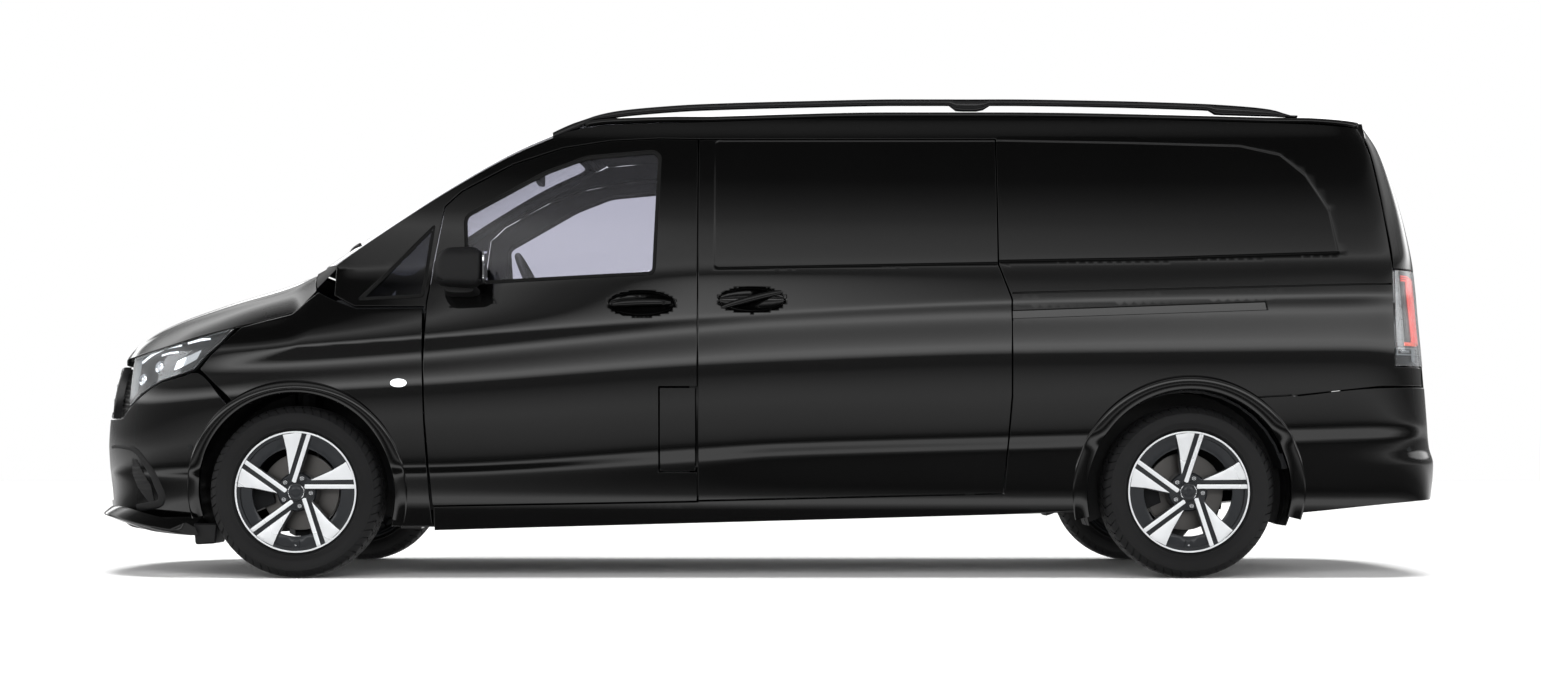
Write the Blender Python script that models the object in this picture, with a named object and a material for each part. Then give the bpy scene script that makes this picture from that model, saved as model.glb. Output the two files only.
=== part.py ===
"""Long-wheelbase panel van: body, doors, running gear and cab, one object per real piece.

Units are metres. +X points forward, +Y to the van's left, +Z up. The origin is on the ground
under the middle of the overall length. The outer skin is one set of formulas, and every
panel is a patch of it with its real shut lines.
"""
import math

import bmesh
import bpy
import numpy as np

# Overall sizes of the van
LENGTH = 5.370
WHEELBASE = 3.430
FRONT_OVERHANG = 0.895
BODY_WIDTH = 1.928
HEIGHT = 1.910
FRONT_TRACK = 1.666
REAR_TRACK = 1.646

# Wheels
TYRE_RADIUS = 0.3320
RIM_FLANGE_RADIUS = 0.2340
RIM_SEAT_RADIUS = 0.2150
RIM_WIDTH = 0.190
RIM_WALL = 0.007
HUB_RADIUS = 0.075
SPOKES = 5
DISC_RADIUS = 0.150
DISC_THICKNESS = 0.026
TYRE_SEGMENTS = 28
RIM_SEGMENTS = 28

# Walls and gaps
TOUCH = 0.0003
SHUT_GAP = 0.006
WALL = 0.050
DOOR_WALL = 0.055
SKIN = 0.012
ROOF_WALL = 0.024
NARROWEST_SIDE = 0.550
GLASS = 0.005
GLASS_STEP = 0.006
FLOOR_TOP = 0.480
FLOOR_THICKNESS = 0.060

# Places along the van
FRONT_X = LENGTH / 2
REAR_X = -LENGTH / 2
FRONT_AXLE_X = FRONT_X - FRONT_OVERHANG
REAR_AXLE_X = FRONT_AXLE_X - WHEELBASE
AXLE_Z = TYRE_RADIUS
HALF = BODY_WIDTH / 2
INNER_SILL_HALF = HALF - 0.124
DOOR_SEAM_X = FRONT_AXLE_X - 1.540
SLIDE_REAR_X = DOOR_SEAM_X - 1.155
FRONT_ARCH_RADIUS = 0.385
REAR_ARCH_RADIUS = 0.395
NOSE_START_X = FRONT_X - 1.185
TAIL_START_X = REAR_X + 0.785
ROOF_EDGE_HALF = HALF - 0.229
ROOF_FRONT_X = FRONT_AXLE_X - 1.000
TAILGATE_TOP_X = REAR_X + 0.325

# Steps across the side of the body, from the sill up: height along the van, half width, rounding
SIDE_STEPS = [
    ([(-2.7, 0.160), (2.7, 0.160)], HALF - 0.090, 0.020),
    ([(-2.7, 0.300), (2.7, 0.300)], HALF - 0.040, 0.030),
    ([(-2.7, 0.545), (-0.99, 0.500), (-0.07, 0.474), (0.25, 0.450), (1.265, 0.406), (2.7, 0.39)],
     HALF - 0.026, 0.012),
    ([(-2.7, 0.590), (-0.99, 0.543), (-0.07, 0.515), (0.25, 0.498), (1.265, 0.428), (2.7, 0.41)],
     HALF - 0.012, 0.014),
    ([(-2.7, 0.860), (-0.95, 0.855), (-0.07, 0.826), (0.25, 0.814), (1.29, 0.746), (2.7, 0.68)],
     HALF, 0.060),
    ([(-2.7, 1.040), (-0.95, 1.010), (-0.07, 0.975), (0.25, 0.951), (1.386, 0.845), (2.7, 0.76)],
     HALF - 0.016, 0.030),
    ([(-2.7, 1.095), (-0.957, 1.060), (0.25, 1.000), (1.386, 0.914), (2.7, 0.83)],
     HALF - 0.017, 0.010),
    ([(-2.7, 1.235), (-0.9, 1.200), (0.17, 1.184), (1.14, 1.128), (2.7, 1.05)],
     HALF - 0.030, 0.020),
    ([(-2.7, 1.430), (2.7, 1.400)], HALF - 0.078, 0.080),
    ([(-2.7, 1.610), (2.7, 1.600)], HALF - 0.135, 0.070),
    ([(-2.7, 1.710), (2.7, 1.710)], HALF - 0.177, 0.040),
    ([(-2.7, 1.800), (2.7, 1.800)], HALF - 0.250, 0.030),
]

# Centre-line outlines of nose and tail, as height against distance from the end
NOSE_LINE = [(0.12, 0.130), (0.19, 0.075), (0.24, 0.012), (0.35, 0.006), (0.50, 0.000),
             (0.66, 0.012), (0.756, 0.030), (0.866, 0.072), (0.94, 0.135), (1.00, 0.235),
             (1.072, 0.420), (1.20, 0.860)]
TAIL_LINE = [(0.20, 0.020), (0.44, 0.000), (0.50, 0.018), (0.705, 0.040), (0.94, 0.062),
             (1.188, 0.084), (1.337, 0.108), (1.529, 0.155), (1.667, 0.200), (1.749, 0.245),
             (1.90, 0.340)]
CAB_TAPER = 0.085
CAB_TAPER_START_X = 0.150
CAB_TAPER_RISE = 0.300
NOSE_SQUARENESS = (2.2, 4.0)
TAIL_SQUARENESS = (3.0, 8.0)

# Bonnet: centre height along the van, and the line where it meets the wing, from front to rear
BONNET_CENTRE = [(1.60, 1.245), (1.80, 1.215), (1.953, 1.165), (2.196, 1.090), (2.439, 1.000),
                 (2.550, 0.935), (2.613, 0.868), (2.640, 0.820)]
BONNET_EDGE_Z = [(1.55, 1.175), (1.66, 1.150), (1.72, 1.115), (1.81, 1.030), (2.03, 0.972),
                 (2.20, 0.930), (2.33, 0.895), (2.49, 0.860), (2.60, 0.820)]
BONNET_EDGE_Y = [(1.55, HALF - 0.174), (1.66, HALF - 0.149), (1.72, HALF - 0.134),
                 (1.81, HALF - 0.109), (2.03, HALF - 0.102), (2.20, HALF - 0.129),
                 (2.33, HALF - 0.189), (2.49, HALF - 0.349), (2.55, HALF - 0.504)]

# Roof and windscreen
ROOF_CENTRE = [(-2.70, 1.835), (-2.36, 1.868), (-2.0, 1.890), (-1.5, 1.903), (-0.5, HEIGHT),
               (0.25, 1.899), (0.60, 1.878), (0.90, 1.838)]
ROOF_EDGE = [(-2.70, 1.725), (-2.35, 1.752), (-2.1, 1.768), (-0.9, 1.795), (-0.5, 1.795),
             (0.25, 1.775), (0.60, 1.765), (0.90, 1.700)]
PILLAR_LINE = [(0.700, 1.760), (0.954, 1.648), (1.190, 1.514), (1.426, 1.361), (1.662, 1.200)]
SCREEN_CENTRE = [(0.790, 1.853), (1.010, 1.742), (1.290, 1.580), (1.560, 1.405), (1.810, 1.222)]
PILLAR_WIDTH = 0.050


def remove_old_objects():
    for old in list(bpy.data.objects):
        bpy.data.objects.remove(old, do_unlink=True)


def through(points, x):
    """Smooth monotone curve through points, read at x."""
    px, py = np.array(points, dtype=float).T
    step = np.diff(px)
    slope = np.diff(py) / step
    inner = slope[:-1] * slope[1:]
    both = np.where(np.abs(slope[:-1] + slope[1:]) < 1e-9, 1.0, slope[:-1] + slope[1:])
    tangent = np.concatenate([slope[:1], np.where(inner > 0, 2 * inner / both, 0.0), slope[-1:]])
    x = np.asarray(x, dtype=float)
    i = np.clip(np.searchsorted(px, x) - 1, 0, len(px) - 2)
    t = np.clip((x - px[i]) / step[i], 0.0, 1.0)
    h = step[i]
    return ((2 * t**3 - 3 * t**2 + 1) * py[i] + (t**3 - 2 * t**2 + t) * h * tangent[i]
            + (3 * t**2 - 2 * t**3) * py[i + 1] + (t**3 - t**2) * h * tangent[i + 1])


def soft_ramp(t, radius):
    """Ramp that is 0 below t=0 and t above it, rounded over the radius."""
    return (t + np.sqrt(t * t + radius * radius)) / 2


def nose_x(z):
    return FRONT_X - through(NOSE_LINE, z)


def tail_x(z):
    return REAR_X + through(TAIL_LINE, z)


def side_profile(x, z):
    """Half width before the ends taper: a sum of rounded ramps between the side's steps."""
    heights = [through(step[0], x) for step in SIDE_STEPS]
    widths = [step[1] for step in SIDE_STEPS]
    total = np.full(np.broadcast(x, z).shape, widths[0], dtype=float)
    for k in range(len(SIDE_STEPS) - 1):
        slope = (widths[k + 1] - widths[k]) / (heights[k + 1] - heights[k])
        total += slope * (soft_ramp(z - heights[k], SIDE_STEPS[k][2])
                          - soft_ramp(z - heights[k + 1], SIDE_STEPS[k + 1][2]))
    ahead = np.clip((x - CAB_TAPER_START_X) / (FRONT_AXLE_X - CAB_TAPER_START_X), 0.0, 1.0)
    above = np.clip((z - heights[6]) / CAB_TAPER_RISE, 0.0, 1.0)
    return total - CAB_TAPER * ahead**2 * above**2 * (3 - 2 * above)


def taper(x, z):
    """Share of the side's half width that is left where the plan rounds to nose and tail."""
    p, q = NOSE_SQUARENESS
    ahead = np.clip((x - NOSE_START_X) / (nose_x(z) - NOSE_START_X), 0.0, 1.0)
    front = (1 - ahead**q) ** (1 / p)
    p, q = TAIL_SQUARENESS
    behind = np.clip((TAIL_START_X - x) / (TAIL_START_X - tail_x(z)), 0.0, 1.0)
    rear = (1 - behind**q) ** (1 / p)
    return front * rear


def half_width(x, z):
    """Half width of the outer skin at x along the van and height z."""
    x, z = np.broadcast_arrays(np.asarray(x, float), np.asarray(z, float))
    return side_profile(x, z) * taper(x, z)


def nose_point(y_share, z):
    """Point of the front skin at height z, where y_share runs from 0 at the middle to 1."""
    p, q = NOSE_SQUARENESS
    x = NOSE_START_X + (nose_x(z) - NOSE_START_X) * (1 - np.abs(y_share)**p) ** (1 / q)
    return x, y_share * side_profile(x, z), z


def tail_point(y_share, z):
    """Point of the rear skin at height z, where y_share runs from 0 at the middle to 1."""
    p, q = TAIL_SQUARENESS
    x = TAIL_START_X - (TAIL_START_X - tail_x(z)) * (1 - np.abs(y_share)**p) ** (1 / q)
    return x, y_share * side_profile(x, z), z


def roof_height(x, y):
    centre = through(ROOF_CENTRE, x)
    edge = through(ROOF_EDGE, x) + ROOF_WALL
    return centre - (centre - edge) * np.abs(y / ROOF_EDGE_HALF) ** 3.2


def make_material(name, colour, roughness, metallic=0.0, alpha=1.0):
    material = bpy.data.materials.new(name)
    material.use_nodes = True
    shader = material.node_tree.nodes["Principled BSDF"]
    shader.inputs["Base Color"].default_value = (*colour, 1.0)
    shader.inputs["Roughness"].default_value = roughness
    shader.inputs["Metallic"].default_value = metallic
    shader.inputs["Alpha"].default_value = alpha
    return material


def finish_mesh(name, mesh, colour, smooth_angle=math.radians(35), guide=False):
    """Close, orient and shade a mesh, and put it in the scene as one named object."""
    work = bmesh.new()
    work.from_mesh(mesh)
    bmesh.ops.remove_doubles(work, verts=work.verts, dist=1e-6)
    bmesh.ops.recalc_face_normals(work, faces=work.faces)
    work.to_mesh(mesh)
    work.free()
    mesh.shade_smooth()
    mesh.set_sharp_from_angle(angle=smooth_angle)
    piece = bpy.data.objects.new(name, mesh)
    bpy.context.scene.collection.objects.link(piece)
    if guide:
        piece.hide_render = True
        piece.display_type = "WIRE"
    else:
        material = make_material(name + "_finish", *colour)
        mesh.materials.append(material)
    return piece


def mesh_from(name, verts, faces):
    mesh = bpy.data.meshes.new(name)
    mesh.from_pydata([tuple(v) for v in verts], [], faces)
    return mesh


def shell(name, outer, inner, colour, guide=False):
    """Closed panel between an outer and an inner grid of points with the same rows."""
    rows, columns = outer.shape[:2]
    verts = np.concatenate([outer.reshape(-1, 3), inner.reshape(-1, 3)])
    count = rows * columns

    def at(i, j, inside):
        return inside * count + i * columns + j

    faces = []
    for i in range(rows - 1):
        for j in range(columns - 1):
            faces.append((at(i, j, 0), at(i, j + 1, 0), at(i + 1, j + 1, 0), at(i + 1, j, 0)))
            faces.append((at(i, j, 1), at(i + 1, j, 1), at(i + 1, j + 1, 1), at(i, j + 1, 1)))
    for i in range(rows - 1):
        for j in (0, columns - 1):
            faces.append((at(i, j, 0), at(i + 1, j, 0), at(i + 1, j, 1), at(i, j, 1)))
    for j in range(columns - 1):
        for i in (0, rows - 1):
            faces.append((at(i, j, 0), at(i, j + 1, 0), at(i, j + 1, 1), at(i, j, 1)))
    return finish_mesh(name, mesh_from(name, verts, faces), colour, guide=guide)


def prism(name, outline, low, high, axis="Y", colour=None):
    """Outline extruded along an axis. Without a colour it is a cutter or a piece to join."""
    outline = np.array(outline, dtype=float)
    count = len(outline)
    layers = []
    for level in (low, high):
        column = np.full(count, level)
        if axis == "Y":
            layers.append(np.c_[outline[:, 0], column, outline[:, 1]])
        elif axis == "X":
            layers.append(np.c_[column, outline[:, 0], outline[:, 1]])
        else:
            layers.append(np.c_[outline[:, 0], outline[:, 1], column])
    faces = [tuple(range(count)), tuple(range(2 * count - 1, count - 1, -1))]
    for k in range(count):
        n = (k + 1) % count
        faces.append((k, n, count + n, count + k))
    mesh = mesh_from(name, np.concatenate(layers), faces)
    return finish_mesh(name, mesh, colour, guide=colour is None)


def box(name, low, high, colour=None):
    (x0, y0, z0), (x1, y1, z1) = low, high
    y0, y1 = sorted((y0, y1))
    return prism(name, [(x0, z0), (x1, z0), (x1, z1), (x0, z1)], y0, y1, "Y", colour)


def circle(cx, cy, radius, segments, start=0.0, turn=2 * math.pi):
    whole = abs(turn - 2 * math.pi) < 1e-9
    steps = segments if whole else segments + 1
    return [(cx + radius * math.cos(start + turn * k / segments),
             cy + radius * math.sin(start + turn * k / segments)) for k in range(steps)]


def rounded(points, radius, segments=3):
    """Closed outline with every corner rounded."""
    points = [np.array(p, dtype=float) for p in points]
    result = []
    for k, corner in enumerate(points):
        before = points[k - 1] - corner
        after = points[(k + 1) % len(points)] - corner
        reach = min(radius, 0.45 * np.linalg.norm(before), 0.45 * np.linalg.norm(after))
        start = corner + before / np.linalg.norm(before) * reach
        end = corner + after / np.linalg.norm(after) * reach
        for s in range(segments + 1):
            t = s / segments
            result.append(tuple((1 - t)**2 * start + 2 * t * (1 - t) * corner + t**2 * end))
    return result


def boolean(piece, other, operation):
    modifier = piece.modifiers.new(operation.lower(), "BOOLEAN")
    modifier.operation = operation
    modifier.solver = "EXACT"
    modifier.object = other
    return piece


def cut(piece, *cutters):
    for cutter in cutters:
        boolean(piece, cutter, "DIFFERENCE")
    return piece


def join(piece, *others):
    for other in others:
        boolean(piece, other, "UNION")
    return piece


def revolve(name, profile, centre, segments, colour=None):
    """Closed ring or disc: a profile of (offset along Y, radius) turned round a Y axis."""
    verts = []
    ring = []
    for offset, radius in profile:
        if radius < 1e-9:
            ring.append([len(verts)] * segments)
            verts.append((centre[0], centre[1] + offset, centre[2]))
            continue
        ring.append(list(range(len(verts), len(verts) + segments)))
        for k in range(segments):
            angle = 2 * math.pi * k / segments
            verts.append((centre[0] + radius * math.cos(angle), centre[1] + offset,
                          centre[2] + radius * math.sin(angle)))
    faces = []
    count = len(profile)
    closed = profile[0][1] > 1e-9
    for a in range(count if closed else count - 1):
        b = (a + 1) % count
        for k in range(segments):
            n = (k + 1) % segments
            face = []
            for v in (ring[a][k], ring[a][n], ring[b][n], ring[b][k]):
                if v not in face:
                    face.append(v)
            if len(face) > 2:
                faces.append(tuple(face))
    return finish_mesh(name, mesh_from(name, verts, faces), colour, guide=colour is None)


def along(points, t):
    """Points of a polyline at shares t of its length."""
    points = np.array(points, dtype=float)
    reach = np.concatenate([[0.0], np.cumsum(np.linalg.norm(np.diff(points, axis=0), axis=1))])
    reach /= reach[-1]
    return np.stack([np.interp(t, reach, points[:, k]) for k in range(points.shape[1])], axis=-1)


def coons(bottom, top, rear, front, columns, rows):
    """Grid of side-view points between four edges: rows go up, columns go forward."""
    u = np.linspace(0, 1, columns)
    v = np.linspace(0, 1, rows)
    b, t, r, f = along(bottom, u), along(top, u), along(rear, v), along(front, v)
    uu = u[None, :, None]
    vv = v[:, None, None]
    corners = ((1 - uu) * (1 - vv) * b[0] + uu * (1 - vv) * b[-1]
               + (1 - uu) * vv * t[0] + uu * vv * t[-1])
    return (1 - vv) * b[None] + vv * t[None] + (1 - uu) * r[:, None] + uu * f[:, None] - corners


def side_points(grid, side, inset=0.0, wall=None):
    """Side-view grid put on the skin of one side, or on its inner face when wall is given."""
    centre = grid.mean(axis=(0, 1))
    if inset:
        reach = np.abs(grid - centre).max(axis=(0, 1))
        grid = centre + (grid - centre) * (1 - inset / reach)
    y = half_width(grid[..., 0], grid[..., 1])
    if wall is not None:
        y = y - wall
    return np.stack([grid[..., 0], side * y, grid[..., 1]], axis=-1)


# Shut lines in the side view, as (x, z)
DOOR_TOP = [(DOOR_SEAM_X, 1.700), (0.400, 1.703), (0.588, 1.694), (0.776, 1.664), (0.965, 1.600),
            (1.160, 1.495), (1.225, 1.435)]
DOOR_FRONT = [(1.265, 0.279), (1.290, 0.600), (1.298, 0.830), (1.285, 1.060), (1.262, 1.220),
              (1.225, 1.435)]
DOOR_BOTTOM = [(DOOR_SEAM_X, 0.297), (1.300, 0.279)]
SLIDE_TOP = [(SLIDE_REAR_X, 1.700), (DOOR_SEAM_X, 1.700)]
SLIDE_BOTTOM = [(SLIDE_REAR_X - 0.021, 0.328), (DOOR_SEAM_X, 0.300)]
SLIDE_REAR = [(SLIDE_REAR_X - 0.021, 0.328), (SLIDE_REAR_X - 0.051, 0.700),
              (SLIDE_REAR_X - 0.051, 1.070), (SLIDE_REAR_X, 1.205), (SLIDE_REAR_X, 1.700)]
DOOR_WINDOW = [(1.153, 1.399), (0.842, 1.573), (0.682, 1.634), (0.418, 1.658), (0.390, 1.634),
               (0.409, 1.166), (1.140, 1.128)]
QUARTER_WINDOW = [(1.560, 1.068), (1.300, 1.080), (1.262, 1.369)]
FRONT_HANDLE = [(0.576, 1.042), (0.350, 1.046), (0.350, 1.072), (0.576, 1.068)]
SLIDE_HANDLE = [(0.153, 1.066), (-0.080, 1.074), (-0.080, 1.101), (0.153, 1.092)]

# Seams of the wings, bumpers and lamps
WING_TOP = [(1.304, 1.036), (1.560, 1.036), (1.640, 1.066), (1.715, 1.102), (1.765, 1.062),
            (1.815, 1.016), (1.920, 0.990), (2.006, 0.966), (2.068, 0.905), (2.120, 0.856),
            (2.162, 0.804)]
WING_REAR = [(1.271, 0.200), (1.296, 0.600), (1.304, 0.830), (1.304, 1.036)]
WING_FRONT = [(1.900, 0.200), (1.900, 0.550), (2.010, 0.642), (2.040, 0.692), (2.162, 0.804)]
BUMPER_TOP = [(2.00, 0.610), (2.028, 0.634), (2.060, 0.676), (2.184, 0.790), (2.23, 0.778),
              (2.33, 0.752), (2.42, 0.702), (2.487, 0.650), (2.53, 0.615), (2.69, 0.615)]
LAMP_BOTTOM = [(2.036, 0.964), (2.085, 0.905), (2.136, 0.860), (2.190, 0.803), (2.235, 0.789),
               (2.330, 0.761), (2.420, 0.711), (2.484, 0.660)]
LAMP_TOP = [(2.036, 0.967), (2.194, 0.926), (2.325, 0.890), (2.478, 0.855)]
TAIL_SEAM = [(0.60, -2.433), (1.189, -2.431), (1.430, -2.403), (1.640, -2.375), (1.759, -2.345),
             (1.90, -2.300)]
TAIL_WINDOW = [(0.304 - HALF, 1.215), (HALF - 0.304, 1.215), (HALF - 0.404, 1.690),
               (0.404 - HALF, 1.690)]
LAMP_INNER_Y = HALF - 0.299
LAMP_LOW_Z = 0.817
LAMP_HIGH_Z = 1.186

# Steering wheel and column
COLUMN_LENGTH = 0.180
STEER_WHEEL_X = 0.905
STEER_WHEEL_Y = 0.400
STEER_WHEEL_Z = 1.110
STEER_COLUMN_TILT = math.radians(26)

# Finishes as linear colour, roughness, metallic and alpha
PAINT = ((0.004, 0.004, 0.0045), 0.12)
TRIM = ((0.010, 0.010, 0.011), 0.55)
RUBBER = ((0.012, 0.012, 0.012), 0.85)
ALLOY = ((0.60, 0.61, 0.62), 0.30, 1.0)
CASTING = ((0.05, 0.05, 0.055), 0.60, 0.6)
SEAT_CLOTH = ((0.020, 0.020, 0.022), 0.90)
WINDOW = ((0.25, 0.26, 0.30), 0.03, 0.0, 0.35)
LAMP_CLEAR = ((0.55, 0.57, 0.60), 0.05, 0.0, 0.5)
LAMP_RED = ((0.35, 0.01, 0.01), 0.10)
INTERIOR = ((0.030, 0.030, 0.032), 0.75)

# Hinges, steering and suspension
DOOR_HINGE_X = 1.238
DOOR_HINGE_Y = HALF - 0.026
DOOR_HINGE_HEIGHTS = (0.500, 0.930)
DOOR_HINGE_LENGTH = 0.060
HINGE_PIN_RADIUS = 0.009
BONNET_HINGE_X = 1.800
BONNET_HINGE_Z = 1.086
BONNET_HINGE_Y = HALF - 0.364
FLAP_HINGE_X = 0.262
FLAP_HINGE_Y = HALF - 0.017
FLAP_HINGE_Z = (0.540, 0.600)
KINGPIN_Y = FRONT_TRACK / 2 - 0.088
RAIL_INNER_Y = (FRONT_TRACK + REAR_TRACK) / 4 - 0.388
RAIL_OUTER_Y = RAIL_INNER_Y + 0.070
WHEEL_BOX_Y = REAR_TRACK / 2 - 0.175
CARRIER_X = 2.500
CROSS_BAR_HALF = HALF - 0.404
PIVOT_LOW_Z = 0.180
PIVOT_HIGH_Z = 0.485
DISC_OFFSET = -0.033
HUB_FACE_OFFSET = 0.062
SPOKE_FACE_OFFSET = 0.0885


ROOF_STATIONS = np.concatenate([[TAILGATE_TOP_X + 0.019], np.linspace(-2.180, 0.500, 8)])
PILLAR_STATIONS = np.linspace(0.700, 1.650, 7)
TAIL_HINGE_X = TAILGATE_TOP_X - 0.012
TAIL_HINGE_Z = 1.845
TAIL_HINGE_Y = (0.360, 0.440)


def both_sides():
    return (("left", 1), ("right", -1))


def offset_outline(points, distance):
    """Closed outline grown by a distance, with mitred corners."""
    points = np.array(points, dtype=float)
    area = 0.5 * np.sum(points[:, 0] * np.roll(points[:, 1], -1)
                        - np.roll(points[:, 0], -1) * points[:, 1])
    along_edge = np.roll(points, -1, axis=0) - points
    along_edge /= np.linalg.norm(along_edge, axis=1)[:, None]
    normal = np.c_[along_edge[:, 1], -along_edge[:, 0]] * (1 if area > 0 else -1)
    before = np.roll(normal, 1, axis=0)
    mitre = normal + before
    mitre /= np.maximum(0.4, (mitre * normal).sum(axis=1))[:, None]
    return points + mitre * distance


def outline_of(bottom, top, rear, front):
    """Closed outline from four edges that share their end points."""
    loop = list(bottom) + list(front)[1:] + list(top)[::-1][1:] + list(rear)[::-1][1:-1]
    return [tuple(p) for p in loop]


def panel_grid(rear, front, bottom, top, columns):
    """Side-view grid between x(z) edges and z(x) edges, with rows on the side's own steps."""
    rear, front, bottom, top = (np.array(edge, dtype=float) for edge in (rear, front, bottom, top))
    u = np.linspace(0, 1, columns)

    def x_at(z):
        back = np.interp(z, rear[:, 1], rear[:, 0])
        return back + (np.interp(z, front[:, 1], front[:, 0]) - back) * u

    middle = (rear[:, 0].mean() + front[:, 0].mean()) / 2
    low, high = bottom[:, 1].min() + 0.03, top[:, 1].max() - 0.03
    steps = [step[0] for step in SIDE_STEPS if low < through(step[0], middle) < high]
    rows = [bottom] + steps + [top]
    grid = []
    for k, row in enumerate(rows):
        z = np.full(columns, np.interp(middle, *np.array(row, dtype=float).T))
        for _ in range(3):
            x = x_at(z)
            limit = np.interp(x, top[:, 0], top[:, 1]) - 0.008 * (len(rows) - 1 - k)
            line = np.interp(x, *np.array(row, dtype=float).T) if k in (0, len(rows) - 1) else through(row, x)
            z = np.minimum(line, limit)
        grid.append(np.stack([x, z], axis=-1))
    return np.array(grid)


def side_prism(name, outline, side, low=0.60, high=1.10):
    low, high = sorted((side * low, side * high))
    return prism(name, outline, low, high)


def arch_cutter(name, centre_x, radius, side):
    return side_prism(name, circle(centre_x, AXLE_Z, radius, 36), side)


def pillar_top(x):
    """Height where the body side ends: the roof edge, then the windscreen's edge."""
    return np.where(x < ROOF_FRONT_X, through(ROOF_EDGE, x), through(PILLAR_LINE, x))


def body_side(label, side):
    """Side frame: sill, A-post, cant rail, quarter window frame and rear quarter."""
    x = np.concatenate([[-2.600, -2.520, -2.440], ROOF_STATIONS, PILLAR_STATIONS])
    top = pillar_top(x)
    sill = through([(-2.7, 0.300), (-0.911, 0.244), (1.271, 0.183), (1.7, 0.170)], x)
    rows = [sill] + [through(step[0], x) for step in SIDE_STEPS[1:11]] + [top]
    last = len(rows) - 1
    z = np.array([np.minimum(row, top - 0.006 * (last - k)) for k, row in enumerate(rows)])
    reach = through(TAIL_SEAM, z) - 0.030 - np.where(z < 0.84, 0.130, 0.0)
    behind = np.clip((-2.342 - x) / 0.258, 0.0, 1.0)
    grid = np.where(behind > 0, -2.300 + (reach + 2.300) * behind, x)
    y = np.maximum(half_width(grid, z), NARROWEST_SIDE)
    on_pillar = x > ROOF_FRONT_X - 0.001
    inner_y = np.minimum(y - WALL, INNER_SILL_HALF)
    inner_z = z.copy()
    under = np.array([top - 0.030 - 0.004 * (last - k) for k in range(len(rows))])
    inner_z = np.where(on_pillar, np.minimum(inner_z, under), inner_z)
    y = np.vstack([y, np.where(on_pillar, y[-1] - PILLAR_WIDTH, y[-1] - 0.012)])
    z = np.vstack([z, z[-1] + np.where(on_pillar, 0.004, 0.0)])
    inner_y = np.vstack([inner_y, np.where(on_pillar, y[-1] - 0.008, inner_y[-1] + 0.006)])
    inner_z = np.vstack([inner_z, z[-1] - np.where(on_pillar, 0.030, 0.0)])
    grid = np.vstack([grid, grid[-1]])
    outer = np.stack([grid, side * y, z], axis=-1)
    inner = np.stack([grid, side * inner_y, inner_z], axis=-1)
    frame = shell("body_side_" + label, outer, inner, PAINT)
    door = outline_of([DOOR_BOTTOM[0], DOOR_FRONT[0]], DOOR_TOP, [DOOR_BOTTOM[0], DOOR_TOP[0]],
                      DOOR_FRONT)
    slide = outline_of(SLIDE_BOTTOM, SLIDE_TOP, SLIDE_REAR, [SLIDE_BOTTOM[1], SLIDE_TOP[1]])
    rear = [(-2.70, 1.85), (TAILGATE_TOP_X + 0.022, 1.85), (-2.339, 1.759), (-2.369, 1.640),
            (-2.397, 1.430), (-2.425, 1.189), (-2.427, 0.811), (-2.70, 0.811)]
    bumper = [(-1.70, 0.15), (-1.70, 0.681), (-1.830, 0.692), (-2.006, 0.701), (-2.37, 0.738),
              (-2.70, 0.741), (-2.70, 0.15)]
    front = [(1.262, 0.10), (1.262, 0.300), (1.290, 0.600), (1.296, 1.047), (1.566, 1.047),
             (1.80, 1.168), (1.80, 0.10)]
    cut(frame,
        side_prism("door_opening_" + label, offset_outline(door, SHUT_GAP), side),
        side_prism("slide_opening_" + label, offset_outline(slide, SHUT_GAP), side),
        arch_cutter("rear_arch_" + label, REAR_AXLE_X, REAR_ARCH_RADIUS, side),
        side_prism("tail_cut_" + label, rear, side),
        side_prism("bumper_cut_" + label, bumper, side),
        side_prism("front_cut_" + label, front, side),
        side_prism("quarter_opening_" + label, rounded(QUARTER_WINDOW, 0.02), side))
    join(frame, box("a_post_" + label, (1.315, side * (HALF - 0.184), 0.190),
                    (1.394, side * (HALF - 0.102), 1.062)),
         box("a_foot_" + label, (1.150, side * (HALF - 0.178), 0.196),
                    (1.330, side * (HALF - 0.106), 0.262)))
    join(frame, b_pillar(label, side))
    if side > 0:
        join(frame, filler_box())
    lamp_y = half_width(-2.433, 1.0)
    join(frame, box("lamp_seat_" + label, (-2.433 + TOUCH, side * (lamp_y - 0.034), 0.940),
                    (-2.400, side * (lamp_y - 0.012), 1.060)))
    for k, height in enumerate(DOOR_HINGE_HEIGHTS):
        half = DOOR_HINGE_LENGTH / 2
        barrel = prism("hinge_barrel_%d_%s" % (k, label),
                       circle(DOOR_HINGE_X, side * DOOR_HINGE_Y, HINGE_PIN_RADIUS, 10),
                       height - half, height + half, "Z")
        stem = box("hinge_stem_%d_%s" % (k, label),
                   (DOOR_HINGE_X - 0.006, side * (HALF - 0.106), height - half + 0.008),
                   (DOOR_HINGE_X + 0.006, side * DOOR_HINGE_Y, height + half - 0.008))
        arm = box("hinge_arm_%d_%s" % (k, label),
                  (DOOR_HINGE_X - 0.008, side * (HALF - 0.114), height - half + 0.006),
                  (1.330, side * (HALF - 0.098), height + half - 0.006))
        join(frame, barrel, stem, arm)
    return frame


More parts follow.
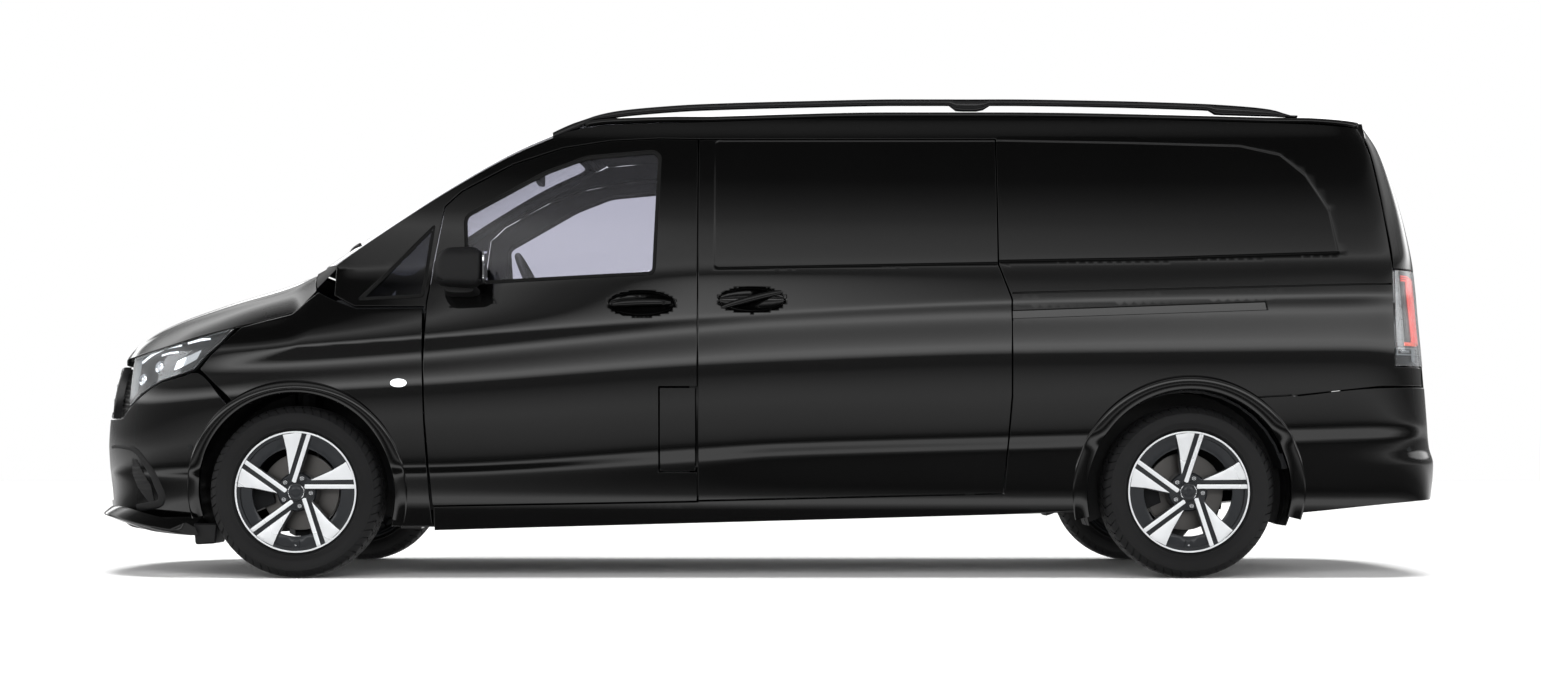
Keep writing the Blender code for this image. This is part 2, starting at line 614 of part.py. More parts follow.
def b_pillar(label, side):
    """Post behind the seam of the two side doors, standing inside both doors' inner faces."""
    heights = np.array([0.262, 0.420, 0.520, 0.830, 1.050, 1.200, 1.400, 1.600, 1.706])
    y = half_width(DOOR_SEAM_X, heights) - DOOR_WALL - 0.012
    outside = list(zip(y, heights)) + [(y[-1] + 0.035, 1.713), (y[-1] + 0.020, 1.740)]
    inside = [(y[-1] - 0.010, 1.740)] + list(zip(y - 0.055, heights))[::-1]
    inside = [(max(v, INNER_SILL_HALF + TOUCH) if z < 0.60 else v, z) for v, z in inside]
    return prism("b_pillar_" + label, [(side * v, z) for v, z in outside + inside],
                 DOOR_SEAM_X - 0.050, DOOR_SEAM_X + 0.030, "X")


def filler_box():
    """Fuel filler's box on the left post, with the barrel of the flap's hinge."""
    body = box("filler_box", (0.262, INNER_SILL_HALF + TOUCH, 0.424),
               (0.384, HALF - 0.052, 0.721))
    barrel = prism("flap_barrel", circle(FLAP_HINGE_X, FLAP_HINGE_Y, 0.0045, 8), *FLAP_HINGE_Z, "Z")
    stem = box("flap_stem", (FLAP_HINGE_X, HALF - 0.059, FLAP_HINGE_Z[0] + 0.010),
               (FLAP_HINGE_X + 0.004, FLAP_HINGE_Y, FLAP_HINGE_Z[1] - 0.010))
    return join(body, barrel, stem)


def door_notches(label, side):
    """Pockets in the door's front edge in which the fixed hinge barrels sit."""
    pockets = []
    for k, height in enumerate(DOOR_HINGE_HEIGHTS):
        half = DOOR_HINGE_LENGTH / 2 + TOUCH
        outline = [(DOOR_HINGE_X - 0.030, side * (HALF - 0.164)), (1.40, side * (HALF - 0.164)),
                   (1.40, side * (DOOR_HINGE_Y + HINGE_PIN_RADIUS + 0.004)),
                   (DOOR_HINGE_X - 0.030, side * (DOOR_HINGE_Y + HINGE_PIN_RADIUS + 0.004))]
        pockets.append(prism("hinge_pocket_%d_%s" % (k, label), outline,
                             height - half, height + half, "Z"))
    return pockets


def front_door(label, side):
    grid = panel_grid([DOOR_BOTTOM[0], DOOR_TOP[0]], DOOR_FRONT, DOOR_BOTTOM, DOOR_TOP, 8)
    outer = side_points(grid, side)
    inner = side_points(grid, side, 0.014, DOOR_WALL)
    door = shell("front_door_" + label, outer, inner, PAINT)
    cut(door, side_prism("door_window_cut_" + label, rounded(DOOR_WINDOW, 0.03), side))
    cut(door, *door_notches(label, side))
    join(door, handle("front_handle_" + label, FRONT_HANDLE, side))
    if side > 0:
        cut(door, side_prism("flap_notch", [(0.20, 0.407), (0.397, 0.407), (0.397, 0.737),
                                            (0.20, 0.737)], side, 0.6, 1.1))
    return door


def handle(name, outline, side):
    """Grip bar standing out from a door's skin."""
    x, z = np.mean(outline, axis=0)
    y = float(half_width(x, z))
    low, high = sorted((side * (y - 0.012), side * (y + 0.016)))
    return prism(name, rounded(outline, 0.010), low, high)


def sliding_door(label, side):
    front = [SLIDE_BOTTOM[1], SLIDE_TOP[1]]
    grid = panel_grid(SLIDE_REAR, front, SLIDE_BOTTOM, SLIDE_TOP, 7)
    shift = np.linspace(0.0, 1.0, 7)[None, :] * SHUT_GAP
    grid[..., 0] -= shift
    outer = side_points(grid, side)
    inner = side_points(grid, side, 0.014, DOOR_WALL)
    door = shell("sliding_door_" + label, outer, inner, PAINT)
    join(door, handle("slide_handle_" + label, SLIDE_HANDLE, side))
    for k, x in enumerate((-0.80, 0.12)):
        sill_top = float(np.interp(x - 0.02, *np.array(SLIDE_BOTTOM).T)) - SHUT_GAP
        join(door, box("roller_foot_%d_%s" % (k, label),
                       (x - 0.02, side * (HALF - 0.082), sill_top + 0.0005),
                       (x + 0.02, side * (HALF - 0.058), sill_top + 0.040)))
    return door


def wing_width(x, z):
    """Half width of the wing, rounded over towards the bonnet's edge."""
    edge_z = through(BONNET_EDGE_Z, x)
    t = np.clip((z - edge_z + 0.16) / 0.16, 0.0, 1.0)
    drop = np.clip(half_width(x, edge_z) - through(BONNET_EDGE_Y, x), 0.0, 1.0)
    return half_width(x, z) - drop * (1 - np.sqrt(1 - 0.999 * t**2))


def front_wing(label, side):
    grid = panel_grid(WING_REAR, WING_FRONT, [WING_REAR[0], WING_FRONT[0]], WING_TOP, 12)
    y = wing_width(grid[..., 0], grid[..., 1])
    outer = np.stack([grid[..., 0], side * y, grid[..., 1]], axis=-1)
    inner = np.stack([grid[..., 0], side * (y - SKIN), grid[..., 1]], axis=-1)
    wing = shell("front_wing_" + label, outer, inner, PAINT)
    cut(wing, arch_cutter("front_arch_" + label, FRONT_AXLE_X, FRONT_ARCH_RADIUS, side))
    for k, z in enumerate((0.290, 0.680, 1.005)):
        reach = float(wing_width(1.355, z)) - 0.006
        join(wing, box("wing_bracket_%d_%s" % (k, label),
                       (1.340, side * (HALF - 0.102 + TOUCH), z - 0.020),
                       (1.370, side * reach, z + 0.020)))
    return wing


def bonnet_point(t, s):
    """Bonnet skin: t runs from the windscreen to the nose, s from one edge to the other."""
    centre_x = 1.812 + (2.622 - 1.812) * t
    edge_x = 1.728 + (2.490 - 1.728) * t
    x = centre_x - (centre_x - edge_x) * s**2
    y = s * (through(BONNET_EDGE_Y, edge_x) - 0.008)
    centre_z = through(BONNET_CENTRE, centre_x)
    z = centre_z - (centre_z - through(BONNET_EDGE_Z, edge_x)) * np.abs(s) ** 2.6
    return x, y, z


def bonnet():
    t, s = np.meshgrid(np.linspace(0, 1, 8), np.linspace(-1, 1, 11), indexing="ij")
    outer = np.stack(bonnet_point(t, s), axis=-1)
    inner = outer * np.array([1.0, 0.965, 1.0]) - np.array([0.006, 0.0, 0.018])
    lid = shell("bonnet", outer, inner, PAINT)
    for k, y in enumerate((-1, 1)):
        cheek = [(BONNET_HINGE_X - 0.012, BONNET_HINGE_Z - 0.012),
                 (BONNET_HINGE_X + 0.012, BONNET_HINGE_Z - 0.012),
                 (BONNET_HINGE_X + 0.040, BONNET_HINGE_Z + 0.026),
                 (BONNET_HINGE_X + 0.040, BONNET_HINGE_Z + 0.034),
                 (BONNET_HINGE_X - 0.012, BONNET_HINGE_Z + 0.060)]
        low, high = sorted((y * BONNET_HINGE_Y, y * (BONNET_HINGE_Y + 0.008)))
        join(lid, prism("bonnet_hinge_%d" % k, cheek, low, high))
    return lid


def nose_grid(angles, heights):
    """Points of the front skin: columns by angle round the nose, rows by height."""
    p, q = NOSE_SQUARENESS
    share = np.sign(angles) * np.abs(np.sin(angles)) ** (2 / p)
    z = heights
    x = NOSE_START_X + (nose_x(z) - NOSE_START_X) * np.abs(np.cos(angles)) ** (2 / q)
    return np.stack([x, share * side_profile(x, z), z], axis=-1)


def inward(grid, wall):
    """Copy of a nose or tail grid moved in by the wall, towards the van's middle."""
    dx = np.gradient(grid, axis=1)
    normal = np.stack([dx[..., 1], -dx[..., 0]], axis=-1)
    normal /= np.maximum(1e-9, np.linalg.norm(normal, axis=-1))[..., None]
    middle = grid[..., :2].mean(axis=(0, 1)) * np.array([0.0, 1.0])
    outwards = (normal * (grid[..., :2] - middle)).sum(axis=-1)
    normal *= -np.sign(outwards)[..., None]
    moved = grid.copy()
    moved[..., :2] += normal * wall
    return moved


def front_bumper():
    limit = math.radians(78.6)
    angles = np.linspace(-limit, limit, 23)
    at_seam = nose_grid(angles, np.full_like(angles, 0.70))[..., 0]
    top = through(BUMPER_TOP, at_seam)
    low = through([(2.0, 0.150), (2.2, 0.165), (2.536, 0.185), (2.69, 0.200)], at_seam)
    share = np.array([0.0, 0.10, 0.20, 0.40, 0.70, 1.0])[:, None]
    heights = low + (top - low) * share
    outer = nose_grid(np.broadcast_to(angles, heights.shape), heights)
    bumper = shell("front_bumper", outer, inward(outer, 0.020), PAINT)
    for label, side in both_sides():
        front_end = float(nose_point((CROSS_BAR_HALF - 0.030) / HALF, 0.400)[0]) - 0.012
        join(bumper, box("bumper_boss_" + label, (CARRIER_X + TOUCH, side * (CROSS_BAR_HALF - 0.045), 0.380),
                         (front_end, side * (CROSS_BAR_HALF - 0.015), 0.420)))
    intake = rounded([(-0.50, 0.290), (0.50, 0.290), (0.42, 0.500), (-0.42, 0.500)], 0.04)
    cut(bumper, prism("intake_cut", intake, 2.2, 2.9, "X"))
    for label, side in both_sides():
        cut(bumper, arch_cutter("bumper_arch_" + label, FRONT_AXLE_X, FRONT_ARCH_RADIUS, side))
    return bumper


def nose_boss(name, y, low, high, set_back):
    """Block from the front carrier out to a piece that stands back from the nose's skin."""
    front_end = float(nose_point(y / HALF, (low + high) / 2)[0]) - set_back
    return box(name, (CARRIER_X + TOUCH, y - 0.015, low), (front_end, y + 0.015, high))


def nose_bar(name, half_y, z_low, z_high, set_back, depth, colour=None):
    """Bar across the nose that follows its plan curve, with a set-back from the skin."""
    limit = math.asin((half_y / HALF) ** (NOSE_SQUARENESS[0] / 2))
    angles = np.linspace(-limit, limit, 7)
    heights = np.array([[z_low], [z_high]]) + 0 * angles
    outer = nose_grid(np.broadcast_to(angles, heights.shape), heights)
    outer[..., 0] -= set_back
    inner = outer.copy()
    inner[..., 0] -= depth
    return shell(name, outer, inner, colour or TRIM, guide=colour is None)


def grille():
    """Upper grille: a frame with two louvres and a mesh of upright bars behind them."""
    frame = nose_bar("grille", 0.50, 0.622, 0.640, 0.004, 0.050, TRIM)
    join(frame, nose_bar("grille_top", 0.50, 0.800, 0.822, 0.004, 0.050),
         nose_bar("grille_louvre_low", 0.50, 0.680, 0.700, 0.006, 0.040),
         nose_bar("grille_louvre_high", 0.50, 0.740, 0.760, 0.006, 0.040),
         nose_bar("grille_back", 0.50, 0.630, 0.815, 0.036, 0.012),
         nose_boss("grille_boss_left", 0.315, 0.700, 0.740, 0.042),
         nose_boss("grille_boss_right", -0.315, 0.700, 0.740, 0.042))
    return frame


def lower_grille():
    frame = nose_bar("lower_grille", 0.52, 0.285, 0.505, 0.034, 0.012, TRIM)
    for k in range(4):
        z = 0.320 + 0.046 * k
        join(frame, nose_bar("lower_bar_%d" % k, 0.474 - 0.38 * (z - 0.276), z, z + 0.014,
                             0.012, 0.026))
    join(frame, nose_boss("lower_boss_left", 0.200, 0.380, 0.420, 0.040),
         nose_boss("lower_boss_right", -0.200, 0.380, 0.420, 0.040))
    return frame


def headlamp(label, side):
    grid = coons(LAMP_BOTTOM, LAMP_TOP, [LAMP_BOTTOM[0], LAMP_TOP[0]],
                 [LAMP_BOTTOM[-1], LAMP_TOP[-1]], 12, 6)
    y = wing_width(grid[..., 0], grid[..., 1])
    outer = np.stack([grid[..., 0], side * y, grid[..., 1]], axis=-1)
    height = grid[-1, :, 1] - grid[0, :, 1]
    depth = np.minimum(1.0, height / 0.057)[None, :, None]
    inner = outer - np.array([0.020, side * 0.055, 0.0]) * depth
    inner[..., 2] -= 0.034 * depth[..., 0] * np.linspace(0, 1, grid.shape[0])[:, None]
    lamp = shell("headlamp_" + label, outer, inner, LAMP_CLEAR)
    reach = float(wing_width(2.38, 0.820)) - 0.040
    return join(lamp, box("lamp_boss_" + label, (2.365, side * (CROSS_BAR_HALF + TOUCH), 0.800),
                          (2.395, side * reach, 0.825)))


def roof():
    x = np.concatenate([ROOF_STATIONS, [0.690]])
    s = np.linspace(-1, 1, 11)
    edge = half_width(x, through(ROOF_EDGE, x))
    y = edge[:, None] * s[None]
    xx = np.broadcast_to(x[:, None], y.shape)
    z = roof_height(xx, s[None] * ROOF_EDGE_HALF)
    outer = np.stack([xx + 0.09 * np.clip((xx - 0.5) / 0.19, 0, 1) * (1 - s[None] ** 2), y, z],
                     axis=-1)
    inner = outer.copy()
    inner[..., 2] -= ROOF_WALL - TOUCH
    panel = shell("roof", outer, inner, PAINT)
    for label, side in both_sides():
        low, high = sorted(side * y for y in TAIL_HINGE_Y)
        join(panel, prism("tail_barrel_" + label, circle(TAIL_HINGE_X, TAIL_HINGE_Z, 0.008, 10),
                          low, high),
             box("tail_bracket_" + label, (TAIL_HINGE_X, low + 0.012, TAIL_HINGE_Z - 0.005),
                 (-2.325, high - 0.012, TAIL_HINGE_Z + 0.005)))
    return panel


def screen_point(t, s):
    """Windscreen: t runs up the glass, s from one pillar to the other."""
    edge_x = 1.650 + (0.725 - 1.650) * t
    line_z = through(PILLAR_LINE, PILLAR_STATIONS)
    edge_z = np.interp(edge_x, PILLAR_STATIONS, line_z) + 0.004
    edge_y = np.interp(edge_x, PILLAR_STATIONS, half_width(PILLAR_STATIONS, line_z))
    edge_y = edge_y - PILLAR_WIDTH - 0.0034
    centre_x = 1.790 + (0.800 - 1.790) * t
    centre_z = through(SCREEN_CENTRE, centre_x)
    bow = np.abs(s) ** 2.4
    x = centre_x - (centre_x - edge_x) * bow
    return x, s * edge_y, centre_z - (centre_z - edge_z) * bow


def windscreen():
    stations = np.clip(PILLAR_STATIONS[::-1], 0.725, 1.650)
    t, s = np.meshgrid((1.650 - stations) / 0.925, np.linspace(-1, 1, 9), indexing="ij")
    outer = np.stack(screen_point(t, s), axis=-1)
    inner = outer - np.array([GLASS, 0.0, GLASS])
    return shell("windscreen", outer, inner, WINDOW)


def pane(name, outline, side, columns=5, set_in=GLASS_STEP):
    """Side glass: a window outline grown past its frame, standing in the skin's curve."""
    low, high = np.min(outline, axis=0), np.max(outline, axis=0)
    u, v = np.meshgrid(np.linspace(0, 1, columns), np.linspace(0, 1, 4))
    grid = np.stack([low[0] + (high[0] - low[0]) * u, low[1] + (high[1] - low[1]) * v], axis=-1)
    y = half_width(grid[..., 0], grid[..., 1]) - set_in
    outer = np.stack([grid[..., 0], side * y, grid[..., 1]], axis=-1)
    inner = np.stack([grid[..., 0], side * (y - GLASS), grid[..., 1]], axis=-1)
    glass = shell(name, outer, inner, WINDOW)
    keep = side_prism(name + "_edge", offset_outline(outline, -TOUCH), side)
    boolean(glass, keep, "INTERSECT")
    return glass


def tail_grid(angles, heights):
    p, q = TAIL_SQUARENESS
    share = np.sign(angles) * np.abs(np.sin(angles)) ** (2 / p)
    x = TAIL_START_X - (TAIL_START_X - tail_x(heights)) * np.abs(np.cos(angles)) ** (2 / q)
    return np.stack([x, share * side_profile(x, heights), heights], axis=-1)


def tail_angle_at_x(x, z):
    q = TAIL_SQUARENESS[1]
    share = np.clip((TAIL_START_X - x) / (TAIL_START_X - tail_x(z)), 0.0, 1.0)
    return np.arccos(share ** (q / 2))


def tail_angle_at_y(y, z):
    p = TAIL_SQUARENESS[0]
    return np.arcsin((y / side_profile(-2.6, z)) ** (p / 2))


def tailgate():
    low_rows = np.array([0.590, 0.806, 1.000, 1.190])
    s = np.linspace(-1, 1, 13)
    low_edge = tail_angle_at_y(LAMP_INNER_Y - SHUT_GAP, low_rows)
    low_z = np.broadcast_to(low_rows[:, None], (len(low_rows), len(s)))
    low = tail_grid(low_edge[:, None] * s[None], low_z)
    rise = np.array([0.0, 0.33, 0.66, 0.86, 0.96, 1.0])
    top = roof_height(TAILGATE_TOP_X, s * ROOF_EDGE_HALF) - 0.003
    high_z = 1.192 + (top[None] - 1.192) * rise[:, None]
    seam = through(TAIL_SEAM, high_z[:, 0])
    high_edge = tail_angle_at_x(seam, high_z[:, 0])
    high = tail_grid(high_edge[:, None] * s[None], high_z)
    high[-1, :, 0] = TAILGATE_TOP_X
    outer = np.concatenate([low, high])
    inner = inward(outer, 0.045)
    inner[..., 0] = np.minimum(inner[..., 0], TAILGATE_TOP_X - 0.0002)
    count = len(low_rows)
    inner[:count, [0, -1], 1] = outer[:count, [0, -1], 1]
    inner[count:, [0, -1], 0] = outer[count:, [0, -1], 0]
    inner[-1, :, 2] -= 0.018
    gate = shell("tailgate", outer, inner, PAINT)
    for label, side in both_sides():
        low, high = sorted(side * y for y in TAIL_HINGE_Y)
        cut(gate, box("tail_pocket_" + label, (TAIL_HINGE_X - 0.014, low - TOUCH, TAIL_HINGE_Z - 0.014),
                      (-2.30, high + TOUCH, 1.90)))
    opening = rounded(TAIL_WINDOW, 0.06)
    cut(gate, prism("tail_window_cut", opening, -2.9, -2.2, "X"))
    return gate


def tailgate_glass():
    """Rear window, standing in the tailgate's opening."""
    rows = np.linspace(1.20, 1.70, 4)
    angles = np.linspace(-0.62, 0.62, 7)
    grid = tail_grid(np.broadcast_to(angles, (4, 7)), np.broadcast_to(rows[:, None], (4, 7)))
    outer = grid + np.array([GLASS_STEP, 0, 0])
    inner = outer + np.array([GLASS, 0, 0])
    glass = shell("tailgate_glass", outer, inner, WINDOW)
    opening = rounded(TAIL_WINDOW, 0.06)
    boolean(glass, prism("tail_glass_edge", offset_outline(opening, -TOUCH), -2.9, -2.2, "X"),
            "INTERSECT")
    return glass


def tail_lamp(label, side):
    rows = np.linspace(LAMP_LOW_Z, LAMP_HIGH_Z, 6)
    near = tail_angle_at_y(LAMP_INNER_Y, rows)
    far = tail_angle_at_x(-2.433, rows)
    share = np.linspace(0, 1, 8)
    angles = near[:, None] + (far - near)[:, None] * share[None]
    outer = tail_grid(angles, np.broadcast_to(rows[:, None], angles.shape))
    inner = outer + np.array([0.034, -0.040, 0.0])
    inner[:, 0, 1] = outer[:, 0, 1]
    inner[:, -1, 0] = outer[:, -1, 0]
    outer[..., 1] *= side
    inner[..., 1] *= side
    return shell("tail_lamp_" + label, outer, inner, LAMP_RED)


def rear_bumper():
    limit = float(tail_angle_at_x(-2.036, 0.50))
    angles = np.linspace(-limit, limit, 21)
    spread = np.sign(angles) * limit * (np.abs(angles) / limit) ** 0.8
    step = [float(tail_angle_at_y(LAMP_INNER_Y + d, 0.60)) for d in (0.015, 0.019)]
    spread = spread[np.abs(np.abs(spread) - step[0]) > 0.03]
    spread = np.sort(np.concatenate([spread, step, [-a for a in step]]))
    at_seam = tail_grid(spread, np.full_like(spread, 0.60))
    corner = np.abs(at_seam[..., 1]) > LAMP_INNER_Y + 0.017
    top = np.where(corner, through([(-2.7, 0.736), (-2.37, 0.730), (-2.006, 0.694)],
                                   at_seam[..., 0]), 0.583)
    low = through([(-2.7, 0.300), (-2.676, 0.300), (-2.034, 0.248)], at_seam[..., 0])
    share = np.array([0.0, 0.15, 0.4, 0.7, 1.0])[:, None]
    heights = low + (top - low) * share
    outer = tail_grid(np.broadcast_to(spread, heights.shape), heights)
    bumper = shell("rear_bumper", outer, inward(outer, 0.030), PAINT)
    for label, side in both_sides():
        join(bumper, box("rear_boss_" + label, (-2.665, side * 0.400, 0.430),
                         (-2.560 - TOUCH, side * 0.440, 0.470)))
        cut(bumper, arch_cutter("rear_bumper_arch_" + label, REAR_AXLE_X, REAR_ARCH_RADIUS, side))
    return bumper


def floor():
    """Floor pan with chassis rails, wheel boxes and the front carrier."""
    half = INNER_SILL_HALF - TOUCH
    pan = box("floor", (-2.200, -half, FLOOR_TOP - FLOOR_THICKNESS), (1.140, half, FLOOR_TOP),
              CASTING)
    join(pan, box("floor_tail", (-2.560, 0.244 - HALF, 0.420), (-2.150, HALF - 0.244, FLOOR_TOP)))
    for label, side in both_sides():
        well = side_prism("well_" + label, circle(REAR_AXLE_X, AXLE_Z, 0.3854, 20), side,
                          WHEEL_BOX_Y + SKIN, 1.0)
        cut(pan, well)
    for label, side in both_sides():
        ring = circle(REAR_AXLE_X, AXLE_Z, 0.394, 14, 0.30, math.pi - 0.6)
        back = circle(REAR_AXLE_X, AXLE_Z, 0.384, 14, math.pi - 0.30, 0.6 - math.pi)
        join(pan, side_prism("wheel_box_" + label, ring + back, side, WHEEL_BOX_Y, half))
        disc = circle(REAR_AXLE_X, AXLE_Z, 0.390, 14, 0.31, math.pi - 0.62)
        join(pan, side_prism("wheel_box_wall_" + label, disc, side, WHEEL_BOX_Y,
                             WHEEL_BOX_Y + SKIN))
        join(pan, box("rail_" + label, (-2.50, side * RAIL_INNER_Y, 0.330),
                      (2.460, side * RAIL_OUTER_Y, 0.425)))
        join(pan, box("rail_up_" + label, (1.20, side * RAIL_INNER_Y, 0.400),
                      (2.460, side * RAIL_OUTER_Y, 0.470)))
    join(pan, box("front_carrier", (2.440, -CROSS_BAR_HALF, 0.360),
                  (CARRIER_X, CROSS_BAR_HALF, 0.440)),
         box("cross_bar", (2.360, -CROSS_BAR_HALF, 0.790), (2.400, CROSS_BAR_HALF, 0.835)))
    for label, side in both_sides():
        join(pan, box("grille_post_" + label, (2.460, side * 0.295, 0.400), (CARRIER_X, side * 0.335, 0.760)),
             box("lamp_post_" + label, (2.370, side * (RAIL_INNER_Y + 0.005), 0.440),
                 (2.398, side * (RAIL_OUTER_Y - 0.010), 0.800)))
    cut(pan, box("axle_notch", (REAR_AXLE_X - 0.080, -0.60, 0.250), (REAR_AXLE_X + 0.080, 0.60, 0.386)))
    join(pan, box("toe_board", (1.120, 0.189 - HALF, 0.424), (1.386, HALF - 0.189, 0.476)),
         box("toe_wall", (1.360, 0.194 - HALF, 0.440), (1.384, HALF - 0.194, 0.990)),
         box("scuttle", (1.365, 0.199 - HALF, 0.970), (1.640, HALF - 0.199, 0.988)))
    for label, side in both_sides():
        low, high = sorted((side * (BONNET_HINGE_Y + 0.008 + TOUCH), side * (BONNET_HINGE_Y + 0.045)))
        barrel = circle(BONNET_HINGE_X, BONNET_HINGE_Z, 0.009, 10)
        join(pan, prism("bonnet_barrel_" + label, barrel, low, high),
             box("bonnet_stand_" + label, (BONNET_HINGE_X - 0.007, low + 0.004, 0.975),
                 (BONNET_HINGE_X + 0.007, high - 0.004, BONNET_HINGE_Z)),
             box("bonnet_bracket_" + label, (1.600, low + 0.004, 0.975),
                 (BONNET_HINGE_X + 0.007, high - 0.004, 0.995)))
    return pan


def tyre(label, x, y):
    profile = [(0.0863, RIM_SEAT_RADIUS + TOUCH), (0.0863, RIM_FLANGE_RADIUS),
               (0.100, 0.246), (0.1115, 0.270), (0.1125, 0.285), (0.108, 0.305), (0.095, 0.322),
               (0.075, 0.3298), (0.030, TYRE_RADIUS)]
    profile = profile + [(-w, r) for w, r in reversed(profile)]
    return revolve("tyre_" + label, profile, (x, y, AXLE_Z), TYRE_SEGMENTS, RUBBER)


def wheel_prism(name, outline, x, y, side, low, high):
    """Outline in the wheel's own outside view, set between two offsets along the axle."""
    points = [(x - side * a, AXLE_Z + b) for a, b in outline]
    low, high = sorted((y + side * low, y + side * high))
    return prism(name, points, low, high)


def turned(outline, angle):
    c, s = math.cos(angle), math.sin(angle)
    return [(a * c - b * s, a * s + b * c) for a, b in outline]


def rim(label, x, y, side):
    """Alloy rim with five paired spokes, its hub, and the brake disc bolted behind it."""
    flange = RIM_WIDTH / 2
    barrel = [(-flange, RIM_FLANGE_RADIUS), (-flange + 0.008, RIM_SEAT_RADIUS),
              (flange - 0.0084, RIM_SEAT_RADIUS), (flange - 0.0084, RIM_FLANGE_RADIUS),
              (flange, RIM_FLANGE_RADIUS), (flange - 0.006, 0.2250),
              (flange - 0.019, 0.166), (flange - 0.031, 0.168),
              (flange - 0.039, RIM_SEAT_RADIUS - RIM_WALL),
              (-flange + 0.008, RIM_SEAT_RADIUS - RIM_WALL)]
    wheel = revolve("rim_" + label, [(side * w, r) for w, r in barrel], (x, y, AXLE_Z),
                    RIM_SEGMENTS, ALLOY)
    back, front = DISC_OFFSET - DISC_THICKNESS / 2, DISC_OFFSET + DISC_THICKNESS / 2
    hub = [(back, 0.0), (back, DISC_RADIUS), (front, DISC_RADIUS), (front + 0.002, HUB_RADIUS - 0.010),
           (HUB_FACE_OFFSET, HUB_RADIUS), (HUB_FACE_OFFSET + 0.012, 0.040),
           (HUB_FACE_OFFSET + 0.014, 0.0)]
    join(wheel, revolve("hub_" + label, [(side * w, r) for w, r in hub], (x, y, AXLE_Z), 20))
    wedge = [(0.040, 0.042), (0.2080, 0.042), (0.193, 0.086), (0.181, 0.110)]
    bar = [(0.040, 0.0120), (0.2120, 0.0120), (0.2095, 0.033), (0.045, 0.033)]
    for k in range(SPOKES):
        angle = 2 * math.pi * k / SPOKES
        for kind, outline, low, high in (("wedge", wedge, -0.0120, 0.0),
                                         ("bar", bar, -0.0135, 0.0007)):
            name = "%s_%d_%s" % (kind, k, label)
            join(wheel, wheel_prism(name, turned(outline, angle), x, y, side,
                                    HUB_FACE_OFFSET + low, SPOKE_FACE_OFFSET + high))
    return wheel


def knuckle(label, side):
    """Steered upright between its two pivots, with the spindle and the brake caliper."""
    centre_y = side * FRONT_TRACK / 2
    back = FRONT_TRACK / 2 + DISC_OFFSET - 0.013 - TOUCH
    x = FRONT_AXLE_X
    upright = [(x - 0.022, PIVOT_LOW_Z + TOUCH), (x + 0.022, PIVOT_LOW_Z + TOUCH),
               (x + 0.050, AXLE_Z - 0.04), (x + 0.050, AXLE_Z + 0.04),
               (x + 0.022, PIVOT_HIGH_Z - TOUCH), (x - 0.022, PIVOT_HIGH_Z - TOUCH),
               (x - 0.050, AXLE_Z + 0.04), (x - 0.050, AXLE_Z - 0.04)]
    low, high = sorted((side * (KINGPIN_Y - 0.020), side * (KINGPIN_Y + 0.018)))
    piece = prism("knuckle_front_" + label, upright, low, high, "Y", CASTING)
    spindle = [(0.0, 0.0), (0.0, 0.045), (side * (back - KINGPIN_Y), 0.040),
               (side * (back - KINGPIN_Y), 0.0)]
    join(piece, revolve("spindle_" + label, spindle, (x, side * KINGPIN_Y, AXLE_Z), 12))
    caliper = caliper_shape("caliper_" + label, x, centre_y, side)
    join(piece, caliper,
         box("caliper_arm_" + label, (x + 0.030, side * (KINGPIN_Y - 0.015), AXLE_Z - 0.030),
             (x + 0.150, side * (KINGPIN_Y + 0.012), AXLE_Z + 0.030)))
    return piece


def caliper_shape(name, x, wheel_y, side):
    """Brake caliper: a block over the disc's edge with a slot that clears the disc."""
    outer = circle(x, AXLE_Z, 0.190, 4, -0.42, 0.84)
    inner = circle(x, AXLE_Z, 0.104, 2, 0.42, -0.84)
    low, high = sorted((wheel_y + side * (DISC_OFFSET - 0.050), wheel_y + side * (DISC_OFFSET + 0.040)))
    block = prism(name, outer + inner, low, high)
    slot_outer = circle(x, AXLE_Z, 0.157, 8, -0.60, 1.20)
    slot_inner = circle(x, AXLE_Z, 0.080, 2, 0.60, -1.20)
    low, high = sorted((wheel_y + side * (DISC_OFFSET - 0.015), wheel_y + side * (DISC_OFFSET + 0.015)))
    cut(block, prism(name + "_slot", slot_outer + slot_inner, low, high))
    return block


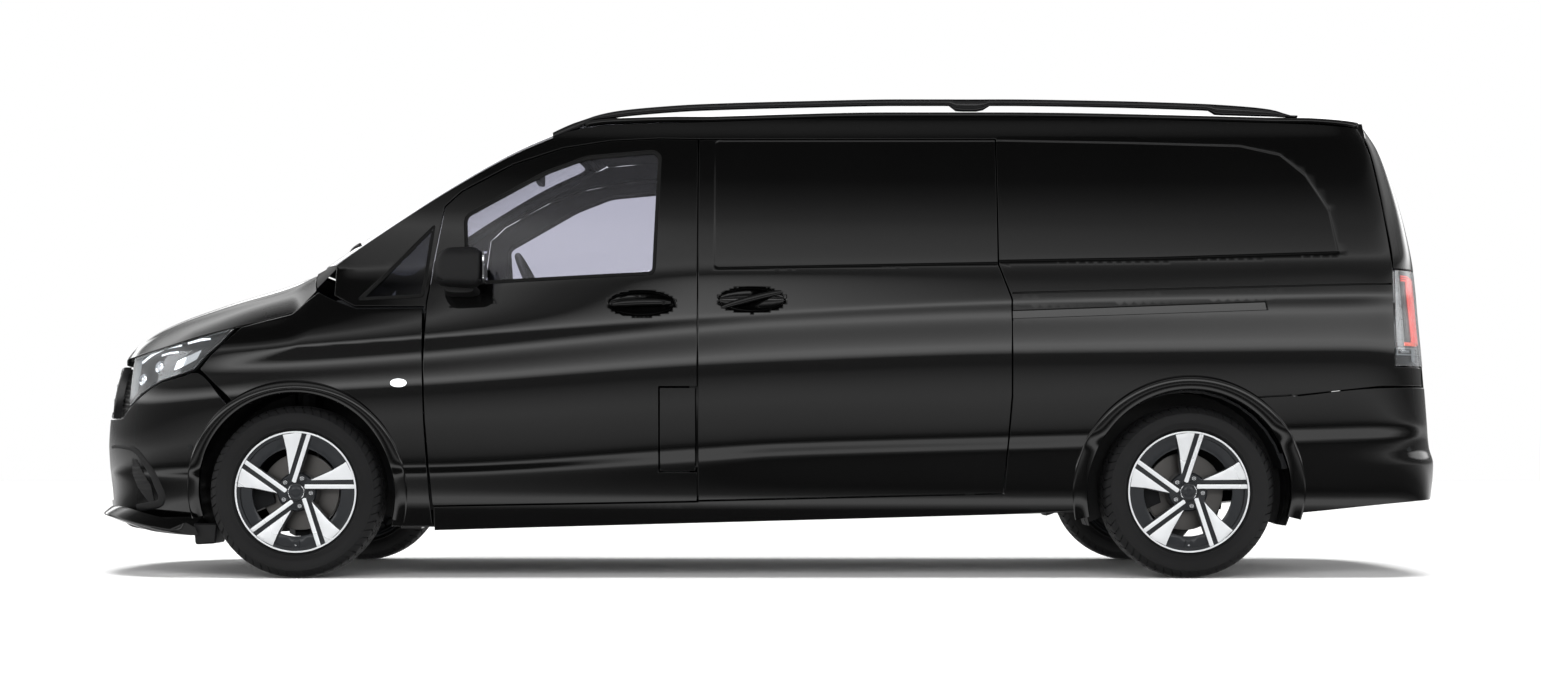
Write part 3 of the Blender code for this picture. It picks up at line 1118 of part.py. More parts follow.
def front_suspension():
    """Subframe with lower and upper arms, spring struts and steering rack."""
    x = FRONT_AXLE_X
    frame = box("front_suspension", (x - 0.160, 0.005 - RAIL_INNER_Y, 0.215),
                (x + 0.160, RAIL_INNER_Y - 0.005, 0.300), CASTING)
    for label, side in both_sides():
        join(frame, box("subframe_leg_" + label, (x - 0.150, side * (RAIL_INNER_Y - 0.015), 0.250),
                        (x + 0.150, side * (RAIL_OUTER_Y - 0.005), 0.330 - TOUCH)))
        root = side * (RAIL_INNER_Y - 0.040)
        tip = side * (KINGPIN_Y + 0.030)
        strut_y = side * (KINGPIN_Y - 0.105)
        low = [(x - 0.120, root), (x + 0.120, root), (x + 0.028, tip), (x - 0.028, tip)]
        join(frame, prism("lower_arm_" + label, low, PIVOT_LOW_Z - 0.022, PIVOT_LOW_Z, "Z"),
             box("arm_foot_" + label, (x - 0.110, root, PIVOT_LOW_Z - 0.022),
                 (x + 0.110, root + side * 0.030, 0.240)))
        root = side * (KINGPIN_Y - 0.175)
        high = [(x - 0.060, root), (x + 0.060, root), (x + 0.028, tip), (x - 0.028, tip)]
        join(frame, prism("upper_arm_" + label, high, PIVOT_HIGH_Z, PIVOT_HIGH_Z + 0.022, "Z"),
             prism("strut_" + label, circle(x, strut_y, 0.032, 10), PIVOT_LOW_Z - 0.010, 0.760, "Z"),
             prism("spring_" + label, circle(x, strut_y, 0.055, 14), 0.540, 0.740, "Z"))
    return frame


def rear_axle():
    """Rear axle beam with trailing arms, spindles and brake calipers."""
    x = REAR_AXLE_X
    back = REAR_TRACK / 2 + DISC_OFFSET - 0.013 - TOUCH
    beam = prism("rear_axle", circle(x, AXLE_Z, 0.046, 12), 0.183 - REAR_TRACK / 2,
                 REAR_TRACK / 2 - 0.183, "Y", CASTING)
    for label, side in both_sides():
        start = REAR_TRACK / 2 - 0.223
        spindle = [(0.0, 0.0), (0.0, 0.045), (side * (back - start), 0.040),
                   (side * (back - start), 0.0)]
        join(beam, revolve("rear_spindle_" + label, spindle, (x, side * start, AXLE_Z), 12),
             caliper_shape("rear_caliper_" + label, x, side * REAR_TRACK / 2, side),
             box("rear_caliper_arm_" + label, (x, side * (start + 0.100), AXLE_Z - 0.030),
                 (x + 0.150, side * (start + 0.162), AXLE_Z + 0.030)),
             box("trailing_arm_" + label, (x, side * (RAIL_OUTER_Y + 0.010), AXLE_Z - 0.030),
                 (x + 0.520, side * (RAIL_OUTER_Y + 0.070), AXLE_Z + 0.030)),
             box("arm_bush_" + label, (x + 0.460, side * (RAIL_OUTER_Y + TOUCH), AXLE_Z - 0.020),
                 (x + 0.520, side * (RAIL_OUTER_Y + 0.080), AXLE_Z + 0.085)))
    return beam


def engine():
    half = RAIL_INNER_Y - 0.140
    return box("engine_block", (1.830, -half, 0.300 + TOUCH), (2.330, half, 0.980), CASTING)


def dashboard():
    outline = [(1.3597, 0.700), (1.3597, 0.965), (1.330, 1.150), (1.120, 1.150), (1.050, 1.090),
               (1.045, 0.990), (1.150, 0.900), (1.180, 0.700)]
    board = prism("dashboard", outline, 0.194 - HALF, HALF - 0.194, "Y", INTERIOR)
    bore = prism("column_bore", circle(0, 0, 0.0249, 24), 0.05, COLUMN_LENGTH + 0.0006, "X")
    bore.location = (STEER_WHEEL_X, STEER_WHEEL_Y, STEER_WHEEL_Z)
    bore.rotation_euler = (0.0, STEER_COLUMN_TILT, 0.0)
    return cut(board, bore)


def seat(name, y0, y1):
    """Seat with its cushion, backrest and headrest on a plain plinth."""
    base = box(name, (0.400, y0 + 0.04, FLOOR_TOP + TOUCH), (0.850, y1 - 0.04, 0.700), SEAT_CLOTH)
    cushion = rounded([(0.370, 0.690), (0.930, 0.700), (0.940, 0.830), (0.390, 0.800)], 0.05)
    back = rounded([(0.360, 0.760), (0.500, 0.760), (0.390, 1.420), (0.300, 1.420)], 0.05)
    join(base, prism(name + "_cushion", cushion, y0, y1, "Y"),
         prism(name + "_back", back, y0, y1, "Y"))
    heads = max(1, round((y1 - y0) / 0.5))
    for k in range(heads):
        middle = y0 + (y1 - y0) * (k + 0.5) / heads
        head = rounded([(0.300, 1.400), (0.380, 1.400), (0.370, 1.600), (0.290, 1.600)], 0.04)
        join(base, prism(name + "_head_%d" % k, head, middle - 0.13, middle + 0.13, "Y"))
    return base


def mirror(label, side):
    """Door mirror housing on its short arm."""
    shape = rounded([(1.050, 1.100), (1.235, 1.115), (1.245, 1.200), (1.200, 1.262),
                     (1.045, 1.268)], 0.04)
    low, high = sorted((side * (HALF + 0.021), side * (HALF + 0.156)))
    housing = prism("mirror_" + label, shape, low, high, "Y", TRIM)
    foot = float(half_width(1.150, 1.135)) + 0.0002
    low, high = sorted((side * foot, side * (HALF + 0.046)))
    join(housing, prism("mirror_arm_" + label, rounded([(1.150, 1.135), (1.215, 1.135),
                                                         (1.215, 1.170), (1.150, 1.170)], 0.01),
                        low, high))
    return housing


def roof_rail(label, side):
    """Roof rail on three feet, following the roof's edge."""
    x = np.array([0.82, 0.70, 0.573, 0.25, -0.2, -0.6, -1.1, -1.5, -1.75, -1.905, -2.0, -2.098])
    top = np.array([1.795, 1.826, 1.842, 1.858, 1.868, 1.872, 1.872, 1.864, 1.858, 1.846, 1.832, 1.808])
    under = top - 0.022
    y = half_width(x, through(ROOF_EDGE, x)) - 0.030
    half = 0.012
    lower = np.maximum(under, roof_height(x, ROOF_EDGE_HALF - 0.048) + 0.003)
    top = np.maximum(top, lower + 0.012)
    outer = np.stack([np.stack([x, side * (y + half), lower], -1), np.stack([x, side * (y + half), top], -1)])
    inner = np.stack([np.stack([x, side * (y - half), lower], -1), np.stack([x, side * (y - half), top], -1)])
    rail = shell("roof_rail_" + label, outer, inner, TRIM)
    for k, (a, b) in enumerate(((0.690, 0.573), (-0.755, -0.865), (-1.905, -2.098))):
        seat_z = roof_height(np.array([a, (a + b) / 2, b]), ROOF_EDGE_HALF - 0.042).max()
        foot_y = side * (half_width((a + b) / 2, through(ROOF_EDGE, (a + b) / 2)) - 0.030)
        join(rail, box("rail_foot_%d_%s" % (k, label), (min(a, b), foot_y - 0.010, seat_z - 0.0023),
                       (max(a, b), foot_y + 0.010, float(np.interp(-(a + b) / 2, -x, top)) - 0.006)))
    return rail


def fuel_flap():
    """Square flap let into the left door's lower rear corner in its own frame."""
    low, high = FLAP_HINGE_X - 0.006, 0.391
    grid = coons([(low, 0.413), (high, 0.413)], [(low, 0.731), (high, 0.731)],
                 [(low, 0.413), (low, 0.731)], [(high, 0.413), (high, 0.731)], 4, 6)
    flap = shell("fuel_flap", side_points(grid, 1), side_points(grid, 1, 0.0, 0.010), PAINT)
    return cut(flap, box("flap_pocket", (low - 0.010, HALF - 0.064, FLAP_HINGE_Z[0] - TOUCH),
                         (FLAP_HINGE_X + 0.012, HALF + 0.036, FLAP_HINGE_Z[1] + TOUCH)))


def steering_wheel():
    """Wheel rim with hub, spokes and column, made upright and then tilted."""
    ring = bmesh.new()
    verts = []
    segments, sides = 20, 6
    for i in range(segments):
        a = 2 * math.pi * i / segments
        for j in range(sides):
            b = 2 * math.pi * j / sides
            r = 0.185 + 0.014 * math.cos(b)
            verts.append(ring.verts.new((0.014 * math.sin(b), r * math.cos(a), r * math.sin(a))))
    for i in range(segments):
        for j in range(sides):
            n, m = (i + 1) % segments, (j + 1) % sides
            ring.faces.new([verts[i * sides + j], verts[n * sides + j], verts[n * sides + m],
                            verts[i * sides + m]])
    mesh = bpy.data.meshes.new("steering_wheel")
    ring.to_mesh(mesh)
    ring.free()
    wheel = finish_mesh("steering_wheel", mesh, INTERIOR)
    parts = [prism("wheel_hub", rounded([(-0.09, -0.05), (0.09, -0.05), (0.08, 0.055), (-0.08, 0.055)], 0.03),
                   -0.020, 0.022, "X"),
             prism("wheel_spoke_across", [(-0.18, -0.012), (0.18, -0.012), (0.18, 0.014), (-0.18, 0.014)],
                   -0.006, 0.010, "X"),
             prism("wheel_spoke_down", [(-0.014, -0.18), (0.014, -0.18), (0.014, 0.0), (-0.014, 0.0)],
                   -0.006, 0.010, "X"),
             prism("wheel_column", circle(0, 0, 0.024, 14), 0.015, COLUMN_LENGTH, "X")]
    join(wheel, *parts)
    pivot = bpy.data.objects.new("steering_pivot", None)
    bpy.context.scene.collection.objects.link(pivot)
    pivot.location = (STEER_WHEEL_X, STEER_WHEEL_Y, STEER_WHEEL_Z)
    pivot.rotation_euler = (0.0, STEER_COLUMN_TILT, 0.0)
    for item in [wheel] + parts:
        item.parent = pivot
    return wheel


def bulkhead():
    half = [(HALF - 0.129, FLOOR_TOP + TOUCH), (HALF - 0.129, 1.100), (HALF - 0.164, 1.400),
            (HALF - 0.219, 1.600), (HALF - 0.284, 1.720)]
    outline = half + [(-y, z) for y, z in half[::-1]]
    return prism("bulkhead", outline, DOOR_SEAM_X - 0.080, DOOR_SEAM_X - 0.050 - TOUCH, "X",
                 CASTING)


def build_van():
    remove_old_objects()
    floor()
    roof()
    bonnet()
    windscreen()
    front_bumper()
    grille()
    lower_grille()
    tailgate()
    tailgate_glass()
    rear_bumper()
    bulkhead()
    dashboard()
    engine()
    front_suspension()
    rear_axle()
    steering_wheel()
    seat("driver_seat", 0.150, 0.650)
    seat("passenger_seat", 0.224 - HALF, 0.060)
    fuel_flap()
    for label, side in both_sides():
        body_side(label, side)
        front_door(label, side)
        sliding_door(label, side)
        front_wing(label, side)
        headlamp(label, side)
        tail_lamp(label, side)
        mirror(label, side)
        roof_rail(label, side)
        pane("door_glass_" + label, rounded(DOOR_WINDOW, 0.03), side)
        pane("quarter_glass_" + label, rounded(QUARTER_WINDOW, 0.02), side, 5)
        knuckle(label, side)
        tyre("front_" + label, FRONT_AXLE_X, side * FRONT_TRACK / 2)
        tyre("rear_" + label, REAR_AXLE_X, side * REAR_TRACK / 2)
        rim("front_" + label, FRONT_AXLE_X, side * FRONT_TRACK / 2, side)
        rim("rear_" + label, REAR_AXLE_X, side * REAR_TRACK / 2, side)


build_van()
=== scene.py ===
"""Looks of the long panel van: fine body skin, lamps, wheels, glass and cab around the CAD frame.

Units are metres. +X points forward, +Y to the van's left and +Z up, as in the CAD. The outer
skin is the CAD's own set of formulas, worked out here on fine grids and cut along the shut lines.
"""
import math

import bmesh
import bpy
import numpy as np
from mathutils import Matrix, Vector
from mathutils.geometry import delaunay_2d_cdt


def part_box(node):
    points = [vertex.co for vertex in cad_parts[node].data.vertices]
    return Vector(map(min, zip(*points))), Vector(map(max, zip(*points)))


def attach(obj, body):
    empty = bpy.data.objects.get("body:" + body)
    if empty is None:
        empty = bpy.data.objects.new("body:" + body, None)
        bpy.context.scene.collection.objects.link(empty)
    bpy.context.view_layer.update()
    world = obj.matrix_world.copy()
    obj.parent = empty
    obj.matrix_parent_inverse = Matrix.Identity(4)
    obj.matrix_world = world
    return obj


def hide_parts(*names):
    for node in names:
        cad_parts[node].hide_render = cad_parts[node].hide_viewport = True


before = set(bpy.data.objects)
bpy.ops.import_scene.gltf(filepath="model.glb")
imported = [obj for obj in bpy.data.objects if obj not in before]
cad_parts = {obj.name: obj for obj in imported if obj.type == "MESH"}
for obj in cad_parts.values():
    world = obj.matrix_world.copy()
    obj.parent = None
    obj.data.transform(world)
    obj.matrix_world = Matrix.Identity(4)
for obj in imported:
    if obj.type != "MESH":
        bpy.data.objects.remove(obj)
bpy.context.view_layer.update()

# Sizes shared with the CAD
LENGTH = 5.37
HALF = 0.964
FRONT_X = LENGTH / 2
REAR_X = -LENGTH / 2
FRONT_AXLE_X = 1.79
REAR_AXLE_X = -1.64
AXLE_Z = 0.332
FRONT_WHEEL_Y = 0.833
REAR_WHEEL_Y = 0.823
DOOR_SEAM_X = 0.25
SLIDE_REAR_X = -0.905
SHUT_GAP = 0.006
NOSE_START_X = 1.5
TAIL_START_X = -1.9
ROOF_EDGE_HALF = 0.735
ROOF_FRONT_X = 0.79
ROOF_WALL = 0.024
TAILGATE_TOP_X = -2.36
PILLAR_WIDTH = 0.05
FRONT_ARCH_RADIUS = 0.385
REAR_ARCH_RADIUS = 0.395

# Edges of the pressed panels, and how far they reach over the CAD's outline
EDGE_RADIUS = 0.0025
FLANGE_DEPTH = 0.014
COVER = 0.0004
SIDES = (("left", 1), ("right", -1))

# The CAD's steps across the side, as height along the van, half width and rounding
SIDE_STEPS = [
    ([(-2.7, 0.16), (2.7, 0.16)], HALF - 0.09, 0.02),
    ([(-2.7, 0.3), (2.7, 0.3)], HALF - 0.04, 0.03),
    ([(-2.7, 0.545), (-0.99, 0.5), (-0.07, 0.474), (0.25, 0.45), (1.265, 0.406), (2.7, 0.39)],
     HALF - 0.026, 0.012),
    ([(-2.7, 0.59), (-0.99, 0.543), (-0.07, 0.515), (0.25, 0.498), (1.265, 0.428), (2.7, 0.41)],
     HALF - 0.012, 0.014),
    ([(-2.7, 0.86), (-0.95, 0.855), (-0.07, 0.826), (0.25, 0.814), (1.29, 0.746), (2.7, 0.68)],
     HALF, 0.06),
    ([(-2.7, 1.04), (-0.95, 1.01), (-0.07, 0.975), (0.25, 0.951), (1.386, 0.845), (2.7, 0.76)],
     HALF - 0.016, 0.03),
    ([(-2.7, 1.095), (-0.957, 1.06), (0.25, 1.0), (1.386, 0.914), (2.7, 0.83)],
     HALF - 0.017, 0.01),
    ([(-2.7, 1.235), (-0.9, 1.2), (0.17, 1.184), (1.14, 1.128), (2.7, 1.05)],
     HALF - 0.03, 0.02),
    ([(-2.7, 1.43), (2.7, 1.4)], HALF - 0.078, 0.08),
    ([(-2.7, 1.61), (2.7, 1.6)], HALF - 0.135, 0.07),
    ([(-2.7, 1.71), (2.7, 1.71)], HALF - 0.177, 0.04),
    ([(-2.7, 1.8), (2.7, 1.8)], HALF - 0.25, 0.03),
]
NOSE_LINE = [(0.12, 0.13), (0.19, 0.075), (0.24, 0.012), (0.35, 0.006), (0.5, 0.0),
             (0.66, 0.012), (0.756, 0.03), (0.866, 0.072), (0.94, 0.135), (1.0, 0.235),
             (1.072, 0.42), (1.2, 0.86)]
TAIL_LINE = [(0.2, 0.02), (0.44, 0.0), (0.5, 0.018), (0.705, 0.04), (0.94, 0.062),
             (1.188, 0.084), (1.337, 0.108), (1.529, 0.155), (1.667, 0.2), (1.749, 0.245),
             (1.9, 0.34)]
CAB_TAPER = 0.085
CAB_TAPER_START_X = 0.15
CAB_TAPER_RISE = 0.3
NOSE_SQUARENESS = (2.2, 4.0)
TAIL_SQUARENESS = (3.0, 8.0)
BONNET_CENTRE = [(1.6, 1.245), (1.8, 1.215), (1.953, 1.165), (2.196, 1.09), (2.439, 1.0),
                 (2.55, 0.935), (2.613, 0.868), (2.64, 0.82)]
BONNET_EDGE_Z = [(1.55, 1.175), (1.66, 1.15), (1.72, 1.115), (1.81, 1.03), (2.03, 0.972),
                 (2.2, 0.93), (2.33, 0.895), (2.49, 0.86), (2.6, 0.82)]
BONNET_EDGE_Y = [(1.55, 0.79), (1.66, 0.815), (1.72, 0.83), (1.81, 0.855), (2.03, 0.862),
                 (2.2, 0.835), (2.33, 0.775), (2.49, 0.615), (2.55, 0.46)]
ROOF_CENTRE = [(-2.7, 1.79), (-2.36, 1.824), (-2.0, 1.84), (-1.5, 1.848), (-0.5, 1.852),
               (0.25, 1.842), (0.6, 1.827), (0.9, 1.79)]
ROOF_EDGE = [(-2.7, 1.725), (-2.35, 1.752), (-2.1, 1.768), (-0.9, 1.795), (-0.5, 1.795),
             (0.25, 1.775), (0.6, 1.765), (0.9, 1.7)]
PILLAR_LINE = [(0.7, 1.76), (0.954, 1.648), (1.19, 1.514), (1.426, 1.361), (1.662, 1.2)]
SCREEN_CENTRE = [(0.79, 1.812), (1.01, 1.716), (1.29, 1.557), (1.56, 1.382), (1.81, 1.214)]
TAIL_SEAM = [(0.6, -2.433), (1.189, -2.431), (1.43, -2.403), (1.64, -2.375), (1.759, -2.345),
             (1.9, -2.3)]

# Shut lines in the side view, as (x, z)
DOOR_OUTLINE = [(DOOR_SEAM_X, 0.297), (1.265, 0.279), (1.29, 0.6), (1.298, 0.83),
                (1.285, 1.06), (1.262, 1.22), (1.225, 1.435), (1.16, 1.495), (0.965, 1.6),
                (0.776, 1.664), (0.588, 1.694), (0.4, 1.703), (DOOR_SEAM_X, 1.7)]
SLIDE_OUTLINE = [(SLIDE_REAR_X - 0.021, 0.328), (DOOR_SEAM_X - SHUT_GAP, 0.3),
                 (DOOR_SEAM_X - SHUT_GAP, 1.7), (SLIDE_REAR_X, 1.7), (SLIDE_REAR_X, 1.205),
                 (SLIDE_REAR_X - 0.051, 1.07), (SLIDE_REAR_X - 0.051, 0.7)]
DOOR_WINDOW = [(1.153, 1.399), (0.842, 1.573), (0.682, 1.634), (0.418, 1.658), (0.39, 1.634),
               (0.409, 1.166), (1.14, 1.128)]
QUARTER_WINDOW = [(1.56, 1.068), (1.3, 1.08), (1.262, 1.369)]
WING_OUTLINE = [(1.271, 0.2), (1.9, 0.2), (1.9, 0.55), (2.01, 0.642), (2.04, 0.692),
                (2.162, 0.804), (2.12, 0.856), (2.068, 0.905), (2.006, 0.966), (1.92, 0.99),
                (1.815, 1.016), (1.765, 1.062), (1.715, 1.102), (1.64, 1.066), (1.56, 1.036),
                (1.304, 1.036), (1.304, 0.83), (1.296, 0.6)]
LAMP_OUTLINE = [(2.036, 0.964), (2.085, 0.905), (2.136, 0.86), (2.19, 0.803), (2.235, 0.789),
                (2.33, 0.761), (2.42, 0.711), (2.484, 0.66), (2.478, 0.855), (2.325, 0.89),
                (2.194, 0.926)]
FLAP_OUTLINE = [(0.256, 0.413), (0.391, 0.413), (0.391, 0.731), (0.256, 0.731)]
BUMPER_TOP = [(2.0, 0.61), (2.028, 0.634), (2.06, 0.676), (2.184, 0.79), (2.23, 0.778),
              (2.33, 0.752), (2.42, 0.702), (2.487, 0.65), (2.53, 0.615), (2.69, 0.615)]
SLIDE_PRESSING = [(0.188, 1.184), (0.188, 1.702), (-0.96, 1.702), (-0.96, 1.205)]
REAR_PRESSING = [(-0.83, 1.21), (-0.83, 1.705), (-1.441, 1.693), (-1.857, 1.681),
                 (-2.012, 1.645), (-2.107, 1.562), (-2.19, 1.42), (-2.22, 1.245),
                 (-1.5, 1.222)]
RAIL_SLOT = [(-0.957, 0.998), (-0.957, 1.026), (-1.93, 1.06), (-1.936, 1.031)]


def stacked(*parts):
    """Coordinates side by side as points."""
    return np.stack(parts, axis=-1)


def through(points, x):
    """Smooth monotone curve through points, read at x: cubic Hermite pieces."""
    px, py = np.array(points, dtype=float).T
    step = np.diff(px)
    slope = np.diff(py) / step
    inner = slope[:-1] * slope[1:]
    both = np.where(np.abs(slope[:-1] + slope[1:]) < 1e-9, 1.0, slope[:-1] + slope[1:])
    tangent = np.concatenate([slope[:1], np.where(inner > 0, 2 * inner / both, 0.0), slope[-1:]])
    x = np.asarray(x, dtype=float)
    i = np.clip(np.searchsorted(px, x) - 1, 0, len(px) - 2)
    t = np.clip((x - px[i]) / step[i], 0.0, 1.0)
    h = step[i]
    return ((2 * t**3 - 3 * t**2 + 1) * py[i] + (t**3 - 2 * t**2 + t) * h * tangent[i]
            + (3 * t**2 - 2 * t**3) * py[i + 1] + (t**3 - t**2) * h * tangent[i + 1])


def soft_ramp(t, radius):
    """Ramp that is 0 below t=0 and t above it: the half sum of t and a hyperbola over it."""
    return (t + np.sqrt(t * t + radius * radius)) / 2


def side_profile(x, z):
    """Half width before the ends taper: a sum of rounded ramps between the side's steps."""
    heights = [through(step[0], x) for step in SIDE_STEPS]
    widths = [step[1] for step in SIDE_STEPS]
    total = np.full(np.broadcast(x, z).shape, widths[0], dtype=float)
    for k in range(len(SIDE_STEPS) - 1):
        slope = (widths[k + 1] - widths[k]) / (heights[k + 1] - heights[k])
        total += slope * (soft_ramp(z - heights[k], SIDE_STEPS[k][2])
                          - soft_ramp(z - heights[k + 1], SIDE_STEPS[k + 1][2]))
    ahead = np.clip((x - CAB_TAPER_START_X) / (FRONT_AXLE_X - CAB_TAPER_START_X), 0.0, 1.0)
    above = np.clip((z - heights[6]) / CAB_TAPER_RISE, 0.0, 1.0)
    return total - CAB_TAPER * ahead**2 * above**2 * (3 - 2 * above)


def nose_x(z):
    """Foremost x of the nose at a height."""
    return FRONT_X - through(NOSE_LINE, z)


def tail_x(z):
    """Rearmost x of the tail at a height."""
    return REAR_X + through(TAIL_LINE, z)


def taper(x, z):
    """Share of the half width left where the plan rounds off: two superellipse quadrants."""
    p, q = NOSE_SQUARENESS
    ahead = np.clip((x - NOSE_START_X) / (nose_x(z) - NOSE_START_X), 0.0, 1.0)
    front = (1 - ahead**q) ** (1 / p)
    p, q = TAIL_SQUARENESS
    behind = np.clip((TAIL_START_X - x) / (TAIL_START_X - tail_x(z)), 0.0, 1.0)
    return front * (1 - behind**q) ** (1 / p)


def half_width(x, z):
    """Half width of the outer skin: the side's profile times the taper of the ends."""
    x, z = np.broadcast_arrays(np.asarray(x, float), np.asarray(z, float))
    return side_profile(x, z) * taper(x, z)


def wing_width(x, z):
    """Half width of the wing: the side's, less a quarter-round fall towards the bonnet's edge."""
    edge_z = through(BONNET_EDGE_Z, x)
    t = np.clip((z - edge_z + 0.16) / 0.16, 0.0, 1.0)
    drop = np.clip(half_width(x, edge_z) - through(BONNET_EDGE_Y, x), 0.0, 1.0)
    return half_width(x, z) - drop * (1 - np.sqrt(1 - 0.999 * t**2))


def roof_height(x, y):
    """Roof: from the centre line down to the edge line by the 3.2 power of the width share."""
    centre = through(ROOF_CENTRE, x)
    edge = through(ROOF_EDGE, x) + ROOF_WALL
    return centre - (centre - edge) * np.abs(y / ROOF_EDGE_HALF) ** 3.2


def distance_to(points, loop):
    """Signed distance from points to a closed outline, negative inside it."""
    best = np.full(len(points), np.inf)
    inside = np.zeros(len(points), dtype=bool)
    for a, b in zip(loop, np.roll(loop, -1, axis=0)):
        edge = b - a
        t = np.clip(((points - a) @ edge) / max(edge @ edge, 1e-12), 0.0, 1.0)
        best = np.minimum(best, np.linalg.norm(points - a - t[:, None] * edge, axis=1))
        crosses = (a[1] > points[:, 1]) != (b[1] > points[:, 1])
        rise = np.where(np.abs(edge[1]) < 1e-12, 1e-12, edge[1])
        inside ^= crosses & (points[:, 0] < a[0] + (points[:, 1] - a[1]) * edge[0] / rise)
    return np.where(inside, -best, best)


def grown(loop, distance):
    """Outline moved out by a distance, with mitred corners."""
    loop = np.asarray(loop, dtype=float)
    loop = loop[np.linalg.norm(np.roll(loop, -1, axis=0) - loop, axis=1) > 1e-6]
    area = np.sum(loop[:, 0] * np.roll(loop[:, 1], -1) - np.roll(loop[:, 0], -1) * loop[:, 1])
    along = np.roll(loop, -1, axis=0) - loop
    along /= np.linalg.norm(along, axis=1)[:, None]
    normal = np.c_[along[:, 1], -along[:, 0]] * (1 if area > 0 else -1)
    mitre = normal + np.roll(normal, 1, axis=0)
    mitre /= np.maximum(0.4, (mitre * normal).sum(axis=1))[:, None]
    return loop + mitre * distance


def rounded(loop, radius, segments=6):
    """Outline with every corner rounded by a parabola that leaves both edges at the radius."""
    loop = np.asarray(loop, dtype=float)
    before = np.roll(loop, 1, axis=0) - loop
    after = np.roll(loop, -1, axis=0) - loop
    long_before = np.linalg.norm(before, axis=1)[:, None]
    long_after = np.linalg.norm(after, axis=1)[:, None]
    reach = np.minimum(radius, 0.45 * np.minimum(long_before, long_after))
    start = loop + before / long_before * reach
    end = loop + after / long_after * reach
    t = np.linspace(0, 1, segments + 1)[None, :, None]
    curve = (1 - t)**2 * start[:, None] + 2 * t * (1 - t) * loop[:, None] + t**2 * end[:, None]
    return curve.reshape(-1, 2)


def full_turn(count):
    """Angles evenly round a circle."""
    return np.linspace(0, 2 * math.pi, count, endpoint=False)


def circle(cx, cy, radius, count=96):
    """Outline of a circle."""
    angle = full_turn(count)
    return np.c_[cx + radius * np.cos(angle), cy + radius * np.sin(angle)]


def rectangle(x0, y0, x1, y1):
    """Outline of a rectangle from two opposite corners."""
    return np.array([(x0, y0), (x1, y0), (x1, y1), (x0, y1)], float)


def steady(*way):
    """One direction for every parameter, for a flange to go in."""
    return lambda uv: np.tile(np.array(way, float), (len(uv), 1))


def shifted(place, *move):
    """A surface moved as a whole."""
    return lambda u, v: place(u, v) + np.array(move, float)


def sunk(width, inset):
    """A half width less an inset."""
    return lambda x, z: width(x, z) - inset


def stepped(loop, step):
    """Closed outline with points no further apart than a step, its corners kept."""
    loop = np.asarray(loop, dtype=float)
    gaps = np.linalg.norm(np.roll(loop, -1, axis=0) - loop, axis=1)
    loop = loop[gaps > 1e-6]
    gaps = np.linalg.norm(np.roll(loop, -1, axis=0) - loop, axis=1)
    counts = np.maximum(1, np.ceil(gaps / step)).astype(int)
    which = np.repeat(np.arange(len(loop)), counts)
    share = (np.arange(counts.sum()) - np.repeat(np.cumsum(counts) - counts, counts))
    share = share / counts[which]
    return loop[which] * (1 - share[:, None]) + np.roll(loop, -1, axis=0)[which] * share[:, None]


def cut_patch(outline, holes=(), step=(0.03, 0.012), edge_step=0.012, marks=()):
    """Triangles over an outline less its holes: a grid of points joined to the cut edges."""
    rims = [stepped(loop, edge_step) for loop in (outline, *holes, *marks)]
    low, high = rims[0].min(axis=0), rims[0].max(axis=0)
    u = np.arange(low[0] + step[0] / 2, high[0], step[0])
    v = np.arange(low[1] + step[1] / 2, high[1], step[1])
    grid = np.stack(np.meshgrid(u, v), axis=-1).reshape(-1, 2)
    near = 0.35 * min(step)
    keep = distance_to(grid, rims[0]) < -near
    for rim in rims[1:]:
        keep &= np.abs(distance_to(grid, rim)) > near
    grid = grid[keep]
    starts = np.cumsum([0] + [len(rim) for rim in rims])
    edges = [(int(s + k), int(s + (k + 1) % len(rim))) for s, rim in zip(starts, rims)
             for k in range(len(rim))]
    points = np.concatenate(rims + [grid])
    found = delaunay_2d_cdt([tuple(p) for p in points], edges, [], 0, 1e-7)
    uv = np.array([tuple(p) for p in found[0]])
    tris = np.array(found[2], dtype=int)
    centre = uv[tris].mean(axis=1)
    keep = distance_to(centre, rims[0]) < -1e-6
    for loop in rims[1:1 + len(holes)]:
        keep &= distance_to(centre, loop) > 1e-6
    tris = tris[keep]
    turn = np.cross(uv[tris[:, 1]] - uv[tris[:, 0]], uv[tris[:, 2]] - uv[tris[:, 0]])
    tris[turn < 0] = tris[turn < 0][:, ::-1]
    return uv, tris[np.abs(turn) > 1e-12]


def rim_loops(tris):
    """Closed loops of the edges that only one triangle uses, in the triangles' own direction."""
    edges = np.concatenate([tris[:, [0, 1]], tris[:, [1, 2]], tris[:, [2, 0]]])
    known = set(map(tuple, edges.tolist()))
    after = {a: b for a, b in known if (b, a) not in known}
    loops = []
    while after:
        start, point = after.popitem()
        loop = [start]
        while point != start and point in after:
            loop.append(point)
            point = after.pop(point)
        loops.append(np.array(loop))
    return [loop for loop in loops if len(loop) > 3]


def slopes(place, uv):
    """Point, its two tangents and its unit normal on a surface, by central differences."""
    e = 2e-4
    pu = (place(uv[:, 0] + e, uv[:, 1]) - place(uv[:, 0] - e, uv[:, 1])) / (2 * e)
    pv = (place(uv[:, 0], uv[:, 1] + e) - place(uv[:, 0], uv[:, 1] - e)) / (2 * e)
    normal = np.cross(pu, pv)
    normal /= np.maximum(1e-12, np.linalg.norm(normal, axis=1))[:, None]
    return pu, pv, normal


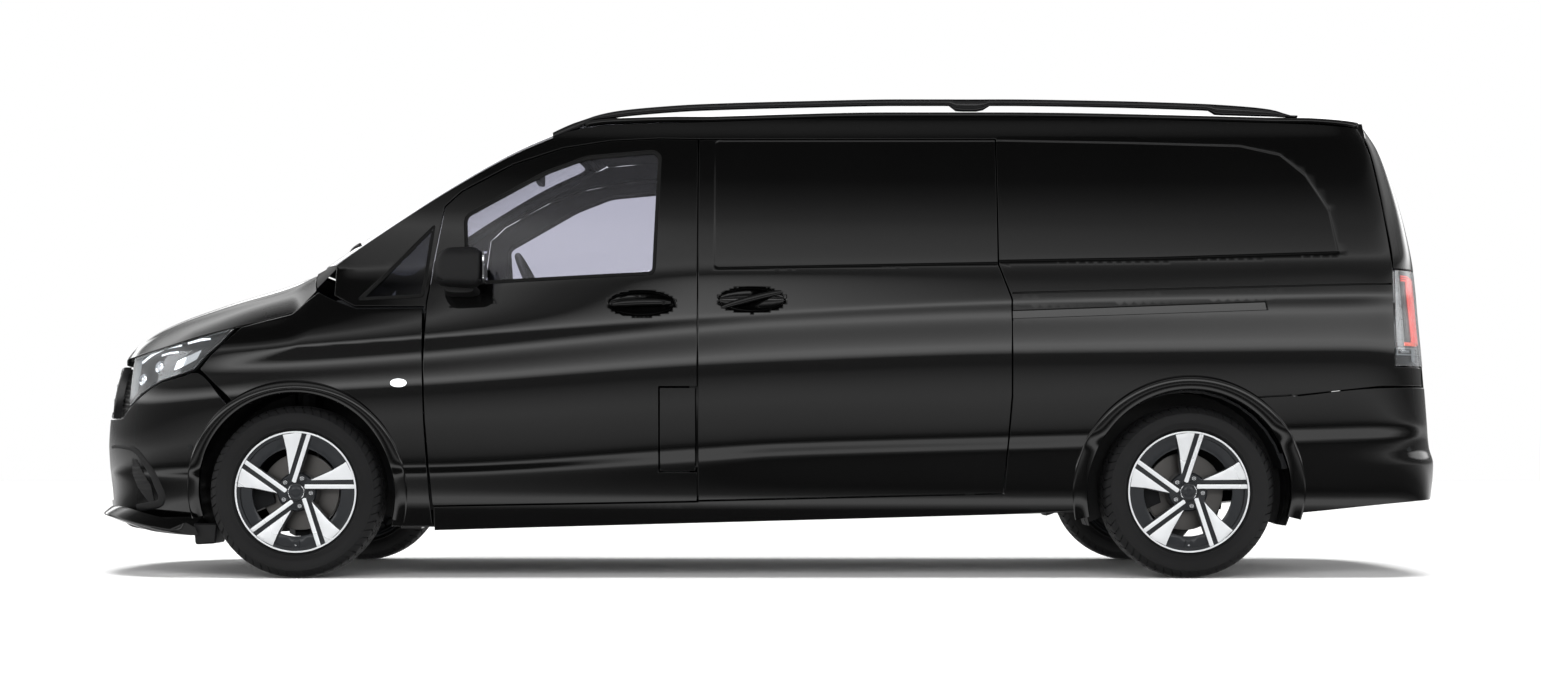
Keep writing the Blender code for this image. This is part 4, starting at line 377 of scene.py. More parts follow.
def sheet_arrays(place, patch, outward, inner_kind=0, depth=FLANGE_DEPTH, wall=None, back=None,
                 radius=EDGE_RADIUS, region=None):
    """Pressed panel: a cut surface whose edge turns in by a quarter round and a flange.

    place gives the point for each pair of parameters, outward is the sign that turns the
    parameters' own normal out of the van, and back is the direction the flange goes in.
    With a wall the panel also gets its inner face and is closed.
    """
    uv, tris = patch
    used, tris = np.unique(tris, return_inverse=True)
    tris = tris.reshape(-1, 3)
    uv = uv[used]
    _, _, normal = slopes(place, uv)
    normal *= outward
    points = [place(uv[:, 0], uv[:, 1])]
    normals = [normal]
    faces = [tris if outward > 0 else tris[:, ::-1]]
    kinds = [np.zeros(len(tris), int) if region is None else region(uv[tris].mean(axis=1))]
    count = len(uv)
    deep = wall if wall else depth
    turns = np.radians([35, 65, 90])
    rings = [(radius * math.sin(a), radius * (1 - math.cos(a)), a) for a in turns]
    rings.append((radius, deep, math.pi / 2))
    base = count
    inner_rim = []
    for loop in rim_loops(tris):
        flat = uv[loop]
        ahead = np.roll(flat, -1, axis=0) - flat
        ahead /= np.maximum(1e-12, np.linalg.norm(ahead, axis=1))[:, None]
        out2 = np.c_[ahead[:, 1], -ahead[:, 0]]
        mitre = out2 + np.roll(out2, 1, axis=0)
        mitre /= np.maximum(0.7, (mitre * out2).sum(axis=1))[:, None]
        previous = loop
        for reach, down, angle in rings:
            spot = flat + mitre * reach
            pu, pv, n = slopes(place, spot)
            n *= outward
            side = pu * mitre[:, :1] + pv * mitre[:, 1:]
            side /= np.maximum(1e-12, np.linalg.norm(side, axis=1))[:, None]
            inwards = -n if back is None else back(spot)
            points.append(place(spot[:, 0], spot[:, 1]) + inwards * down)
            normals.append(n * math.cos(angle) + side * math.sin(angle))
            ring = np.arange(base, base + len(loop))
            base += len(loop)
            quad = np.c_[np.roll(previous, -1), previous, ring, np.roll(ring, -1)]
            faces.append(quad if outward > 0 else quad[:, ::-1])
            kinds.append(np.zeros(len(loop), int))
            previous = ring
        inner_rim.append((loop, previous))
    if wall:
        inwards = -normal if back is None else back(uv)
        points.append(points[0] + inwards * wall)
        normals.append(-normal)
        faces.append((tris[:, ::-1] if outward > 0 else tris) + base)
        kinds.append(np.full(len(tris), inner_kind))
        for loop, previous in inner_rim:
            inside = loop + base
            quad = np.c_[np.roll(previous, -1), previous, inside, np.roll(inside, -1)]
            faces.append(quad if outward > 0 else quad[:, ::-1])
            kinds.append(np.full(len(loop), inner_kind))
    return np.concatenate(points), faces, np.concatenate(kinds), np.concatenate(normals)


def sheet_piece(name, place, patch, outward, materials, body, node=None, slot=None, **more):
    """Object of one pressed panel, whose last material is that of its inner face."""
    points, faces, kinds, normals = sheet_arrays(place, patch, outward, len(materials) - 1,
                                                 **more)
    return mesh_piece(name, points, faces, materials, body, node, normals, kinds, slot)


def mesh_piece(name, points, faces, materials, body, node=None, normals=None, kinds=None,
               slot=None, angle=None):
    """Mesh from arrays of points and faces, riding on a CAD body and standing for a CAD node.

    It is smooth, but for edges sharper than the angle where one is given.
    """
    if not isinstance(faces, list):
        faces = [faces]
    mesh = bpy.data.meshes.new(name)
    mesh.from_pydata(np.asarray(points, float).tolist(), [],
                     [face for group in faces for face in np.asarray(group).tolist()])
    for material in materials:
        mesh.materials.append(material)
    if kinds is not None:
        mesh.polygons.foreach_set("material_index", np.asarray(kinds, np.int32))
    mesh.shade_smooth()
    if normals is not None:
        mesh.normals_split_custom_set_from_vertices(np.asarray(normals, float).tolist())
    if angle:
        mesh.set_sharp_from_angle(angle=math.radians(angle))
    mesh.update()
    piece = bpy.data.objects.new(name, mesh)
    bpy.context.scene.collection.objects.link(piece)
    if body:
        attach(piece, body)
    if node:
        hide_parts(node)
    if node or slot:
        slot or node
    return piece


def ring_faces(rows, columns, closed_rows=False, closed_columns=True):
    """Quads of a grid of points, wrapped round where it is closed."""
    i = np.arange(rows if closed_rows else rows - 1)
    j = np.arange(columns if closed_columns else columns - 1)
    i, j = (g.ravel() for g in np.meshgrid(i, j, indexing="ij"))
    n, m = (i + 1) % rows, (j + 1) % columns
    return np.c_[i * columns + j, n * columns + j, n * columns + m, i * columns + m]


def joined(parts):
    """Several sets of points, faces and kinds as one, each with its faces moved up."""
    base, points, faces, kinds = 0, [], [], []
    for part in parts:
        points.append(part[0])
        faces += [np.asarray(group) + base for group in part[1]]
        kinds.append(part[2])
        base += len(part[0])
    return np.concatenate(points), faces, np.concatenate(kinds)


def solid(points, faces, kind=0):
    """Closed set of faces turned outwards: reversed where its signed volume is negative."""
    points = np.asarray(points, float)
    faces = [np.asarray(group) for group in (faces if isinstance(faces, list) else [faces])]
    volume = 0.0
    for group in faces:
        for k in range(1, group.shape[1] - 1):
            a, b, c = (points[group[:, j]] for j in (0, k, k + 1))
            volume += np.sum(a * np.cross(b, c))
    if volume < 0:
        faces = [group[:, ::-1] for group in faces]
    return points, faces, np.full(sum(len(group) for group in faces), kind)


def lofted(sections, kind=0):
    """Closed skin over rings of points, shape (rings, points, 3), with a fan over each end."""
    sections = np.asarray(sections, float)
    rows, columns = sections.shape[:2]
    points = np.concatenate([sections.reshape(-1, 3), sections[:1].mean(axis=1),
                             sections[-1:].mean(axis=1)])
    j = np.arange(columns)
    after = (j + 1) % columns
    first = np.c_[np.full(columns, rows * columns), j, after]
    last = (rows - 1) * columns
    end = np.c_[np.full(columns, rows * columns + 1), last + after, last + j]
    return solid(points, [ring_faces(rows, columns), first, end], kind)


def superellipse(power, count=20):
    """Unit ring (cos, sin) with each coordinate raised to 2/power, its sign kept."""
    angle = full_turn(count)
    c, s = np.cos(angle), np.sin(angle)
    return np.sign(c) * np.abs(c) ** (2 / power), np.sign(s) * np.abs(s) ** (2 / power)


def turned(profile, count=128, kind=0, closed=True):
    """Profile of (offset, radius) turned round the third axis."""
    profile = np.asarray(profile, float)
    angle = full_turn(count)
    r, offset = profile[:, 1][:, None], profile[:, 0][:, None]
    points = stacked(r * np.cos(angle), r * np.sin(angle), offset + 0 * angle)
    if closed:
        return solid(points.reshape(-1, 3), ring_faces(len(profile), count, True), kind)
    return lofted(points, kind)


def knob(profile, radius, count, kind=0):
    """Closed solid turned from a profile that starts and ends on the axis, its corners soft."""
    return turned(softened(profile, radius), count, kind, closed=False)


def moved(part, *move):
    """Part moved as a whole."""
    return (part[0] + move, *part[1:])


def at_side(part, x, y, z, side):
    """Part from its own frame to a side of the van: it runs aft on the left, forward on the
    right, and its third axis points out."""
    a, b, out = part[0].T
    return (stacked(x - side * a, side * (y + out), z + b), *part[1:])


def bar(x, y, z, wide, tall, power, count, side):
    """Bar along a line on one side of the van, its section a superellipse."""
    c, s = superellipse(power, count)
    return lofted(stacked(x[:, None] + 0 * c, side * (y[:, None] + wide * c),
                          z[:, None] + tall[:, None] * s))


def ovals(rows, power, count, kind=0):
    """Solid along x over superellipses, each given as (x, half width, z, half height)."""
    c, s = superellipse(power, count)
    return lofted([stacked(x + 0 * c, wide * c, z + tall * s)
                   for x, wide, z, tall in rows], kind)


def softened(profile, radius, segments=4):
    """Open line of points with its inner corners rounded."""
    profile = np.asarray(profile, float)
    corners = rounded(profile, radius, segments).reshape(len(profile), segments + 1, 2)
    return np.concatenate([profile[:1], corners[1:-1].reshape(-1, 2), profile[-1:]])


def ribbon(points, width):
    """Closed outline of a strip along points, its width given at each of them or once."""
    points = np.asarray(points, float)
    ahead = np.gradient(points, axis=0)
    ahead /= np.linalg.norm(ahead, axis=1)[:, None]
    across = np.c_[-ahead[:, 1], ahead[:, 0]] * (np.broadcast_to(width, len(points)) / 2)[:, None]
    return np.concatenate([points + across, (points - across)[::-1]])


def solid_piece(name, parts, materials, body, node=None, slot=None, angle=35):
    """Object of several closed solids."""
    points, faces, kinds = joined(parts)
    return mesh_piece(name, points, faces, materials, body, node, kinds=kinds, slot=slot,
                      angle=angle)


def linear(code):
    """sRGB hex value as linear colour."""
    value = np.array([int(code[k:k + 2], 16) for k in (0, 2, 4)]) / 255
    return (*np.where(value <= 0.04045, value / 12.92, ((value + 0.055) / 1.055) ** 2.4), 1.0)


def node(tree, kind, links=None, **settings):
    """Adds a shader node with its settings, and links {input: output socket or value}."""
    added = tree.nodes.new("ShaderNode" + kind)
    for key, value in settings.items():
        setattr(added, key, value)
    for key, value in (links or {}).items():
        if isinstance(value, bpy.types.NodeSocket):
            tree.links.new(value, added.inputs[key])
        else:
            added.inputs[key].default_value = value
    return added


def finish_of(name, colour, roughness, grain=None, varied=None, **sockets):
    """Principled material with a grain in its bump and a slow variation of roughness.

    grain is the size of one grain and how far it stands up, in metres, and varied the low
    and high roughness that soft clouds run between.
    """
    material = bpy.data.materials.new(name)
    material.use_nodes = True
    tree = material.node_tree
    shader = tree.nodes["Principled BSDF"]
    shader.inputs["Base Color"].default_value = linear(colour)
    shader.inputs["Roughness"].default_value = roughness
    for key, value in sockets.items():
        shader.inputs[key.replace("_", " ")].default_value = value
    place = node(tree, "TexCoord").outputs["Object"]
    if grain:
        noise = node(tree, "TexNoise", {"Vector": place, "Scale": 1.0 / grain[0], "Detail": 2.0})
        bump = node(tree, "Bump", {"Height": noise.outputs["Fac"], "Distance": grain[1],
                                   "Strength": 1.0})
        tree.links.new(bump.outputs["Normal"], shader.inputs["Normal"])
    if varied:
        clouds = node(tree, "TexNoise", {"Vector": place, "Scale": 2.5, "Detail": 3.0})
        spread = node(tree, "MapRange", {"Value": clouds.outputs["Fac"], "From Min": 0.3,
                                         "From Max": 0.7, "To Min": varied[0],
                                         "To Max": varied[1]})
        tree.links.new(spread.outputs["Result"], shader.inputs["Roughness"])
    return material


# Two-coat paint: a black base under a glossy clear coat with the faint peel of a sprayed film
PAINT = finish_of("black_clear_coat_paint", "010101", 0.32, (0.012, 0.00002), (0.26, 0.34),
                  Coat_Weight=1.0, Coat_Roughness=0.02, Coat_IOR=1.5, Specular_IOR_Level=0.1)
# Moulded polypropylene with a spark-eroded grain of about 1 mm
GRAINED = finish_of("grained_polypropylene", "0B0B0C", 0.52, (0.0012, 0.00012), (0.46, 0.58))
# Gloss black trim: rails, grille frame and the edges of lamps and screen
GLOSS_BLACK = finish_of("gloss_black_abs", "050506", 0.14, (0.02, 0.00001))
# Window rubber, matt and slightly dusty
SEAL = finish_of("epdm_rubber_seal", "090909", 0.8, (0.0008, 0.00006), (0.72, 0.86))
# Tyre compound: carbon black rubber
TYRE = finish_of("tyre_rubber", "0D0D0E", 0.7, (0.0015, 0.0001), (0.58, 0.76))
# Bright lathe-cut faces of the wheels
ALLOY = finish_of("diamond_turned_alloy", "DCDEE0", 0.28, (0.001, 0.00002), (0.24, 0.34),
                  Metallic=0.5)
# Dark metallic paint between them
ALLOY_DARK = finish_of("dark_grey_painted_alloy", "2A2C2F", 0.34, (0.0006, 0.00002), (0.3, 0.38),
                       Metallic=0.6, Coat_Weight=0.6, Coat_Roughness=0.08)
# Machined brake disc
DISC = finish_of("turned_cast_iron", "7A7876", 0.36, (0.0012, 0.00004), (0.3, 0.44), Metallic=1.0)
# Sand-cast and dip-painted running gear
CASTING = finish_of("sand_cast_iron", "17181A", 0.62, (0.003, 0.0003), (0.55, 0.7), Metallic=0.4)
# Dip primer of underbody and load floor
PRIMER = finish_of("dip_primer", "1B1C1E", 0.6, (0.004, 0.0002), (0.52, 0.68))
# Polished trim
CHROME = finish_of("chromed_abs", "D9DBDD", 0.08, Metallic=1.0)
# Dashboard skin with a leather-like grain
DASH_SKIN = finish_of("slush_moulded_vinyl", "141416", 0.62, (0.0022, 0.00025), (0.55, 0.7))
# Grey trim board inside doors and roof
INNER_TRIM = finish_of("inner_trim_board", "1E1F21", 0.7, (0.0016, 0.00012), (0.62, 0.76))
# Panes: slightly lavender float glass, and dark glass behind the cab
GLASS = finish_of("tinted_float_glass", "D8D8E2", 0.0, Transmission_Weight=1.0, IOR=1.5)
DARK_GLASS = finish_of("privacy_glass", "30323A", 0.0, Transmission_Weight=1.0, IOR=1.5)


def pressed(x, z, outline, depth=0.0045, width=0.012):
    """Depth of a pressing: a smooth step from 0 on its outline to full depth inside it."""
    flat = np.stack(np.broadcast_arrays(x, z), axis=-1).reshape(-1, 2)
    t = np.clip(-distance_to(flat, outline) / width, 0.0, 1.0)
    return (depth * t * t * (3 - 2 * t)).reshape(np.shape(x))


def dimple(x, z, centre, half_size, depth):
    """Depth of a handle's recess: half an ellipsoid."""
    r = ((x - centre[0]) / half_size[0]) ** 2 + ((z - centre[1]) / half_size[1]) ** 2
    return depth * np.clip(1 - r, 0.0, 1.0) ** 0.5


def step_lines(outline):
    """Loops along a pressing's step, at its top, middle and foot, for the mesh to follow."""
    return [grown(outline, -inset) for inset in (0.001, 0.006, 0.0125)]


def recess_lines(centre):
    """Ellipses round a handle's recess at its rim and towards its middle."""
    (x, z), (wide, tall) = centre, HANDLE_RECESS
    c, s = superellipse(2.0, 72)
    return [np.c_[x + share * wide * c, z + share * tall * s]
            for share in (1.0, 0.965, 0.88, 0.72, 0.5)]


FRONT_HANDLE = (0.462, 1.055)
SLIDE_HANDLE = (0.039, 1.069)
HANDLE_RECESS = (0.126, 0.047)


def skin_place(side, width, recess=None):
    """Point of a side panel: x and z are the parameters, and the width gives y."""
    def place(x, z):
        y = width(x, z)
        if recess:
            y = y - recess(x, z)
        return stacked(x, side * y, z)
    return place


def panel_patch(outline, holes, step, marks=()):
    """Patch of a panel whose rounded edge just covers its CAD outline and holes."""
    return cut_patch(grown(outline, COVER - EDGE_RADIUS),
                     [grown(hole, EDGE_RADIUS - COVER) for hole in holes], step, marks=marks)


def side_panel(name, side, outline, holes, body, node=None, recess=None, width=half_width,
               step=(0.036, 0.012), marks=(), **more):
    """Panel of the van's side."""
    back = steady(0, -side, 0) if "wall" in more else None
    return sheet_piece(name, skin_place(side, width, recess),
                       panel_patch(outline, holes, step, marks), -side, [PAINT], body, node,
                       back=back, **more)


def under_skin(name, side, body="body", sink=0.005):
    """The CAD panel's own frame and inner face, with its outer face drawn in under the skin."""
    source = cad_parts[name]
    work = bmesh.new()
    work.from_mesh(source.data)
    bmesh.ops.remove_doubles(work, verts=work.verts, dist=1e-5)
    co = np.array([v.co for v in work.verts])
    gap = np.abs(co[:, 1]) - half_width(co[:, 0], co[:, 2])
    drawn = (gap > -0.0035) & (co[:, 1] * side > 0)
    co[drawn, 1] = side * (half_width(co[drawn, 0], co[drawn, 2]) - sink)
    faces = [[v.index for v in face.verts] for face in work.faces]
    inward = np.array([face.normal.y * side < -0.5 for face in work.faces])
    work.free()
    return mesh_piece(name + "_frame", co, [np.array(f)[None] for f in faces],
                      [PAINT, INNER_TRIM], body, name, kinds=inward.astype(int), angle=35)


def body_outline():
    """Outline of the body side: sill, front post, screen pillar, roof edge and tail seam."""
    pillar = np.linspace(1.648, ROOF_FRONT_X, 20)
    roof = np.linspace(ROOF_FRONT_X - 0.02, -2.336, 40)
    top = np.concatenate([np.c_[pillar, through(PILLAR_LINE, pillar)],
                          np.c_[roof, through(ROOF_EDGE, roof)]])
    return np.array([(-2.36, 0.32), (-0.911, 0.244), (1.262, 0.184), (1.262, 0.3),
                     (1.29, 0.6), (1.296, 1.047), (1.566, 1.047), (1.648, 1.09)]
                    + top.tolist()
                    + [(-2.369, 1.64), (-2.397, 1.43), (-2.425, 1.189), (-2.427, 0.811),
                       (-2.56, 0.811), (-2.56, 0.741), (-2.37, 0.738)])


# Where the rear bumper and its seam, and the seam along the rear side, cut the body's skin
BUMPER_CUT = [(-2.034, 0.15), (-2.034, 0.702), (-2.37, 0.738), (-2.7, 0.741), (-2.7, 0.15)]
BUMPER_SEAM = [(-1.825, 0.6885), (-1.825, 0.6925), (-2.026, 0.7045), (-2.026, 0.7005)]
SIDE_SEAM = [(-0.96, 1.0925), (-0.96, 1.0975), (-2.42, 1.1345), (-2.42, 1.1295)]


def body_sides():
    """Sides of the body: outer skin with the pressing behind the doors, frame under it."""
    for label, side in SIDES:
        holes = [grown(DOOR_OUTLINE, SHUT_GAP - 0.001), grown(SLIDE_OUTLINE, SHUT_GAP - 0.001),
                 circle(REAR_AXLE_X, AXLE_Z, REAR_ARCH_RADIUS), BUMPER_CUT,
                 rounded(QUARTER_WINDOW, 0.02), grown(RAIL_SLOT, 0.001), SIDE_SEAM,
                 BUMPER_SEAM]
        side_panel("body_side_skin_" + label, side, body_outline(), holes, "body",
                   recess=lambda x, z: pressed(x, z, REAR_PRESSING),
                   marks=step_lines(REAR_PRESSING))
        under_skin("body_side_" + label, side, sink=0.012)


def doors():
    """Front and sliding doors, with the recesses of their handles and the pressing."""
    for label, side in SIDES:
        node_name = "front_door_" + label
        holes = [rounded(DOOR_WINDOW, 0.03)]
        if side > 0:
            holes.append(rectangle(0.2, 0.407, 0.397, 0.737))
        side_panel(node_name + "_skin", side, DOOR_OUTLINE, holes, node_name,
                   recess=lambda x, z: dimple(x, z, FRONT_HANDLE, HANDLE_RECESS, 0.02),
                   step=(0.016, 0.008), marks=recess_lines(FRONT_HANDLE))
        under_skin(node_name, side, body=node_name, sink=0.023)
        node_name = "sliding_door_" + label
        side_panel(node_name + "_skin", side, SLIDE_OUTLINE, [], "body",
                   recess=lambda x, z: (dimple(x, z, SLIDE_HANDLE, HANDLE_RECESS, 0.02)
                                        + pressed(x, z, rounded(SLIDE_PRESSING, 0.025))),
                   step=(0.016, 0.008), marks=recess_lines(SLIDE_HANDLE)
                   + step_lines(rounded(SLIDE_PRESSING, 0.025)))
        under_skin(node_name, side, sink=0.023)


def wings():
    """Front wings."""
    for label, side in SIDES:
        arch = circle(FRONT_AXLE_X, AXLE_Z, FRONT_ARCH_RADIUS)
        side_panel("front_wing_skin_" + label, side, WING_OUTLINE, [arch], "body",
                   "front_wing_" + label, width=wing_width, step=(0.016, 0.01), wall=0.012)


def flap():
    """Lid over the fuel filler."""
    side_panel("fuel_flap_skin", 1, FLAP_OUTLINE, [], "fuel_flap", "fuel_flap", wall=0.009)


def end_skin(squareness, start, end_of, level, width_at):
    """Skin of the nose or the tail over u, the plan's length from the middle at one level, and z.

    Its plan is a superellipse: x = start + (end - start) cos^(2/q), y = half width sin^(2/p).
    Returns the point at (u, z), and u where the skin passes an x and where it passes a y.
    """
    p, q = squareness
    angles = np.concatenate([np.linspace(0, 0.02, 40)[:-1], np.linspace(0.02, 1.5707, 1500)])
    x = start + (float(end_of(level)) - start) * np.cos(angles) ** (2 / q)
    y = np.sin(angles) ** (2 / p) * side_profile(x, np.full_like(x, level))
    lengths = np.concatenate([[0], np.cumsum(np.hypot(np.diff(x), np.diff(y)))])

    def place(u, z):
        angle = np.interp(np.abs(u), lengths, angles)
        share = np.sign(u) * np.sin(angle) ** (2 / p)
        x = start + (end_of(z) - start) * np.cos(angle) ** (2 / q)
        return stacked(x, share * side_profile(x, z), z)

    def u_at_x(x, z):
        along = np.clip((x - start) / (end_of(z) - start), 0, 1)
        return np.interp(np.arccos(along ** (q / 2)), angles, lengths)

    def u_at_y(y, z):
        share = np.clip(np.abs(y) / width_at(z), 0, 1)
        return np.interp(np.arcsin(share ** (p / 2)), angles, lengths) * np.sign(y)
    return place, u_at_x, u_at_y


# Heights at which u is the length along the plan, and x at which the tail's width is read
NOSE_LEVEL = 0.6
TAIL_LEVEL = 0.8
TAIL_WIDTH_X = -2.6
nose_place, nose_u, nose_u_at_y = end_skin(NOSE_SQUARENESS, NOSE_START_X, nose_x, NOSE_LEVEL,
                                           lambda z: HALF)
tail_place, tail_u, tail_u_at_y = end_skin(TAIL_SQUARENESS, TAIL_START_X, tail_x, TAIL_LEVEL,
                                           lambda z: side_profile(TAIL_WIDTH_X, z))


def both_ways(edge):
    """Closed outline from its right-hand half, mirrored in u."""
    edge = np.asarray(edge, dtype=float)
    return np.concatenate([edge, edge[::-1] * [-1, 1]])


def arch_cuts(x, radius, kept, u_at_x, end):
    """Both wheel arches as holes in a bumper's parameters, closed past its edges at u = end."""
    arch = circle(x, AXLE_Z, radius, 160)
    arch = arch[kept(*arch.T)]
    arch = arch[np.argsort(arch[:, 1])]
    u, z = u_at_x(*arch.T), arch[:, 1]
    return [np.concatenate([np.c_[side * u, z], [(side * end, z[-1]), (side * end, z[0])]])
            for side in (1, -1)]


def plan_panel(name, place, outline, holes, node, body="body", outward=1, step=(0.028, 0.016),
               materials=None, **more):
    """Panel on one of the other surfaces, cut to its outline like the side's."""
    return sheet_piece(name, place, panel_patch(outline, holes, step), outward,
                       materials or [PAINT], body, node, **more)


def front_bumper():
    """Front bumper, cut at the arches and for the lower grille."""
    x = np.linspace(2.012, 2.684, 90)
    top_z = through(BUMPER_TOP, x)
    top = np.c_[nose_u(x, top_z), top_z]
    low_x = np.linspace(2.684, 2.012, 40)
    low_z = through([(2.0, 0.15), (2.2, 0.165), (2.536, 0.185), (2.69, 0.2)], low_x)
    low = np.c_[nose_u(low_x, low_z), low_z]
    edge = np.concatenate([[(0.0, low_z[0])], low[1:], top[:-1], [(0.0, top_z[-1])]])
    holes = arch_cuts(FRONT_AXLE_X, FRONT_ARCH_RADIUS, lambda x, z: (x > 2.012) & (z > 0.1),
                      nose_u, 2.2)
    y, z = np.array([(-0.5, 0.29), (0.5, 0.29), (0.42, 0.5), (-0.42, 0.5)]).T
    holes.append(rounded(np.c_[nose_u_at_y(y, z), z], 0.04))
    plan_panel("front_bumper_skin", nose_place, both_ways(edge), holes, "front_bumper",
               wall=0.018)


BONNET_HALF = 0.85
BONNET_LONG = 0.9


def bonnet_place(u, t):
    """Bonnet: u across in metres at its widest, t along from the screen to the nose, metres."""
    s = np.clip(u / BONNET_HALF, -1, 1)
    t = t / BONNET_LONG
    centre_x = 1.812 + (2.622 - 1.812) * t
    edge_x = 1.728 + (2.49 - 1.728) * t
    x = centre_x - (centre_x - edge_x) * s**2
    y = s * (through(BONNET_EDGE_Y, edge_x) - 0.008)
    centre_z = through(BONNET_CENTRE, centre_x)
    z = centre_z - (centre_z - through(BONNET_EDGE_Z, edge_x)) * np.abs(s) ** 2.6
    rib = 0.006 * np.exp(-((np.abs(s) - 0.62) / 0.05) ** 2)
    return stacked(x, y, z + rib * np.clip(1 - t, 0, 1) ** 0.3)


def bonnet():
    """Bonnet, primed underneath."""
    outline = rounded(rectangle(-BONNET_HALF, 0.0, BONNET_HALF, BONNET_LONG), 0.015)
    plan_panel("bonnet_skin", bonnet_place, outline, [], "bonnet", "bonnet", wall=0.016,
               materials=[PAINT, PRIMER], back=steady(0, 0, -1))


ROOF_BEADS = (-0.33, -0.11, 0.11, 0.33)


def roof_place(x, s):
    """Roof: x along, s across in metres where it is widest, with beads and a bowed front edge."""
    edge = half_width(x, through(ROOF_EDGE, x)) - 0.0015
    share = np.clip(s / ROOF_EDGE_HALF, -1, 1)
    bow = 0.09 * np.clip((x - 0.5) / 0.19, 0, 1) * (1 - share**2)
    beads = 0.0
    for middle in ROOF_BEADS:
        beads = beads + 0.005 * np.exp(-((s - middle) / 0.016) ** 2)
    ends = np.clip((x + 2.15) / 0.15, 0, 1) * np.clip((0.35 - x) / 0.15, 0, 1)
    return stacked(x + bow, edge * share, roof_height(x, share * ROOF_EDGE_HALF)
                   - 0.004 * ends + beads * ends * 0.8)


def roof():
    """Roof with its beads, trimmed inside."""
    plan_panel("roof_skin", roof_place, rectangle(-2.34, -ROOF_EDGE_HALF, 0.69, ROOF_EDGE_HALF), [],
               "roof", step=(0.06, 0.016), wall=0.022, materials=[PAINT, INNER_TRIM],
               back=steady(0, 0, -1))


SCREEN_HALF = 0.75
SCREEN_TALL = 1.15


def screen_place(u, t):
    """Windscreen: u across, t up from the scuttle, in metres, bowed by the 2.4 power."""
    s = np.clip(u / SCREEN_HALF, -1, 1)
    t = t / SCREEN_TALL
    edge_x = 1.65 + (0.725 - 1.65) * t
    edge_z = through(PILLAR_LINE, edge_x) + 0.004
    edge_y = half_width(edge_x, edge_z - 0.004) - PILLAR_WIDTH - 0.0034
    centre_x = 1.79 + (0.8 - 1.79) * t
    centre_z = through(SCREEN_CENTRE, centre_x)
    bow = np.abs(s) ** 2.4
    return stacked(centre_x - (centre_x - edge_x) * bow, s * edge_y,
                   centre_z - (centre_z - edge_z) * bow)


def windscreen():
    """Laminated screen with a black ceramic border printed round its edge."""
    outline = rounded(rectangle(-SCREEN_HALF, 0.0, SCREEN_HALF, SCREEN_TALL), 0.03)
    outline = grown(outline, -EDGE_RADIUS)
    inner = rounded(rectangle(-0.7, 0.1, 0.7, 1.09), 0.05)
    sheet_piece("windscreen_glass", screen_place,
                cut_patch(outline, [], (0.03, 0.03), marks=[inner]), 1, [GLASS, GLASS], "body",
                "windscreen", wall=0.005, radius=0.001)
    sheet_piece("windscreen_border", shifted(screen_place, -0.0042, 0, -0.0042),
                cut_patch(outline, [inner], (0.03, 0.03)), 1, [GLOSS_BLACK], "body",
                depth=0.0005, radius=0.0004)


def pane(name, side, outline, body, glass=None):
    """Side glass set in its opening, with a rubber seal pressed round its edge."""
    set_in = 0.006
    patch = cut_patch(grown(outline, -0.0016), [], (0.04, 0.04), 0.02)
    sheet_piece(name + "_pane", skin_place(side, sunk(half_width, set_in)), patch, -side,
                [glass or GLASS] * 2, body, name, wall=0.004, radius=0.001,
                back=steady(0, -side, 0))
    ring = cut_patch(grown(outline, -0.002), [grown(outline, -0.012)], (0.05, 0.05), 0.012)
    sheet_piece(name + "_seal", skin_place(side, sunk(half_width, set_in - 0.0035)), ring, -side,
                [SEAL], body, depth=0.004, radius=0.0015)


def side_glass():
    """Panes of the front doors and the small ones ahead of them."""
    for label, side in SIDES:
        pane("door_glass_" + label, side, rounded(DOOR_WINDOW, 0.03), "front_door_" + label)
        pane("quarter_glass_" + label, side, rounded(QUARTER_WINDOW, 0.02), "body", DARK_GLASS)


LAMP_INNER_Y = 0.665
TAILGATE_SIDE_Z = 1.775
TAILGATE_MIDDLE_Z = 1.821


def tailgate_outline():
    """Tailgate's edge: up along the lamps and the seam, then over under the roof."""
    z_low = np.linspace(0.59, 1.19, 30)
    low = np.c_[tail_u_at_y(LAMP_INNER_Y - SHUT_GAP, z_low), z_low]
    z_high = np.linspace(1.192, TAILGATE_SIDE_Z, 30)
    high = np.c_[tail_u(through(TAIL_SEAM, z_high), z_high), z_high]
    share = np.linspace(0.985, 0.0, 30)
    rise = TAILGATE_MIDDLE_Z - TAILGATE_SIDE_Z
    top = np.c_[share * high[-1, 0], TAILGATE_SIDE_Z + rise * (1 - share ** 3.2)]
    return both_ways(np.concatenate([[(0.0, 0.59)], low, high, top]))


# Edges of the tailgate's glass and of the plate's recess, as (y, z) and (u, z)
TAIL_WINDOW = rounded([(-0.66, 1.215), (0.66, 1.215), (0.56, 1.69), (-0.56, 1.69)], 0.06)
TAIL_PLATE = rounded([(-0.3, 0.8), (0.3, 0.8), (0.27, 0.965), (-0.27, 0.965)], 0.03)


def tail_gate_place(u, z):
    """Tailgate skin: the tail's, with the plate's recess pressed in below the window."""
    point = tail_place(u, z)
    point[..., 0] += pressed(u, z, TAIL_PLATE, 0.022, 0.02)
    point[..., 0] = np.minimum(point[..., 0], TAILGATE_TOP_X - 0.0005)
    return point


